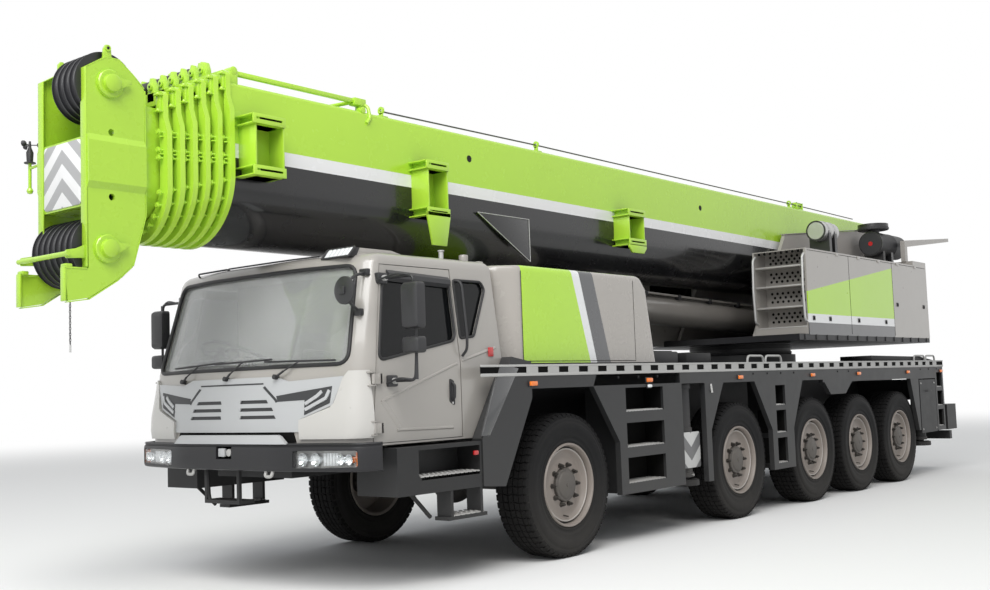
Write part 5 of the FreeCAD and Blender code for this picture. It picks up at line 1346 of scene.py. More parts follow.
def door_leaf():
    skin = carved(
        cab_loft(0.0, outer_heights, cab_paint), [prism("y", leaf_outline, (1.0, 1.6), cab_paint, 0)],
        cab_paint, "INTERSECT")
    hollow = cab_loft(0.055, (1.10, 1.25, 1.79, 2.60, 2.64), cab_paint)
    return carved(skin, [hollow, prism("y", pane_outline, (1.0, 1.6), cab_paint, 0)], cab_paint)


def door_handle():
    """A recessed black plate with an upright grip and a lock."""
    forward, low, high = 5.075, 1.440, 1.665
    out = cab_side(forward, 1.55)
    outline = round_corners(
        [
            (forward - 0.030, low), (forward + 0.034, low + 0.03), (forward + 0.030, high),
            (forward - 0.026, high - 0.02)], 0.02)
    return [
        prism("y", outline, (out - 0.004, out + 0.007), trim_black, 0.002),
        tube(
            [
                (forward + 0.004, out + 0.004, low + 0.045),
                (forward + 0.004, out + 0.034, low + 0.065), (forward, out + 0.036, high - 0.055),
                (forward, out + 0.004, high - 0.035)], 0.011, trim_black, 0.02),
        rod((forward, out, low + 0.022), (forward, out + 0.011, low + 0.022), 0.010, galvanised)]


def housing(low, high, front, rear, inner, outer, crown=0.02):
    """A mirror's moulded back with its silvered face set into the rear."""
    body_outline = round_corners([(inner, low), (outer, low), (outer, high), (inner, high)], 0.035)
    rings = []
    middle_out, middle_high = (inner + outer) / 2, (low + high) / 2
    for forward, shrink in (
        (rear, 1.0), (front - crown * 1.6, 1.0), (front - crown * 0.5, 0.93), (front, 0.74)):
        rings.append([
            (
                forward, middle_out + (out - middle_out) * shrink,
                middle_high + (height - middle_high) * shrink) for out, height in body_outline])
    face = [
        (middle_out + (out - middle_out) * 0.88, middle_high + (height - middle_high) * 0.92)
        for out, height in body_outline]
    return [
        loft(rings, mirror_black, 40), prism("x", face, (rear - 0.003, rear + 0.004), silver_glass, 0)]


def mirrors():
    """A tube on two brackets with the large housing above and the small one below."""
    parts = housing(
        2.050, 2.410, 5.862, 5.767, 1.562, 1.745) + housing(1.862, 1.990, 5.862, 5.767, 1.562, 1.745)
    for high, root in ((2.470, 1.275), (1.655, 1.345)):
        skin = cab_side(5.785, high)
        parts += [
            tube(
                [(5.785, root, high), (5.785, 1.640, high), (5.785, 1.655, (high + 2.06) / 2)], 0.013,
                mirror_black, 0.05),
            slab(
                (5.735, skin - 0.030, high - 0.045), (5.840, skin + 0.030, high + 0.045), mirror_black,
                0.012),
            tube(
                [(5.835, skin, high - 0.02), (5.825, 1.50, high + 0.022), (5.790, 1.60, high + 0.005)],
                0.009, mirror_black, 0.05),
            lathe(
                "y", (5.785, 0, high),
                [(skin + 0.026, 0), (skin + 0.026, 0.024), (skin + 0.06, 0.022), (skin + 0.06, 0)],
                galvanised, 16)]
    return parts + [rod((5.785, 1.655, 1.66), (5.785, 1.655, 2.46), 0.012, mirror_black)]


def visor():
    """A smoked deflector over the side window."""
    return side_ribbon(line((4.985, 2.475), (5.72, 2.500), 8), 0.095, 0.030, mirror_black)


def hinge_barrels():
    parts = []
    for low in (1.250, 1.630):
        parts.append(
            rod((6.0, 1.397, low + 0.005), (6.0, 1.397, low + 0.085), 0.015, cab_paint, 16, 0.002))
        parts.append(slab((5.910, 1.390, low + 0.005), (5.998, 1.404, low + 0.085), cab_paint, 0.003))
        parts.append(slab((5.910, 1.345, low + 0.005), (5.932, 1.404, low + 0.085), cab_paint, 0.003))
    return parts


door_pane = cab_pane(pane_outline, "y", (1.0, 1.6), dark_glass)
door_parts = [
    door_leaf(), door_pane, seal(pane_outline, False, 0.013),
    side_ribbon(line((5.90, 1.500), (5.00, 1.790), 8), 0.030, 0.006, cab_paint),
    side_ribbon([(5.890, 1.500), (5.800, 1.400), (5.705, 1.285)], 0.050, 0.008, cab_paint),
    side_ribbon(line((5.735, 1.272), (5.07, 1.262), 4), 0.030, 0.008, cab_paint)
] + door_handle() + mirrors() + [visor()] + hinge_barrels()
for side, parts in (("left", door_parts), ("right", [other_side(part) for part in door_parts])):
    assemble(f"cab_door_leaf_{side}", f"cab_door_{side}", parts, replaces=[f"door_{side}"])

body_lines = [
    side_ribbon(line((4.935, 1.812), (4.47, 1.925), 4), 0.030, 0.006, cab_paint),
    tube(
        [
            (4.915, 1.25, 2.500), (4.915, 1.375, 2.480), (4.925, 1.432, 2.00), (4.93, 1.430, 1.900),
            (4.935, 1.380, 1.850)], 0.012, trim_black, 0.05)]
assemble("cab_side_trim", "chassis", both_sides(body_lines))

# The roof lamps and the front mirror
# A clear strip of lamps in a black tubular frame, with a fairing that tapers behind
# it, and a round mirror that shows the driver the nose from two thin arms.
pod_frame = round_corners([(0.768, 0.0), (1.082, 0.0), (1.082, 1.0), (0.768, 1.0)], 0.020)
pod_parts = [
    prism(
        "y", [(5.186, 2.640), (5.186, 2.688), (5.430, 2.740), (5.815, 2.740), (5.865, 2.640)],
        (0.778, 1.072), cab_paint, 0.012),
    closed_tube(
        [(5.934 - 0.072 * rise, out, 2.662 + 0.078 * rise) for out, rise in pod_frame], 0.010,
        trim_black),
    prism(
        "y", [(5.800, 2.738), (5.852, 2.738), (5.912, 2.668), (5.850, 2.650)], (0.775, 1.075),
        trim_black, 0.002)]
for number in range(6):
    out = 0.786 + 0.0485 * number
    pod_parts.append(prism(
        "y", [(5.845, 2.742), (5.868, 2.742), (5.928, 2.670), (5.905, 2.664)], (out, out + 0.042),
        white_lens, 0.004))
for low, high in ((0.84, 0.87), (0.98, 1.01)):
    pod_parts.append(slab((5.40, low, 2.738), (5.80, high, 2.748), cab_paint, 0.004))
disc = Vector((6.165, 1.270, 2.360))
pod_parts += [
    lathe(
        "x", disc,
        [
            (-0.017, 0), (-0.017, 0.104), (-0.010, 0.111), (0.004, 0.108), (0.014, 0.080),
            (0.019, 0.040), (0.019, 0)], mirror_black, 40),
    lathe("x", disc, [(-0.0185, 0), (-0.0185, 0.094), (-0.016, 0.096)], silver_glass, 40),
    slab(
        disc - Vector((-0.010, 0.030, 0.030)), disc + Vector((0.034, 0.030, 0.030)), mirror_black, 0.008)]
for foot in ((5.965, 1.225, 2.200), (5.865, 1.215, 2.520)):
    foot = Vector(foot)
    skin = Vector((cab_front(foot.y, foot.z), foot.y, foot.z))
    bend = skin.lerp(disc, 0.35) + Vector((0.05, 0, 0.02))
    pod_parts += [
        tube(
            [skin - Vector((0.02, 0, 0)), bend, disc - Vector((0.01, 0, 0))], 0.012, mirror_black, 0.06),
        slab(
            skin - Vector((0.020, 0.045, 0.028)), skin + Vector((0.022, 0.045, 0.028)), mirror_black,
            0.008)]
    pod_parts += [
        ring(bolt(0.008, 0.006, galvanised), galvanised, 1, 0, "x", skin + Vector((0.022, side, 0)))
        for side in (-0.028, 0.028)]
roof_edge = [(cab_front(out, 2.640) - 0.05, out, 2.692) for out in (-0.42, -0.2, 0.0, 0.2, 0.42, 0.72)]
pod_parts += [
    tube(roof_edge, 0.007, trim_black, 0.02),
    tube(
        [
            (5.900, -0.410, 2.640), (5.945, -0.430, 2.690), (5.935, -0.880, 2.685),
            (5.870, -0.920, 2.640)], 0.008, trim_black, 0.03)]
assemble("roof_lamps", "chassis", pod_parts)


# The cab's front
# A dark grille panel with louvres stands proud of the cab between corners painted pale as a highlight.
# Slatted triangles fill its wings over painted shade, and a black strip of painted shade marks the gap to
# the bumper.
grille_grey = (0.43, 0.438, 0.445, 1)
# Near-black for painted shade behind the louvres and slats and in the grille's gaps.
slot_shade_colour = (0.030, 0.031, 0.033, 1)
grille_paint = painted("grille_paint", grille_grey, 0.34, coat=0.4, dust_amount=0.15, dust_height=1.9)
slot_shade_paint = painted("slot_shade_paint", slot_shade_colour, 0.5, dust_amount=0.1)
panel_heights = (1.20, 1.30, 1.38, 1.44, 1.50, 1.56, 1.62, 1.68, 1.74, 1.79)


def whole(half):
    """A symmetrical outline from its right half, listed from the bottom up."""
    return half + [(-out, height) for out, height in half[::-1]]


def front_skin(outline, proud, paint, sunk=0.004, smooth_below=30):
    """A skin over the cab's front inside an outline, a given way proud of it."""
    skin = carved(
        cab_loft(-proud, panel_heights, paint), [prism("x", outline, (5.95, 6.6), paint, 0)], paint,
        "INTERSECT")
    return carved(
        skin, [cab_loft(sunk, (1.15,) + panel_heights + (1.85,), paint)], paint,
        smooth_below=smooth_below)


grille_outline = whole([
    (0.810, 1.282), (0.812, 1.382), (1.113, 1.484), (1.140, 1.545), (1.205, 1.705), (0.688, 1.680),
    (0.540, 1.722)])
wing_outline = [
    (1.106, 1.631), (0.560, 1.568), (0.577, 1.522), (0.850, 1.530), (0.850, 1.412), (1.090, 1.500)]


def front_line(points, proud, width, paint, thick=0.010):
    """A raised bar that follows points on the cab's front."""
    bm = bmesh.new()
    rows_made = []
    flat = [Vector(point) for point in points]
    for k, here in enumerate(flat):
        heading = (flat[min(k + 1, len(flat) - 1)] - flat[max(k - 1, 0)]).normalized()
        normal = Vector((-heading.y, heading.x)) * width / 2
        cross = []
        for point, out in (
            (here + normal, proud - thick), (here + normal * 0.8, proud), (here - normal * 0.8, proud),
            (here - normal, proud - thick)):
            cross.append(bm.verts.new((cab_front(point.x, point.y) + out, point.x, point.y)))
        rows_made.append(cross)
    for first, second in zip(rows_made, rows_made[1:]):
        for n in range(3):
            bm.faces.new((first[n], first[n + 1], second[n + 1], second[n]))
        bm.faces.new((first[3], first[0], second[0], second[3]))
    bm.faces.new(rows_made[0])
    bm.faces.new(rows_made[-1])
    return mesh_of(bm, paint, 40)


def route(points, count=5):
    """More points along a broken line."""
    made = [points[0]]
    for a, b in zip(points, points[1:]):
        made += [tuple(Vector(a).lerp(Vector(b), n / count)) for n in range(1, count + 1)]
    return made


wing_slats = [
    [(1.086, 1.600), (1.055, 1.540), (0.862, 1.455)], [(1.015, 1.592), (0.975, 1.560), (0.862, 1.500)]]
louvre_rows = ((1.402, 0.560), (1.464, 0.530), (1.526, 0.470))
louvre_inner = 0.12
louvres = []
for height, reach in louvre_rows:
    outline = [
        (louvre_inner, height - 0.014), (reach, height - 0.014), (reach - 0.02, height + 0.014),
        (louvre_inner + 0.01, height + 0.014)]
    louvres.append(prism("x", outline, (6.0, 6.6), slot_shade_paint, 0))
    louvres.append(other_side(louvres[-1]))
grille_body = carved(front_skin(grille_outline, 0.014, grille_paint), louvres, grille_paint)
# Behind the louvres, a dark skin is painted shade seen through them.
slot_backing = front_skin(whole([(0.60, 1.375), (0.50, 1.56)]), 0.003, slot_shade_paint)
band = [(0.577, 1.522), (0.562, 1.545), (0.430, 1.650), (0.405, 1.640), (0.540, 1.535), (0.556, 1.515)]
# A thin dark strip across the panel's top is painted shade in a gap.
front_parts = [
    grille_body, slot_backing, front_skin(whole([(0.41, 1.664), (0.41, 1.676)]), 0.016, slot_shade_paint)]
# The dark triangles behind the wing slats and the dark bands are painted shade in the openings.
front_parts += both_sides(
    [front_skin(wing_outline, 0.016, slot_shade_paint), front_skin(band, 0.016, slot_shade_paint)]
    + [front_line(route(points), 0.026, 0.032, grille_paint, 0.016) for points in wing_slats])
# A black strip across the front above the bumper is painted shade in the gap.
front_parts.append(front_skin(whole([(0.77, 1.20), (0.72, 1.325)]), 0.010, recess_black))
assemble("cab_grille", "chassis", front_parts)


def wiper(foot, elbow, tip, other_tip):
    """An arm from its pivot to the middle of a long blade."""
    points = {}
    for name, (out, height), proud in (
        ("foot", foot, 0.03), ("elbow", elbow, 0.045), ("tip", tip, 0.030), ("other", other_tip, 0.030)):
        points[name] = Vector((cab_front(out, height) + proud, out, height))
    middle = (points["tip"] + points["other"]) / 2
    base = Vector((cab_front(*foot), *foot))
    return [
        rod(base, base + Vector((0.045, 0, 0.006)), 0.020, trim_black),
        rod(points["foot"], points["elbow"], 0.009, trim_black),
        rod(points["elbow"], middle, 0.006, trim_black),
        rod(points["tip"], points["other"], 0.008, trim_black, 6)]


wipers = (
    wiper((-0.688, 1.712), (-0.60, 1.755), (-0.86, 1.835), (-0.10, 1.862))
    + wiper((-0.057, 1.718), (0.02, 1.760), (-0.22, 1.850), (0.50, 1.862))
    + wiper((0.560, 1.716), (0.66, 1.762), (0.42, 1.845), (1.13, 1.830)))
assemble("wipers", "chassis", wipers)


# The bumper and its lamps
# A black pressed bar that wraps the corners. Each end holds a long lamp of clear
# plastic over bright reflectors, and a folding step hangs below the middle.
bumper_paint = painted(
    "bumper_paint", (0.020, 0.020, 0.022, 1), 0.40, gloss=0.3, dust_amount=0.06, dust_height=1.2)
lamp_cover = pane_glass("lamp_cover", (0.95, 0.97, 0.98, 1), 0.35)
bumper_rows = ((6.012, 1.490), (6.030, 1.490), (6.190, 1.400), (6.335, 0.640))
lamp_low, lamp_high, lamp_inner, lamp_outer = 1.000, 1.138, 0.790, 1.385


def bumper_ring(inset):
    corners = [(forward - inset, out - inset / 2) for forward, out in bumper_rows]
    outline = corners + [(forward, -out) for forward, out in corners[::-1]]
    return round_corners(outline, 0.14, 4)


def bumper_face(out, inset=0.0):
    return crossing(bumper_ring(inset), 1, out, 6.0)


def bumper_body():
    rings = [
        [(forward, out, height) for forward, out in bumper_ring(inset)]
        for inset, height in (
            (0.030, 0.975), (0.006, 0.984), (0.0, 1.000), (0.0, 1.150), (0.004, 1.165), (0.012, 1.172),
            (0.012, 1.180), (0.004, 1.184), (0.012, 1.196))]
    body = loft(rings, bumper_paint)
    cavity = [
        [(forward, out, height) for forward, out in bumper_ring(0.046)] for height in (1.035, 1.25)]
    lamp = prism(
        "x",
        round_corners(
            [
                (lamp_inner, lamp_low), (lamp_outer, lamp_low + 0.012), (lamp_outer, lamp_high),
                (lamp_inner, lamp_high)], 0.02), (6.0, 6.6), bumper_paint, 0)
    depth = loft(
        [[(forward, out, height) for forward, out in bumper_ring(0.055)] for height in (0.9, 1.3)],
        bumper_paint)
    pocket = carved(lamp, [depth], bumper_paint)
    socket = slab((6.30, -0.130, 1.068), (6.40, 0.070, 1.171), bumper_paint, 0)
    return carved(body, [loft(cavity, bumper_paint), pocket, other_side(pocket), socket], bumper_paint)


def lip():
    """The raised middle of the bumper, in the grille's grey."""
    plan = [(6.288, -0.73), (6.318, -0.73), (6.333, -0.62), (6.335, 0.62), (6.318, 0.73), (6.288, 0.73)]
    rings = [
        [(forward, out * share, height) for forward, out in plan]
        for height, share in ((1.190, 1.0), (1.250, 0.90), (1.262, 0.86))]
    return loft(rings, grille_paint)


def headlamp():
    """Two bright reflectors and a row of small ones behind a clear cover."""
    parts = []
    for out, radius in ((0.870, 0.048), (0.990, 0.048), (1.225, 0.036), (1.300, 0.036)):
        face = bumper_face(out, 0.050)
        parts.append(lathe(
            "x", (face, out, 1.068),
            [
                (0.004, 0.0), (0.006, radius * 0.35), (0.022, radius * 0.8), (0.034, radius),
                (0.034, radius + 0.005), (0.0, radius + 0.005)], silver_glass, steps=20, hoop=False))
        parts.append(lathe(
            "x", (face, out, 1.068), [(0.004, 0.009), (0.020, 0.009), (0.026, 0.0)], white_lens,
            steps=12))
    back = [(bumper_face(out, 0.050), out) for out in (0.795, 0.90, 1.05, 1.20, 1.30, 1.38)]
    outline = back + [(forward + 0.006, out) for forward, out in back[::-1]]
    parts.append(prism("z", outline, (lamp_low + 0.002, lamp_high - 0.002), galvanised, 0))
    for step in range(5):
        out = 1.062 + 0.028 * step
        face = bumper_face(out, 0.044)
        parts.append(
            slab((face, out - 0.010, 1.020), (face + 0.010, out + 0.010, 1.120), white_lens, 0.004))
    amber = bumper_face(1.358, 0.040)
    parts.append(slab((amber - 0.01, 1.342, 1.012), (amber + 0.008, 1.378, 1.126), amber_lens, 0.005))
    cover = [
        (bumper_face(out, 0.004), out) for out in (0.792, 0.88, 0.97, 1.06, 1.15, 1.25, 1.32, 1.383)]
    outline = cover + [(forward - 0.005, out) for forward, out in cover[::-1]]
    parts.append(prism("z", outline, (lamp_low + 0.004, lamp_high - 0.003), lamp_cover, 0))
    return parts


fixings = []
for out in (-0.62, 0.62):
    fixings.append(ring(
        bolt(0.010, 0.008, bumper_paint), bumper_paint, 1, 0, "x", Vector((bumper_face(out), out, 1.10))))
# A near-black back in the bumper's socket is painted shade in the recess.
socket_parts = [
    slab((6.288, -0.128, 1.070), (6.300, 0.068, 1.169), recess_black, 0),
    rod((6.300, 0.03, 1.12), (6.332, 0.03, 1.12), 0.030, galvanised, 20, 0.003),
    slab((6.300, -0.115, 1.085), (6.325, -0.030, 1.155), grille_paint, 0.006)]
hooks = []
for side in (-1, 1):
    hooks.append(tube(
        [
            (6.30, side * 0.470, 0.985), (6.315, side * 0.470, 0.935), (6.315, side * 0.550, 0.935),
            (6.30, side * 0.550, 0.985)], 0.014, galvanised, 0.03))
nose_step = [
    tube(
        [
            (6.215, -0.405, 0.975), (6.215, -0.39, 0.745), (6.215, -0.37, 0.706), (6.215, 0.01, 0.706),
            (6.215, 0.018, 0.745), (6.215, 0.018, 0.975)], 0.016, black_steel, 0.03),
    tube([(6.085, -0.405, 0.706), (6.085, 0.010, 0.706)], 0.013, black_steel)]
assemble(
    "bumper_shell", "chassis",
    [bumper_body(), lip()] + both_sides(headlamp()) + socket_parts + fixings + hooks,
    replaces=["bumper"])
assemble("nose_step_frame", "chassis", nose_step)


# The equipment enclosure
# A sheet-steel housing for the engine behind the cab, its corners rolled, sprayed
# in bands: grey, lime, white, charcoal, and grey again to its sloping rear.
lime = (0.405, 0.680, 0.028, 1)
band_white = (0.74, 0.75, 0.75, 1)
band_dark = (0.072, 0.074, 0.078, 1)
enclosure_grey = (0.36, 0.335, 0.305, 1)
band_edges = (2.693, 2.929, 3.038, 4.090)
band_lean = (0.280 / 0.905, 0.272 / 0.905, 0.286 / 0.905, 0.0)
enclosure_foot = 1.770


def banded(tree):
    """Bands that lean forward as they rise, by place on the object."""
    parts = tree.nodes.new("ShaderNodeSeparateXYZ")
    tree.links.new(tree.nodes.new("ShaderNodeTexCoord").outputs["Object"], parts.inputs[0])
    rise = math_node(tree, "SUBTRACT", parts.outputs["Z"], enclosure_foot)
    colour = None
    for edge_place, lean, ahead_colour in zip(
        band_edges, band_lean, (band_dark, band_white, lime, enclosure_grey)):
        reach = math_node(tree, "MULTIPLY_ADD", rise, lean, edge_place)
        past = math_node(tree, "GREATER_THAN", parts.outputs["X"], reach)
        colour = blend_colours(tree, past, colour if colour else enclosure_grey, ahead_colour)
    return colour


enclosure_paint = painted(
    "enclosure_paint", lime, 0.26, coat=0.7, dust_amount=0.10, dust_height=2.4, grain_depth=0.03,
    feed=banded)
store_low, store_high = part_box("equipment_enclosure")


def enclosure_plan(height):
    """The housing's outline at a height, its corners rolled and its rear leaning in."""
    rise = max(0.0, height - 2.535) / 0.14
    rear = store_low.x + 0.14 * (
        height - store_low.z
    ) / (2.535 - store_low.z) if height < 2.535 else store_low.x + 0.14 + 0.13 * rise
    front, half = store_high.x, store_high.y
    outline = round_corners(
        [
            (front, half - 0.19), (front - 0.19, half), (rear, half), (rear, -half),
            (front - 0.19, -half), (front, 0.19 - half)], 0.075)
    top = max(0.0, height - (store_high.z - 0.04))
    shrink = 0.04 - math.sqrt(max(0.0, 0.04 ** 2 - top ** 2)) if top else 0.0
    middle = (front + rear) / 2
    return [
        (middle + (forward - middle) * (1 - shrink / 1.2), out * (1 - shrink / half), height)
        for forward, out in outline]


store_heights = (1.771, 2.20, 2.50, 2.535, 2.60, 2.635, 2.655, 2.668, 2.6749)
enclosure_body = loft([enclosure_plan(height) for height in store_heights], enclosure_paint, 30)
store_room = slab((store_low.x + 0.25, -1.33, 1.760), (4.08, 1.30, 2.60), enclosure_paint, 0)
enclosure_body = carved(enclosure_body, [store_room], enclosure_paint)


def side_seams():
    """Thin shut lines of the doors on each side."""
    parts = []
    for forward in (4.095, 2.24):
        parts.append(slab(
            (forward - 0.003, store_high.y - 0.001, 1.80),
            (forward + 0.003, store_high.y + 0.0012, 2.62), recess_black, 0))
    parts.append(
        slab(
            (2.24, store_high.y - 0.001, 1.800), (4.095, store_high.y + 0.0012, 1.806), recess_black, 0))
    return parts


foot_rail = slab((store_low.x - 0.01, -1.385, 1.768), (4.30, 1.385, 1.786), black_steel, 0.004)
top_plate = [slab((2.30, -0.95, 2.672), (3.90, 0.95, 2.680), enclosure_paint, 0.003)]
assemble(
    "enclosure_shell", "chassis",
    [enclosure_body, foot_rail] + both_sides(side_seams()) + top_plate, replaces=["equipment_enclosure"])
engine_block = painted("engine_block", (0.10, 0.10, 0.105, 1), 0.55, dust_amount=0.4, dust_height=3.0)
dress(engine_block, "engine")


# The boom's telescopic sections
# Bent plate welded into flat-topped tubes with a round keel, one inside the next.
# The base is lime over a white line over gloss black; a collar stiffens every mouth.
boom_lime = (0.400, 0.655, 0.042, 1)
boom_white = (0.74, 0.74, 0.74, 1)
boom_black = (0.009, 0.009, 0.010, 1)
white_line_middle, white_line_rise, white_line_half = 3.474, 0.0062, 0.058
section_half, section_low, section_high = 0.500, 2.805, 4.065
side_step, low_step, high_step = 0.035, 0.020, 0.045
plate_thick, corner_round = 0.012, 0.035
collar_face, collar_pitch, collar_thick = 6.670, 0.095, 0.045
collar_half, collar_half_step, collar_low, collar_rise = 0.560, 0.030, 2.775, 0.090
lug_rise, lug_side = 0.120, 0.200
boom_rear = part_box("boom_section_1")[0].x
carriers = ((6.580, 6.250, 3.295, 3.785), (4.600, 4.290, 3.160, 3.675), (1.250, 0.890, 3.135, 3.555))
carrier_inner, carrier_outer, carrier_bar, carrier_sheet = 0.490, 0.730, 0.080, 0.012


def boom_bands(tree):
    """Black below, a white line, and lime above."""
    parts = tree.nodes.new("ShaderNodeSeparateXYZ")
    tree.links.new(tree.nodes.new("ShaderNodeTexCoord").outputs["Object"], parts.inputs[0])
    over = math_node(
        tree, "SUBTRACT", parts.outputs["Z"],
        math_node(tree, "MULTIPLY_ADD", parts.outputs["X"], white_line_rise, white_line_middle))
    colour = blend_colours(
        tree, math_node(tree, "GREATER_THAN", over, -white_line_half), boom_black, boom_white)
    return blend_colours(
        tree, math_node(tree, "GREATER_THAN", over, white_line_half), colour, boom_lime)


boom_paint = painted(
    "boom_paint", boom_lime, 0.26, coat=0.45, gloss=0.4, dust_amount=0.03, dust_height=3.0,
    grain_depth=0.02, feed=boom_bands)
lime_paint = painted(
    "lime_paint", boom_lime, 0.30, coat=0.5, dust_amount=0.05, dust_height=3.0, grain_depth=0.04)
# Near-black discs and sheets that stand for painted shade in holes and hollows.
hole_shade = painted("hole_shade", (0.004, 0.004, 0.004, 1), 0.9, dust_amount=0.0)
rope_steel = painted(
    "rope_steel", (0.10, 0.10, 0.10, 1), 0.45, metallic=0.7, dust_amount=0.1, grain_scale=400,
    grain_depth=0.8)


def keel_outline(half, low, high, rounding, shoulder=0.0, shoulder_low=0.33, steps=20):
    """A section across the boom: a round keel, flat sides and a top with rounded corners."""
    keel = [
        (half * math.cos(turn), low + half + half * math.sin(turn))
        for turn in (-math.pi / 2 + math.pi / 2 * n / steps for n in range(steps + 1))]
    side = half - shoulder
    if shoulder:
        keel += [(half, high - shoulder_low), (side, high - shoulder_low + 0.12)]
    keel += [
        (side - rounding + rounding * math.cos(turn), high - rounding + rounding * math.sin(turn))
        for turn in (math.pi / 2 * n / 5 for n in range(6))]
    return keel + [(-out, height) for out, height in keel[::-1][:-1]]


def hollow(outer, inner, ends, paint):
    """A tube along X between two outlines with the same number of points."""
    bm = bmesh.new()
    rings = [
        [bm.verts.new((place, out, height)) for out, height in outline]
        for place, outline in ((ends[0], outer), (ends[1], outer), (ends[1], inner), (ends[0], inner))]
    for first, second in zip(rings, rings[1:] + rings[:1]):
        for k in range(len(first)):
            after = (k + 1) % len(first)
            bm.faces.new((first[k], first[after], second[after], second[k]))
    return mesh_of(bm, paint, 30)


def section_sizes(count):
    return section_half - count * side_step, section_low + count * low_step, section_high - count * high_step


def section_tube(count, ends, paint):
    half, low, high = section_sizes(count)
    return hollow(
        keel_outline(half, low, high, corner_round),
        keel_outline(
            half - plate_thick, low + plate_thick, high - plate_thick, corner_round - plate_thick),
        ends, paint)


def studs(places, length=0.036, radius=0.017):
    """Bolt heads on short stems that face forwards."""
    stem = placed(
        lathe(
            "z", (0, 0, 0), [(0, radius * 0.55), (length, radius * 0.55), (length, 0)], lime_paint, 8),
        axis_turns["x"])
    head = placed(
        bolt(radius, radius, lime_paint), Matrix.Translation((length, 0, 0)) @ axis_turns["x"])
    return [placed(part, Matrix.Translation(place)) for place in places for part in (stem, head)]


def pad_box(face, side, high, depth):
    """The box on a collar that holds a side wear pad: two ledges, a recessed web, a cap bolt on each."""
    reach = collar_pitch - collar_thick - 0.006
    parts = [slab(
        (face - 0.002, side, high - 0.165), (face + reach * 0.45, side + depth * 0.75, high - 0.040),
        lime_paint, 0.003)]
    for ledge in (high - 0.045, high - 0.172):
        parts.append(slab(
            (face - 0.002, side, ledge), (face + reach, side + depth, ledge + 0.014), lime_paint, 0.004))
        parts.append(placed(
            lathe("z", (0, 0, 0), [(0, 0.017), (0.012, 0.015), (0.012, 0)], lime_paint, 12),
            Matrix.Translation((face + reach * 0.5, side + depth * 0.5, ledge + 0.013))))
    return parts


def collar_parts(count):
    """A section's collar: the flange, its two pinned lugs, its pad boxes and its bolts."""
    high = section_sizes(count)[2]
    half = collar_half - count * collar_half_step
    face = collar_face + count * collar_pitch
    top = high + collar_rise
    inner_half = section_sizes(count + 1)[0]
    outer = keel_outline(half, collar_low, top, 0.05, 0.045)
    hole = keel_outline(
        section_sizes(count)[0] - plate_thick, section_sizes(count)[1] + plate_thick,
        high - plate_thick, 0.023, 0.002)
    parts = [hollow(outer, hole, (face - collar_thick, face), lime_paint)]
    depth = half - 0.045 - inner_half - 0.010
    near = pad_box(face, inner_half + 0.006, top, depth)
    middle = (half + inner_half) / 2
    centre = collar_low + half
    rows_high = (3.600, 3.462, 3.402)
    near += studs([(face, middle, high_place) for high_place in rows_high])
    near += [
        slab(
            (face - 0.002, middle - 0.018, low_place),
            (face + 0.034, middle + 0.018, low_place + 0.010), lime_paint, 0.002)
        for low_place in (3.560, 3.425)]
    turns = [math.radians(degrees) for degrees in (-8, -24, -40, -54, -68, -82)]
    near += studs(
        [(face, middle * math.cos(turn), centre + middle * math.sin(turn)) for turn in turns], 0.030)
    lug = [
        (lug_side - 0.045, high + 0.02), (lug_side + 0.045, high + 0.02), (lug_side + 0.045, top),
        (lug_side + 0.034, top + 0.060), (lug_side + 0.010, top + lug_rise),
        (lug_side - 0.010, top + lug_rise), (lug_side - 0.034, top + 0.060), (lug_side - 0.045, top)]
    near.append(prism("x", lug, (face - collar_thick, face), lime_paint, 0.004))
    near.append(lathe(
        "x", (face, lug_side, top + 0.050),
        [
            (-0.052, 0), (-0.052, 0.032), (0.010, 0.032), (0.012, 0.028), (0.012, 0.012),
            (0.006, 0.012), (0.006, 0)], lime_paint, 16))
    # A black disc on the lug's pin boss is painted shade in its hole.
    near.append(rod(
        (face + 0.006, lug_side, top + 0.050), (face + 0.0075, lug_side, top + 0.050), 0.012, hole_shade))
    foot = (face - collar_pitch / 2, 0.0, top + 0.046 + high_step / 2)
    tip = (face + collar_pitch / 2, 0.0, top + 0.046 - high_step / 2)
    roller = [
        rod(foot, tip, 0.045, trim_black, 20, 0.004),
        slab((face - 0.040, -0.06, top - 0.005), (face - 0.005, 0.06, top + 0.012), lime_paint, 0.003)]
    return parts + both_sides(near) + roller


def carrier(front, rear, low, high):
    """A jib carrier: channel bars above and below, slotted on their faces, with side plates between."""
    parts = []
    face = carrier_outer - carrier_sheet
    for bar_low in (low, high - carrier_bar):
        bar_high = bar_low + carrier_bar
        parts += [
            slab(
                (rear, carrier_inner, level_low),
                (front, carrier_outer - 0.002, level_low + carrier_sheet), lime_paint, 0.003)
            for level_low in (bar_low, bar_high - carrier_sheet)]
        plate = slab((rear, face, bar_low), (front, carrier_outer, bar_high), lime_paint, 0.003)
        slot = slab(
            (rear + 0.035, face - 0.01, bar_low + 0.034),
            (front - 0.035, carrier_outer + 0.01, bar_low + 0.052), lime_paint, 0)
        parts.append(carved(plate, [slot], lime_paint))
        # A near-black sheet inside each channel bar is painted shade in the channel.
        parts.append(slab(
            (rear + 0.03, carrier_inner, bar_low), (front - 0.07, face - 0.05, bar_high), hole_shade, 0))
        parts.append(slab(
            (front - 0.075, carrier_inner, bar_low), (front - 0.063, face, bar_high), lime_paint, 0.002))
        parts.append(
            slab(
                (rear, carrier_inner, bar_low), (rear + carrier_sheet, face, bar_high), lime_paint,
                0.002))
    for side_place in (rear, front - 0.052):
        parts.append(slab(
            (side_place, carrier_inner, low + carrier_bar),
            (side_place + 0.016, carrier_outer - 0.020, high - carrier_bar), lime_paint, 0.003))
    parts.append(slab(
        (rear, carrier_inner, low + carrier_bar), (front - 0.050, 0.540, high - carrier_bar),
        lime_paint, 0.003))
    return parts


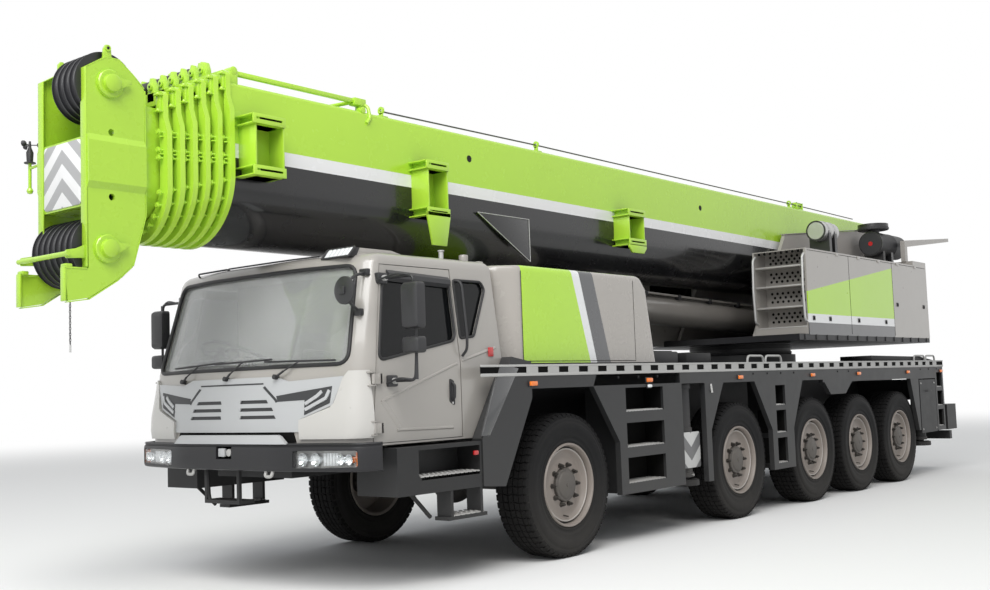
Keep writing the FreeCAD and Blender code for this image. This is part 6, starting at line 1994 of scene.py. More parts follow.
def edge_eye(forward, rise=0.075):
    """A rope eye on the boom's near top edge, on a small bolted foot."""
    side = section_half - 0.055
    high = section_high + rise
    return [
        lathe(
            "x", (forward, side, high),
            [(-0.008, 0.014), (-0.008, 0.036), (0.008, 0.036), (0.008, 0.014)], lime_paint, 20,
            hoop=True),
        slab(
            (forward - 0.008, side - 0.022, section_high - 0.01),
            (forward + 0.008, side + 0.022, high - 0.020), lime_paint, 0.003),
        slab(
            (forward - 0.060, side - 0.03, section_high - 0.005),
            (forward + 0.050, side + 0.03, section_high + 0.010), lime_paint, 0.003)]


def rod_ears():
    """The clevis under the boom that the lift cylinder's rod pins to."""
    eye, root, wide = (1.200, 2.540), section_low + 0.012, 0.120
    ear = [
        (eye[0] - 3 * wide, root), (eye[0] + 2 * wide, root), (eye[0] + wide, eye[1] - wide),
        (eye[0] - wide, eye[1] - wide)]
    parts = [
        prism("y", ear, (0.082, 0.130), boom_paint, 0.008),
        lathe(
            "y", (eye[0], 0, eye[1]), [(0.126, 0), (0.126, 0.085), (0.138, 0.085), (0.138, 0)],
            boom_paint, 24)]
    plate = prism(
        "y",
        [
            (eye[0] - 3 * wide, root - 0.024), (eye[0] + 2 * wide, root - 0.024),
            (eye[0] + 2 * wide, root + 0.006), (eye[0] - 3 * wide, root + 0.006)], (-0.130, 0.130),
        boom_paint, 0.004)
    return both_sides(parts) + [plate]


def pivot_bosses():
    pivot = (-6.050, 0, 3.525)
    return both_sides([lathe(
        "y", pivot, [(0.480, 0.092), (0.480, 0.170), (0.540, 0.170), (0.550, 0.160), (0.550, 0.092)],
        boom_paint, 32, hoop=True)])


tongue_outline = [
    (4.290, 3.200), (4.600, 3.200), (4.600, 3.160), (4.540, 2.890), (4.350, 2.890), (4.290, 3.160)]
tip_outline = [
    (0.890, 3.150), (1.250, 3.150), (1.250, 3.110), (1.190, 3.050), (0.950, 3.050), (0.890, 3.110)]
stay_outline = [(3.660, 3.300), (2.840, 3.300), (2.840, 2.860)]
base_parts = [section_tube(0, (boom_rear, collar_face - 0.02), boom_paint)] + collar_parts(0)
base_parts += rod_ears() + pivot_bosses()
for sizes in carriers:
    base_parts += carrier(*sizes)
base_parts += [
    prism("y", tongue_outline, (0.706, 0.730), lime_paint, 0.004),
    prism("y", tip_outline, (0.706, 0.730), lime_paint, 0.004),
    prism("y", stay_outline, (0.488, 0.526), boom_paint, 0.003)]
# Pale rods along the stay plate's edges make them bright: partly worn bare metal, partly a painted
# highlight.
base_parts += [
    rod((a[0], 0.528, a[1]), (b[0], 0.528, b[1]), 0.0045, galvanised, 6)
    for a, b in zip(stay_outline, stay_outline[1:] + stay_outline[:1])]
# Black discs on each side of the base stand for round holes: painted shade.
base_parts += [
    lathe(
        "y", (forward, 0, high),
        [
            (section_half - 0.004, 0), (section_half - 0.004, 0.036), (section_half + 0.0015, 0.034),
            (section_half + 0.0015, 0)], hole_shade, 20)
    for forward, high in ((3.730, 3.825), (-0.810, 3.785))]
base_parts += [
    slab(
        (place - 0.022, -0.060, section_high - 0.012), (place + 0.022, 0.060, section_high + 0.075),
        lime_paint, 0.012) for place in (4.880, 2.560, -3.550)]
base_parts += edge_eye(4.880, 0.060) + edge_eye(2.560, 0.075) + edge_eye(-3.550, 0.070)
rope_route = [(4.880, 4.118), (2.560, 4.135), (-3.550, 4.128), (-5.900, 4.110)]
base_parts += [
    rod((a[0], section_half - 0.055, a[1]), (b[0], section_half - 0.055, b[1]), 0.008, rope_steel, 8)
    for a, b in zip(rope_route, rope_route[1:])]
base_parts.append(
    slab((-3.980, 0.38, section_high - 0.01), (-3.780, 0.470, section_high + 0.010), lime_paint, 0.004))
base_parts += [
    slab((place, 0.38, section_high), (place + 0.014, 0.470, section_high + 0.105), lime_paint, 0.003)
    for place in (-3.980, -3.794)]
base_parts += [
    rod((-3.980, side, section_high + 0.095), (-3.780, side, section_high + 0.095), 0.008, lime_paint)
    for side in (0.39, 0.46)]


def top_rail():
    """The bar along the top edge that guides the jib's rope, with its block, end hook and struts."""
    rear, front, side, high = 5.110, 6.560, 0.420, 4.165
    return [
        slab(
            (rear, side - 0.022, high - 0.020), (front, side + 0.022, high + 0.020), lime_paint, 0.008),
        slab(
            (front - 0.050, side - 0.045, section_high - 0.01),
            (front + 0.030, side + 0.045, high + 0.004), lime_paint, 0.008),
        lathe(
            "y", (front - 0.010, side, high + 0.006),
            [(-0.045, 0), (-0.045, 0.036), (0.045, 0.036), (0.048, 0.03), (0.048, 0)], lime_paint, 20),
        slab(
            (rear - 0.030, side - 0.040, high - 0.040), (rear + 0.110, side + 0.040, high + 0.026),
            lime_paint, 0.006),
        slab(
            (rear, side - 0.030, section_high - 0.012), (rear + 0.044, side + 0.030, high - 0.03),
            lime_paint, 0.004),
        rod(
            (rear + 0.10, side - 0.02, high - 0.01), (rear + 0.42, side - 0.26, section_high), 0.018,
            lime_paint, 10),
        tube(
            [
                (rear - 0.02, side + 0.02, high - 0.02), (rear - 0.03, side + 0.060, high - 0.05),
                (rear - 0.03, side + 0.085, high - 0.15), (rear + 0.015, side + 0.085, high - 0.205)],
            0.017, lime_paint, 0.02),
        lathe(
            "y", (rear + 0.045, side, section_high + 0.012),
            [(0.020, 0), (0.020, 0.030), (0.078, 0.030), (0.080, 0.024), (0.080, 0)], lime_paint, 16)]


base_parts += top_rail()
wide_lug = [
    (0.130, 4.100), (0.270, 4.100), (0.270, 4.200), (0.245, 4.265), (0.165, 4.272), (0.130, 4.200)]
base_parts += both_sides(
    [prism("x", wide_lug, (collar_face - collar_thick - 0.004, collar_face + 0.004), lime_paint, 0.005)])
base_parts.append(slab((boom_rear, -0.30, 3.0), (boom_rear + 0.02, 0.30, 3.9), boom_paint, 0.006))
assemble("boom_base_tube", "boom_base", base_parts, replaces=["boom_section_1"])
for count in range(1, 6):
    node = f"boom_section_{count + 1}"
    rear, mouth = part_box(node)[0].x, collar_face + count * collar_pitch
    half, low = section_sizes(count)[:2]
    keel_pad = slab(
        (mouth - 0.300, -0.060, low + 0.006), (mouth, 0.060, low + low_step - 0.0020), trim_black, 0)
    tail = slab(
        (rear, -half + 0.05, low + 0.25), (rear + 0.02, half - 0.05, low + 0.9), lime_paint, 0.004)
    assemble(
        f"boom_tube_{count + 1}", node,
        [section_tube(count, (rear, mouth - 0.02), lime_paint), keel_pad, tail] + collar_parts(count),
        replaces=[node])


# The boom's head
# Two thick plates with wide flanges welded along their front edges, cross plates with a
# striped board between, and two pins with locked caps that carry the sheaves.
head_side, head_front = 0.330, 7.770
board_grey = (0.36, 0.36, 0.365, 1)
board_band, board_slope, board_apex = 0.212, 0.85, 3.437
# The head's lime is the boom's lime darkened: painted shade.
shaded_head_lime = (0.365, 0.600, 0.035, 1)
shaded_head_paint = painted(
    "shaded_head_paint", shaded_head_lime, 0.28, coat=0.5, dust_amount=0.05, dust_height=3.0, grain_depth=0.04)
dress(shaded_head_paint, "boom_head")


def arrow_bands(tree):
    """White and grey bands that meet in a point at the middle of the board."""
    parts = tree.nodes.new("ShaderNodeSeparateXYZ")
    tree.links.new(tree.nodes.new("ShaderNodeTexCoord").outputs["Object"], parts.inputs[0])
    across_by = math_node(tree, "ABSOLUTE", parts.outputs["Y"])
    level_by = math_node(tree, "MULTIPLY_ADD", across_by, board_slope, parts.outputs["Z"])
    share = math_node(
        tree, "FRACT",
        math_node(tree, "DIVIDE", math_node(tree, "SUBTRACT", level_by, board_apex), board_band))
    return blend_colours(tree, math_node(tree, "GREATER_THAN", share, 0.5), boom_white, board_grey)


board_paint = painted("board_paint", boom_white, 0.35, dust_amount=0.05, feed=arrow_bands)


def strap(axis, points, ends, thick, paint, bevel=0.004):
    """A flat bar bent along points and drawn out across them."""
    points = [Vector(point) for point in points]
    outer = []
    for k, here in enumerate(points):
        heading = (points[min(k + 1, len(points) - 1)] - points[max(k - 1, 0)]).normalized()
        outer.append(here + Vector((heading.y, -heading.x)) * thick)
    outline = [tuple(point) for point in points] + [tuple(point) for point in outer[::-1]]
    return prism(axis, outline, ends, paint, bevel)


def pin_cap(forward, high):
    """A stepped cap on a pin's end, kept by a triangular tab with a bolt."""
    tab = [
        (forward + 0.03, high + 0.055), (forward - 0.155, high + 0.045),
        (forward - 0.165, high + 0.020), (forward - 0.03, high - 0.055)]
    return [
        lathe(
            "y", (forward, 0, high),
            [
                (head_side - 0.01, 0), (head_side - 0.01, 0.105), (0.350, 0.105), (0.356, 0.098),
                (0.356, 0.070), (0.385, 0.066), (0.390, 0.058), (0.390, 0)], shaded_head_paint, 32),
        prism("y", tab, (0.356, 0.370), shaded_head_paint, 0.003),
        ring(
            bolt(0.011, 0.010, shaded_head_paint), shaded_head_paint, 1, 0, "y",
            Vector((forward - 0.115, 0.368, high + 0.028)))]


flange_route = [
    (7.766, 2.535), (7.766, 3.995), (7.608, 4.092), (7.502, 4.092), (7.382, 3.996), (7.292, 3.910)]
lug_route = [
    (7.555, 4.080), (7.562, 4.165), (7.580, 4.195), (7.605, 4.195), (7.622, 4.165), (7.630, 4.060)]
horn_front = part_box("boom_head")[1].x
near_plate = [
    strap("y", flange_route, (0.258, 0.332), 0.012, shaded_head_paint),
    strap(
        "y", [(7.405, 2.560), (7.532, 2.450), (7.760, 2.308), (7.930, 2.282)], (0.296, 0.334), 0.008,
        shaded_head_paint, 0.002),
    strap(
        "y", [(7.287, 3.900), (7.287, 2.946), (7.400, 2.562)], (0.298, 0.334), 0.008, shaded_head_paint, 0.002),
    slab((horn_front - 0.014, 0.278, 2.284), (horn_front + 0.002, 0.334, 2.527), shaded_head_paint, 0.004),
    slab((7.770, 0.290, 2.515), (horn_front, 0.334, 2.530), shaded_head_paint, 0.004),
    slab((horn_front - 0.062, 0.262, 2.524), (horn_front - 0.008, 0.336, 2.552), shaded_head_paint, 0.008),
    prism("y", lug_route, (0.300, 0.326), shaded_head_paint, 0.005),
    lathe(
        "y", (7.592, 0, 4.168), [(0.326, 0), (0.326, 0.024), (0.334, 0.024), (0.334, 0)], shaded_head_paint, 16),
    # A black disc on the lug is painted shade in its hole.
    lathe(
        "y", (7.592, 0, 4.168), [(0.334, 0), (0.334, 0.012), (0.336, 0.011), (0.336, 0)], hole_shade, 12),
    prism(
        "y",
        [
            (7.770, 2.700), (7.770, 2.600), (7.925, 2.590), (7.945, 2.615), (7.925, 2.650),
            (7.850, 2.665)], (0.302, 0.318), shaded_head_paint, 0.003)]
for place in ((7.580, 3.900), (7.610, 2.675)):
    near_plate += pin_cap(*place)
head_parts = both_sides(near_plate) + [
    rod((7.925, -0.345, 2.622), (7.925, 0.345, 2.622), 0.019, shaded_head_paint),
    rod((7.560, -0.31, 3.020), (7.560, 0.31, 3.020), 0.016, shaded_head_paint),
    prism(
        "x", round_corners([(-0.252, 3.000), (0.252, 3.000), (0.252, 3.480), (-0.252, 3.480)], 0.035),
        (head_front - 0.006, head_front + 0.003), board_paint, 0.001)]
head_parts += [
    ring(
        bolt(0.009, 0.006, black_steel), black_steel, 1, 0, "x",
        Vector((head_front + 0.002, side, high))) for side in (-0.10, 0.10) for high in (3.458, 3.022)]
mast = (7.700, -0.590)
head_parts += [
    rod((*mast, 3.225), (*mast, 3.460), 0.013, shaded_head_paint),
    lathe(
        "z", (*mast, 3.215), [(-0.026, 0), (-0.020, 0.018), (0, 0.026), (0.020, 0.018), (0.026, 0)],
        shaded_head_paint, 12), rod((7.700, -0.330, 3.405), (*mast, 3.390), 0.011, shaded_head_paint),
    lathe(
        "z", (*mast, 3.430),
        [
            (0, 0.044), (0.008, 0.044), (0.014, 0.024), (0.085, 0.028), (0.125, 0.012), (0.175, 0.008),
            (0.175, 0)], trim_black, 16)]
for turn in (0.4, 2.5, 4.6):
    tip = Vector((mast[0] + 0.075 * math.cos(turn), mast[1] + 0.075 * math.sin(turn), 3.575))
    head_parts.append(rod((*mast, 3.575), tip, 0.004, trim_black, 6))
    cup = lathe(
        "y", (0, 0, 0),
        [(-0.004, 0.024), (0.012, 0.021), (0.024, 0.0), (0.018, 0.016), (-0.004, 0.021)], trim_black,
        12, 60)
    head_parts.append(placed(cup, Matrix.Translation(tip) @ Matrix.Rotation(turn, 4, "Z")))
link_outline = [
    (0.006 * math.cos(t), 0.014 * math.sin(t)) for t in (2 * math.pi * n / 8 for n in range(8))]
for number in range(15):
    centre = Vector((7.890, 0.300, 2.272 - 0.020 * number))
    points = [
        centre + (Vector((a, 0, b)) if number % 2 else Vector((0, a, b))) for a, b in link_outline]
    head_parts.append(closed_tube(points, 0.0028, rope_steel, 5))
head_parts += [
    rod((7.890, 0.300, 1.978), (7.890, 0.300, 1.925), 0.007, galvanised),
    rod((7.890, 0.300, 2.286), (7.890, 0.300, 2.262), 0.006, galvanised)]
assemble("head_fittings", "boom_top", head_parts)

# The sheaves
# Cast nylon wheels, black, side by side on each pin, with a round groove in each rim.
sheave_nylon = painted(
    "sheave_nylon", (0.014, 0.014, 0.017, 1), 0.38, dust_amount=0.06, dust_height=3.0, mottle=0.2)
sheave_radius = 0.250
sheave_parts = []
for (forward, high), start, count in (((7.580, 3.900), -0.039, 4), ((7.610, 2.675), -0.273, 7)):
    profile = [(start, 0.055), (start, sheave_radius)]
    for number in range(count):
        first = start + 0.078 * number
        profile += [(first + 0.007, sheave_radius)]
        profile += [
            (first + 0.039 - 0.032 * math.cos(t), sheave_radius - 0.003 - 0.037 * math.sin(t))
            for t in (math.pi * n / 6 for n in range(7))]
        profile += [(first + 0.071, sheave_radius)]
    profile += [(start + 0.078 * count, sheave_radius), (start + 0.078 * count, 0.055)]
    sheave_parts.append(lathe("y", (forward, 0, high), profile, sheave_nylon, 64, 40, hoop=True))
assemble("grooved_sheaves", "boom_top", sheave_parts, replaces=["head_sheaves"])


# The turntable and the machinery
# Welded cheeks, grey above and black below, stand on a bolted slewing ring and carry
# sheet-steel housings with coloured bands, punched front doors and steps.
housing_grey = (0.345, 0.325, 0.300, 1)
cheek_black = (0.014, 0.014, 0.016, 1)
cheek_grey = (0.33, 0.31, 0.29, 1)


def cheek_colours(tree):
    """Black low down, pale grey higher up."""
    parts = tree.nodes.new("ShaderNodeSeparateXYZ")
    tree.links.new(tree.nodes.new("ShaderNodeTexCoord").outputs["Object"], parts.inputs[0])
    return blend_colours(
        tree, math_node(tree, "GREATER_THAN", parts.outputs["Z"], 2.145), cheek_black, cheek_grey)


def fitting_colours(tree):
    """The tail arm in the housing's grey, the drums' saddles and the cleaner in black."""
    parts = tree.nodes.new("ShaderNodeSeparateXYZ")
    tree.links.new(tree.nodes.new("ShaderNodeTexCoord").outputs["Object"], parts.inputs[0])
    return blend_colours(
        tree, math_node(tree, "GREATER_THAN", parts.outputs["Y"], 1.19), (0.012, 0.012, 0.013, 1),
        housing_grey)


def side_bands(tree):
    """Lime over white over charcoal on the front part, plain grey behind it."""
    parts = tree.nodes.new("ShaderNodeSeparateXYZ")
    tree.links.new(tree.nodes.new("ShaderNodeTexCoord").outputs["Object"], parts.inputs[0])
    forward, high = parts.outputs["X"], parts.outputs["Z"]
    top = math_node(tree, "MULTIPLY_ADD", math_node(tree, "SUBTRACT", forward, -1.96), -0.156, 2.695)
    in_front = math_node(tree, "GREATER_THAN", forward, -4.965)
    outside = math_node(tree, "GREATER_THAN", math_node(tree, "ABSOLUTE", parts.outputs["Y"]), 1.368)
    banded_side = math_node(tree, "MULTIPLY", in_front, outside)
    colour = blend_colours(tree, math_node(tree, "GREATER_THAN", high, 2.285), band_dark, band_white)
    colour = blend_colours(tree, math_node(tree, "GREATER_THAN", high, 2.400), colour, lime)
    colour = blend_colours(tree, math_node(tree, "GREATER_THAN", high, top), colour, housing_grey)
    return blend_colours(tree, banded_side, housing_grey, colour)


cheek_paint = painted(
    "cheek_paint", cheek_grey, 0.40, gloss=0.3, dust_amount=0.03, dust_height=2.4, feed=cheek_colours)
housing_paint = painted(
    "housing_paint", housing_grey, 0.30, coat=0.6, dust_amount=0.10, dust_height=2.6, grain_depth=0.03,
    feed=side_bands)
fitting_paint = painted(
    "fitting_paint", housing_grey, 0.36, coat=0.3, dust_amount=0.05, dust_height=3.0,
    feed=fitting_colours)
bare_drum = painted("bare_drum", (0.50, 0.50, 0.49, 1), 0.34, metallic=0.8, mottle=0.2, dust_amount=0.1)
dress(cheek_paint, "turntable")
dress(housing_paint, "machinery_housings")
dress(fitting_paint, "roof_fittings")
slew_middle = Vector((-2.650, 0, 0))
ring_parts = [
    lathe(
        "z", slew_middle,
        [
            (1.900, 0.60), (1.900, 0.702), (1.915, 0.712), (1.945, 0.712), (1.950, 0.695),
            (1.985, 0.695), (1.990, 0.708), (2.040, 0.708), (2.052, 0.69), (2.052, 0.60)], black_steel,
        64, hoop=True),
    ring(
        bolt(0.014, 0.014, black_steel), black_steel, 36, 0.672, "z",
        slew_middle + Vector((0, 0, 2.054))),
    row(
        slab((-0.020, 1.372, 2.060), (0.020, 1.384, 2.130), black_steel, 0.003), black_steel, 14,
        (-6.30, 0, 0), (0.345, 0, 0)),
    row(
        slab((-0.020, -1.384, 2.060), (0.020, -1.372, 2.130), black_steel, 0.003), black_steel, 14,
        (-6.30, 0, 0), (0.345, 0, 0))]
cheek_edge = [(-3.000, 3.605), (-5.650, 3.885), (-6.330, 3.885)]
for side in (-1, 1):
    low, high = (0.548, 0.622) if side > 0 else (-0.622, -0.548)
    ring_parts.append(strap("y", cheek_edge[::-1], (low, high), -0.010, cheek_paint, 0.002))
    for forward, level, radius in ((-6.050, 3.525, 0.150), (-3.650, 2.400, 0.135)):
        out = 0.610 * side
        ring_parts.append(lathe(
            "y", (forward, 0, level),
            [
                (out - 0.004 * side, 0), (out - 0.004 * side, radius),
                (out + 0.010 * side, radius - 0.008), (out + 0.010 * side, 0.075),
                (out + 0.024 * side, 0.070), (out + 0.024 * side, 0)], cheek_paint, 32))
assemble("slewing_ring", "superstructure", ring_parts)

# The machinery housings' doors
# Three staggered rows of round holes in each front door, shelves that double as steps,
# black slam latches and small hinges.
hole_across = 0.078
front_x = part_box("machinery_housings")[1].x
recess_x = front_x - 0.320
panel_places = ((2.235, 2.505), (2.505, 2.785), (2.785, 3.045), (3.045, 3.265))


def punched(forward, low, high, side):
    """Rows of holes, each a near-black disc of painted shade with a pressed rim, in a door's face."""
    parts = []
    eye = lathe(
        "x", (0, 0, 0), [(-0.001, 0), (0.0012, 0.015), (0.002, 0.018), (0, 0.019)], recess_black, 10)
    for number, high_place in enumerate((0.28, 0.5, 0.72)):
        count = 8 if number != 1 else 7
        level = low + (high - low) * high_place
        start = side - hole_across * (count - 1) / 2
        parts.append(row(eye, recess_black, count, (forward, start, level), (0, hole_across, 0)))
    return parts


machine_parts = []
for low, high in panel_places:
    machine_parts += punched(recess_x + 0.001, low + 0.025, high, 1.0)
    machine_parts.append(slab(
        (recess_x - 0.004, 0.655, low - 0.004), (front_x + 0.003, 1.345, low + 0.006), galvanised, 0.003))
# A row of near-black discs across the top is painted shade in holes.
machine_parts.append(row(
    lathe("x", (0, 0, 0), [(-0.001, 0), (0.001, 0.014), (0.003, 0.017), (0, 0.020)], recess_black, 10),
    recess_black, 8, (front_x, 0.72, 3.232), (0, 0.08, 0)))
# A near-black patch on each latch is painted shade in its grip.
latch = [
    slab((-0.035, 0, -0.030), (0.035, 0.010, 0.030), trim_black, 0.006),
    slab((-0.012, 0.008, -0.024), (0.012, 0.016, 0.012), recess_black, 0.003)]
outer_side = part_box("machinery_housings")[1].y
for side in (-1, 1):
    for forward, level in (
        (-2.10, 2.345), (-2.62, 2.345), (-3.60, 2.345), (-4.62, 2.345), (-5.12, 2.62), (-6.25, 2.62)):
        if side < 0 and forward > -2.70:
            continue
        for part in latch:
            out = outer_side if side > 0 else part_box("machinery_housings")[0].y
            turn = Matrix.Translation((forward, out, level)) @ Matrix.Diagonal((1, side, 1, 1))
            copy = placed(part, turn)
            if side < 0:
                copy.flip_normals()
            machine_parts.append(copy)
    out = outer_side + 0.0015 if side > 0 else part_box("machinery_housings")[0].y - 0.0015
    for forward in ((-3.34, -4.965) if side > 0 else (-3.60, -4.965)):
        machine_parts.append(
            slab((forward - 0.004, out - 0.003, 2.150), (forward + 0.004, out, 3.240), recess_black, 0))
    machine_parts.append(
        slab((-6.40, out - 0.003, 3.236), (-2.75 if side < 0 else -2.00, out, 3.242), recess_black, 0))
    machine_parts.append(row(
        slab((-0.045, out - 0.002, 3.215), (0.045, out + 0.008, 3.262), housing_paint, 0.004),
        housing_paint, 5, (-5.95, 0, 0), (0.75, 0, 0)))
for side in (0.648, 1.352):
    machine_parts.append(tube(
        [
            (front_x - 0.02, side, 2.300), (front_x + 0.050, side, 2.320),
            (front_x + 0.075, side, 2.740), (front_x + 0.050, side, 3.160),
            (front_x - 0.02, side, 3.200)], 0.017, galvanised, 0.06))
for forward in (-3.05, -4.15, -5.25):
    machine_parts.append(
        slab((forward - 0.40, 0.70, 3.262), (forward + 0.40, 1.30, 3.272), housing_paint, 0.003))
# Near-black slots on the rear face are painted shade in its openings.
for level in (2.30, 2.52, 2.74, 2.96):
    machine_parts.append(row(
        slab((-0.003, 0.72, level), (0.004, 1.28, level + 0.10), recess_black, 0.001), recess_black, 1,
        (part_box("machinery_housings")[0].x, 0, 0), (0, 0, 0)))
assemble("housing_doors", "superstructure", machine_parts)

# On top of the housings
# An aluminised silencer in straps, a black air cleaner with a mushroom cap and a
# ribbed duct, and what stands round them on the roof.
roof_parts = [
    lathe(
        "x", (0, 0.950, 3.645),
        [(-3.783, 0), (-3.783, 0.120), (-3.770, 0.146), (-3.310, 0.146), (-3.288, 0.120), (-3.288, 0)],
        bare_drum, 40),
    lathe(
        "x", (0, 0.950, 3.645), [(-3.66, 0.148), (-3.66, 0.153), (-3.62, 0.153), (-3.62, 0.148)],
        galvanised, 40, hoop=True),
    lathe(
        "x", (0, 0.950, 3.645), [(-3.46, 0.148), (-3.46, 0.153), (-3.42, 0.153), (-3.42, 0.148)],
        galvanised, 40, hoop=True),
    lathe(
        "x", (0, 0.950, 3.610),
        [
            (-6.352, 0), (-6.352, 0.165), (-6.335, 0.192), (-5.95, 0.192), (-5.94, 0.196),
            (-5.90, 0.196), (-5.89, 0.192), (-5.330, 0.192), (-5.305, 0.170), (-5.305, 0)], trim_black,
        40),
    lathe(
        "x", (-5.305, 0.950, 3.610), [(-0.002, 0), (-0.002, 0.035), (0.003, 0.034), (0.003, 0)],
        glowing_red_lens, 20),
    lathe(
        "z", (-5.450, 0.950, 0),
        [
            (3.76, 0.090), (3.826, 0.092), (3.826, 0.225), (3.836, 0.234), (3.868, 0.234),
            (3.905, 0.205), (3.922, 0.150), (3.922, 0)], trim_black, 40),
    ring(
        slab((0.175, -0.012, 3.832), (0.236, 0.012, 3.862), trim_black, 0.004), trim_black, 16, 0.0001,
        "z", Vector((-5.450, 0.950, 0)))]
assemble("roof_trims", "superstructure", roof_parts)


# The operator's cab
# A welded box with a raked screen beside the boom, glazed in tinted panes bonded
# over black borders, its sliding door on rails, with a wiper and a grab bar.
booth_outer, booth_inner = -1.380, -0.640
dress(cab_paint, "operator_cab", "operator_door")
booth_parts = [
    prism(
        "y", [(-1.012, 2.338), (-1.236, 3.452), (-1.244, 3.452), (-1.020, 2.338)],
        (booth_outer + 0.044, booth_inner - 0.044), screen_glass, 0),
    slab((-2.515, booth_inner - 0.024, 2.700), (-1.335, booth_inner - 0.018, 3.450), dark_glass, 0),
    slab((-2.262, booth_outer + 0.030, 2.190), (-1.498, booth_outer + 0.036, 3.412), dark_glass, 0),
    tube([(-1.075, -0.90, 3.45), (-1.045, -0.95, 3.30), (-1.000, -1.05, 2.95)], 0.009, trim_black),
    rod((-1.035, -1.050, 3.270), (-0.975, -1.050, 2.640), 0.008, trim_black, 6),
    tube(
        [
            (-1.40, booth_outer + 0.002, 2.52), (-1.38, booth_outer - 0.035, 2.54),
            (-1.38, booth_outer - 0.035, 3.20), (-1.40, booth_outer + 0.002, 3.22)], 0.012, trim_black,
        0.03),
    slab((-2.605, booth_outer - 0.004, 3.545), (-1.235, booth_inner + 0.004, 3.566), cab_paint, 0.006),
    slab((-2.45, -1.20, 3.560), (-1.75, -0.82, 3.590), cab_paint, 0.012),
    slab((-2.608, -1.10, 2.75), (-2.598, -0.80, 2.76), recess_black, 0),
    slab((-2.604, -1.28, 2.55), (-2.598, -0.74, 2.56), recess_black, 0)]
assemble("booth_glazing", "superstructure", booth_parts)
door_glazing = [
    slab((-2.262, -1.412, 2.700), (-1.498, -1.404, 3.412), dark_glass, 0),
    rod((-1.475, -1.425, 2.58), (-1.475, -1.444, 2.58), 0.009, galvanised),
    tube(
        [
            (-1.462, -1.424, 2.62), (-1.462, -1.452, 2.64), (-1.462, -1.452, 2.86),
            (-1.462, -1.424, 2.88)], 0.009, trim_black, 0.02)]
assemble("booth_door_glazing", "operator_door", door_glazing)

# The winch
# A grooved drum between flanges, painted black, with its steel rope wound in level wraps.
dress(trim_black, "winch")
winch_middle = (-4.900, 0, 2.450)
rope_pitch, wraps = 0.022, 26
rope_profile = [(-0.298, 0.205)]
for number in range(wraps):
    start = -0.292 + rope_pitch * number
    rope_profile += [
        (start + rope_pitch / 2 - 0.011 * math.cos(t), 0.236 + 0.011 * math.sin(t))
        for t in (math.pi * n / 4 for n in range(5))]
rope_profile.append((0.290, 0.205))
winch_parts = [lathe("y", winch_middle, rope_profile, rope_steel, 48, 60, hoop=True)]
for side in (-1, 1):
    winch_parts.append(lathe(
        "y", winch_middle,
        [
            (side * 0.331, 0), (side * 0.331, 0.150), (side * 0.345, 0.140), (side * 0.345, 0.07),
            (side * 0.360, 0.06), (side * 0.360, 0)], trim_black, 32))
assemble("wound_rope", "winch", winch_parts)

# The lift cylinder
# A thick honed tube, sprayed with the machine, with a threaded gland, a pipe clamped
# along it to the far port, and a lock valve with bent steel pipes near its foot.
ram_grey = (0.20, 0.185, 0.168, 1)
ram_paint = painted("ram_paint", ram_grey, 0.30, coat=0.5, dust_amount=0.10, dust_height=2.6)
chrome = painted("chrome", (0.62, 0.62, 0.62, 1), 0.12, metallic=1.0, dust_amount=0.0, grain_depth=0.0)
pipe_black = painted("pipe_black", (0.010, 0.010, 0.011, 1), 0.55, dust_amount=0.05)
dress(ram_paint, "lift_barrel")
dress(chrome, "lift_rod")
ram_turn = (Matrix.Translation((-3.650, 0, 2.400)) @ Matrix.Rotation(-math.atan2(0.140, 4.850), 4, "Y"))
ram_parts = [
    lathe(
        "x", (0, 0, 0),
        [(4.330, 0.188), (4.335, 0.202), (4.470, 0.204), (4.484, 0.196), (4.484, 0.122)], ram_paint, 48,
        hoop=True),
    lathe(
        "x", (0, 0, 0), [(0.300, 0.188), (0.305, 0.200), (0.370, 0.200), (0.375, 0.188)], ram_paint, 48,
        hoop=True),
    ring(bolt(0.012, 0.012, black_steel), black_steel, 12, 0.160, "x", Vector((4.484, 0, 0))),
    tube(
        [
            (0.62, 0.120, 0.150), (0.62, 0.150, 0.180), (1.2, 0.150, 0.186), (4.20, 0.150, 0.186),
            (4.26, 0.120, 0.150)], 0.016, ram_paint, 0.05),
    slab((0.50, 0.080, 0.120), (0.74, 0.200, 0.205), ram_paint, 0.010),
    slab((4.19, 0.080, 0.120), (4.32, 0.180, 0.190), ram_paint, 0.010)]
for forward in (1.3, 2.1, 2.9, 3.7):
    ram_parts.append(
        slab((forward - 0.03, 0.110, 0.140), (forward + 0.03, 0.180, 0.206), black_steel, 0.006))
for number, (low, high) in enumerate(((0.150, 0.06), (0.170, 0.10), (0.190, 0.02))):
    forward = 0.56 + 0.06 * number
    ram_parts.append(tube(
        [
            (forward, low, 0.19), (forward - 0.02, low + 0.02, 0.23),
            (forward - 0.16, low + 0.03, 0.22), (forward - 0.34, low + 0.02, high),
            (forward - 0.42, low, -0.10)], 0.012, pipe_black, 0.05))
assemble(
    "cylinder_fittings", "lift_barrel", [placed(part, ram_turn) for part in ram_parts])

# The outriggers
# Box beams with black jack tubes on their ends, a striped guard over each front jack,
# and forged floats; the rear jacks carry covers in the skirt's charcoal.
dress(
    black_steel,
    *[f"outrigger_leg_{end}_{side}" for end in ("front", "rear") for side in ("left", "right")])
dress(trim_black, "outrigger_beam_front_left", "outrigger_beam_front_right")
dress(chassis_paint, "outrigger_beam_rear_left", "outrigger_beam_rear_right")
guard_white, guard_grey = (0.56, 0.56, 0.55, 1), (0.155, 0.155, 0.158, 1)


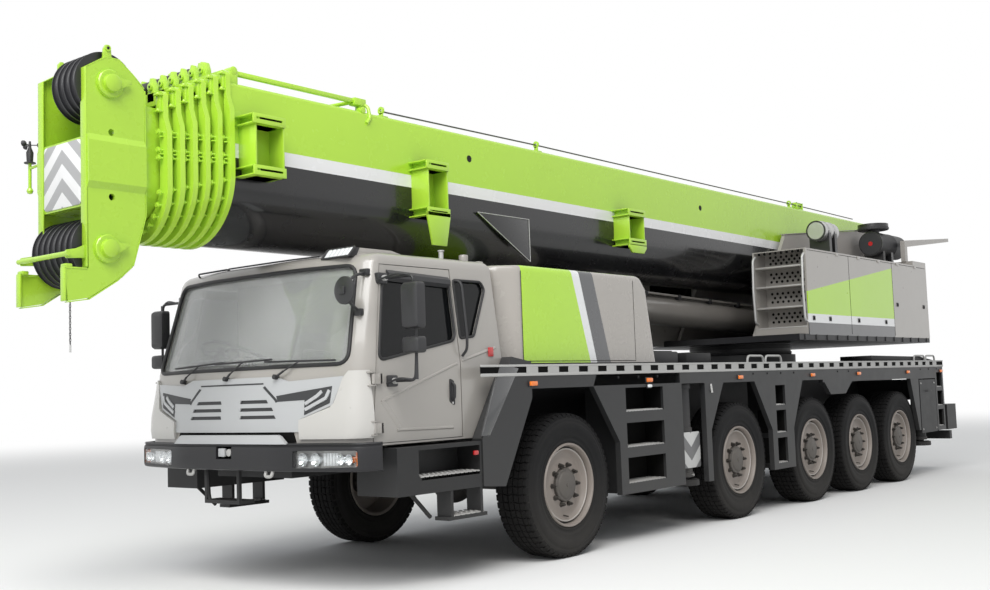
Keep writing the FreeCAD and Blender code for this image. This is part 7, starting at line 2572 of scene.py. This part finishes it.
def guard_bands(tree):
    """Wide bands that meet in a point at the middle of a guard."""
    parts = tree.nodes.new("ShaderNodeSeparateXYZ")
    tree.links.new(tree.nodes.new("ShaderNodeTexCoord").outputs["Object"], parts.inputs[0])
    aside = math_node(tree, "ABSOLUTE", math_node(tree, "SUBTRACT", parts.outputs["X"], 1.320))
    level_by = math_node(tree, "MULTIPLY_ADD", aside, -0.85, parts.outputs["Z"])
    share = math_node(tree, "FRACT", math_node(tree, "DIVIDE", level_by, 0.290))
    return blend_colours(tree, math_node(tree, "GREATER_THAN", share, 0.5), guard_white, guard_grey)


guard_paint = painted("guard_paint", guard_white, 0.4, dust_amount=0.1, feed=guard_bands)
for side, turn in (("left", 1), ("right", -1)):
    guard = [
        prism(
            "y", round_corners([(1.130, 0.650), (1.510, 0.650), (1.510, 1.030), (1.130, 1.030)], 0.03),
            (1.428, 1.438), guard_paint, 0.002),
        lathe(
            "z", (1.320, 1.325, 0), [(1.030, 0.100), (1.035, 0.112), (1.075, 0.112), (1.080, 0.100)],
            trim_black, 40, hoop=True),
        lathe(
            "z", (1.320, 1.325, 0),
            [(1.490, 0.100), (1.495, 0.114), (1.540, 0.114), (1.552, 0.100), (1.552, 0)], trim_black, 40),
        lathe(
            "z", (1.320, 1.325, 0), [(0.552, 0.100), (0.552, 0.112), (0.600, 0.112), (0.605, 0.100)],
            trim_black, 40, hoop=True),
        rod((1.320, 1.220, 0.575), (1.320, 1.455, 0.575), 0.012, galvanised),
        slab((1.180, 1.405, 0.66), (1.460, 1.430, 0.72), trim_black, 0.004),
        slab((1.180, 1.405, 0.96), (1.460, 1.430, 1.02), trim_black, 0.004)]
    cover_fittings = [
        rod(
            (-5.850 + across_by, 1.498, level), (-5.850 + across_by, 1.508, level), 0.014, galvanised,
            12, 0.002) for across_by in (-0.29, 0.29) for level in (0.72, 1.42)]
    cover_fittings += [
        tube(
            [(-5.95, 1.498, 1.30), (-5.94, 1.530, 1.30), (-5.76, 1.530, 1.30), (-5.75, 1.498, 1.30)],
            0.009, trim_black, 0.015),
        lathe(
            "z", (-5.850, 1.325, 0), [(0.552, 0.100), (0.552, 0.112), (0.600, 0.112), (0.605, 0.100)],
            trim_black, 40, hoop=True)]
    for end, parts in (("front", guard), ("rear", cover_fittings)):
        assemble(
            f"{end}_jack_guard_{side}", f"outrigger_beam_{end}_{side}",
            parts if turn > 0 else [other_side(part) for part in parts])
        forward = 1.320 if end == "front" else -5.850
        float_parts = [
            lathe(
                "z", (forward, 1.325, 0),
                [
                    (0.463, 0), (0.463, 0.160), (0.470, 0.167), (0.500, 0.167), (0.512, 0.150),
                    (0.527, 0.090), (0.527, 0)], black_steel, 40),
            ring(
                slab((0.065, -0.006, 0.520), (0.150, 0.006, 0.532), black_steel, 0.002), black_steel, 8,
                0.0001, "z", Vector((forward, 1.325, 0)))]
        assemble(
            f"{end}_float_{side}", f"outrigger_leg_{end}_{side}",
            float_parts if turn > 0 else [other_side(part) for part in float_parts])


# Inside the cab
# A moulded dashboard with a hooded binnacle, a padded wheel on its column, and two
# seats whose stuffed cushions bulge between their piped seams.
dash_plastic = painted(
    "dash_plastic", (0.085, 0.086, 0.090, 1), 0.55, dust_amount=0.05, grain_scale=300, grain_depth=0.2)
seat_cloth = painted(
    "seat_cloth", (0.095, 0.098, 0.105, 1), 0.85, dust_amount=0.0, grain_scale=420, grain_depth=0.5)
dash_outline = [
    (6.015, 1.505), (5.955, 1.795), (5.72, 1.795), (5.685, 1.760), (5.690, 1.60), (5.735, 1.545),
    (5.740, 1.505)]
inside_parts = [
    prism("y", dash_outline, (-1.178, 1.178), dash_plastic, 0.015),
    slab((5.690, -0.248, 1.285), (5.950, 0.248, 1.520), dash_plastic, 0.02),
    prism(
        "y", [(5.90, 1.790), (5.86, 1.840), (5.72, 1.835), (5.70, 1.790)], (-0.90, -0.40), dash_plastic,
        0.012), slab((5.682, -0.13, 1.600), (5.690, 0.13, 1.760), trim_black, 0.004),
    row(
        rod((5.676, 0, 0), (5.690, 0, 0), 0.016, galvanised, 12, 0.002), galvanised, 4,
        (0, -0.12, 1.570), (0, 0.08, 0)),
    rod((5.545, -0.65, 1.895), (5.720, -0.65, 1.775), 0.032, trim_black, 16, 0.004)]
wheel_turn = Matrix.Translation((5.560, -0.650, 1.900)) @ Matrix.Rotation(math.radians(-30), 4, "Y")
rim_points = [
    (0.220 * math.cos(t), 0.220 * math.sin(t), 0) for t in (2 * math.pi * n / 40 for n in range(40))]
wheel_parts = [
    closed_tube(rim_points, 0.016, trim_black, 10),
    lathe(
        "z", (0, 0, 0), [(-0.02, 0), (-0.02, 0.045), (0.012, 0.055), (0.020, 0.045), (0.020, 0)],
        trim_black, 24)]
wheel_parts += [
    rod(
        (0.04 * math.cos(t), 0.04 * math.sin(t), 0), (0.215 * math.cos(t), 0.215 * math.sin(t), 0),
        0.011, trim_black) for t in (0.5 * math.pi, 1.5 * math.pi, math.pi)]
inside_parts += [placed(part, wheel_turn) for part in wheel_parts]


def stuffed(low, high, reach):
    """A pad blown up as cloth, with no point moved further than a reach and its rests flat."""
    pad = bpy.data.objects.new("pad", slab(low, high, seat_cloth, 0.03))
    bpy.context.scene.collection.objects.link(pad)
    grid = pad.modifiers.new("Grid", "REMESH")
    grid.mode = "VOXEL"
    grid.voxel_size = 0.016
    graph = bpy.context.evaluated_depsgraph_get
    pad.data = bpy.data.meshes.new_from_object(pad.evaluated_get(graph()))
    pad.modifiers.clear()
    cloth = pad.modifiers.new("Cloth", "CLOTH")
    cloth.settings.use_pressure = True
    cloth.settings.uniform_pressure_force = 4
    cloth.settings.effector_weights.gravity = 0
    cloth.point_cache.frame_start, cloth.point_cache.frame_end = 1, 20
    for number in range(1, 21):
        bpy.context.scene.frame_set(number)
    blown = bpy.data.meshes.new_from_object(pad.evaluated_get(graph()))
    for first, last in zip(pad.data.vertices, blown.vertices):
        move = last.co - first.co
        if move.length > reach:
            move *= reach / move.length
        place = first.co + move
        first.co = (place.x, place.y, max(place.z, low[2]))
    pad.modifiers.clear()
    bpy.context.scene.frame_set(1)
    mesh = pad.data
    bpy.data.objects.remove(pad)
    for face in mesh.polygons:
        face.use_smooth = True
    mesh.materials.clear()
    mesh.materials.append(seat_cloth)
    return mesh


cushion = stuffed((4.945, 0.425, 1.515), (5.285, 0.875, 1.625), 0.014)
backrest = stuffed((4.812, 0.420, 1.655), (4.920, 0.880, 2.290), 0.012)
for side, turn in (("left", 1), ("right", -1)):
    for kind, mesh in (("cushion", cushion), ("backrest", backrest)):
        mesh = mesh if turn > 0 else other_side(mesh)
        assemble(f"seat_{kind}_{side}", "chassis", [mesh])
piping = [
    closed_tube(
        [
            (*point, 1.570)
            for point in divided(
                round_corners([(4.94, 0.42), (5.292, 0.42), (5.292, 0.88), (4.94, 0.88)], 0.04), 0.08)],
        0.005, trim_black, 6),
    closed_tube(
        [
            (4.868, *point)
            for point in divided(
                round_corners([(0.412, 1.65), (0.888, 1.65), (0.888, 2.295), (0.412, 2.295)], 0.05),
                0.08)], 0.005, trim_black, 6),
    lathe(
        "z", (5.05, 0.650, 0),
        [
            (1.285, 0), (1.285, 0.125), (1.30, 0.128), (1.315, 0.06), (1.470, 0.055), (1.475, 0.12),
            (1.500, 0.12), (1.500, 0)], trim_black, 24),
    slab((4.830, 0.430, 1.490), (5.280, 0.870, 1.512), dash_plastic, 0.008),
    slab((4.822, 0.470, 1.500), (4.850, 0.830, 1.720), dash_plastic, 0.008)]
assemble(
    "cab_inside", "chassis", inside_parts + both_sides(piping), replaces=["cab_interior"])
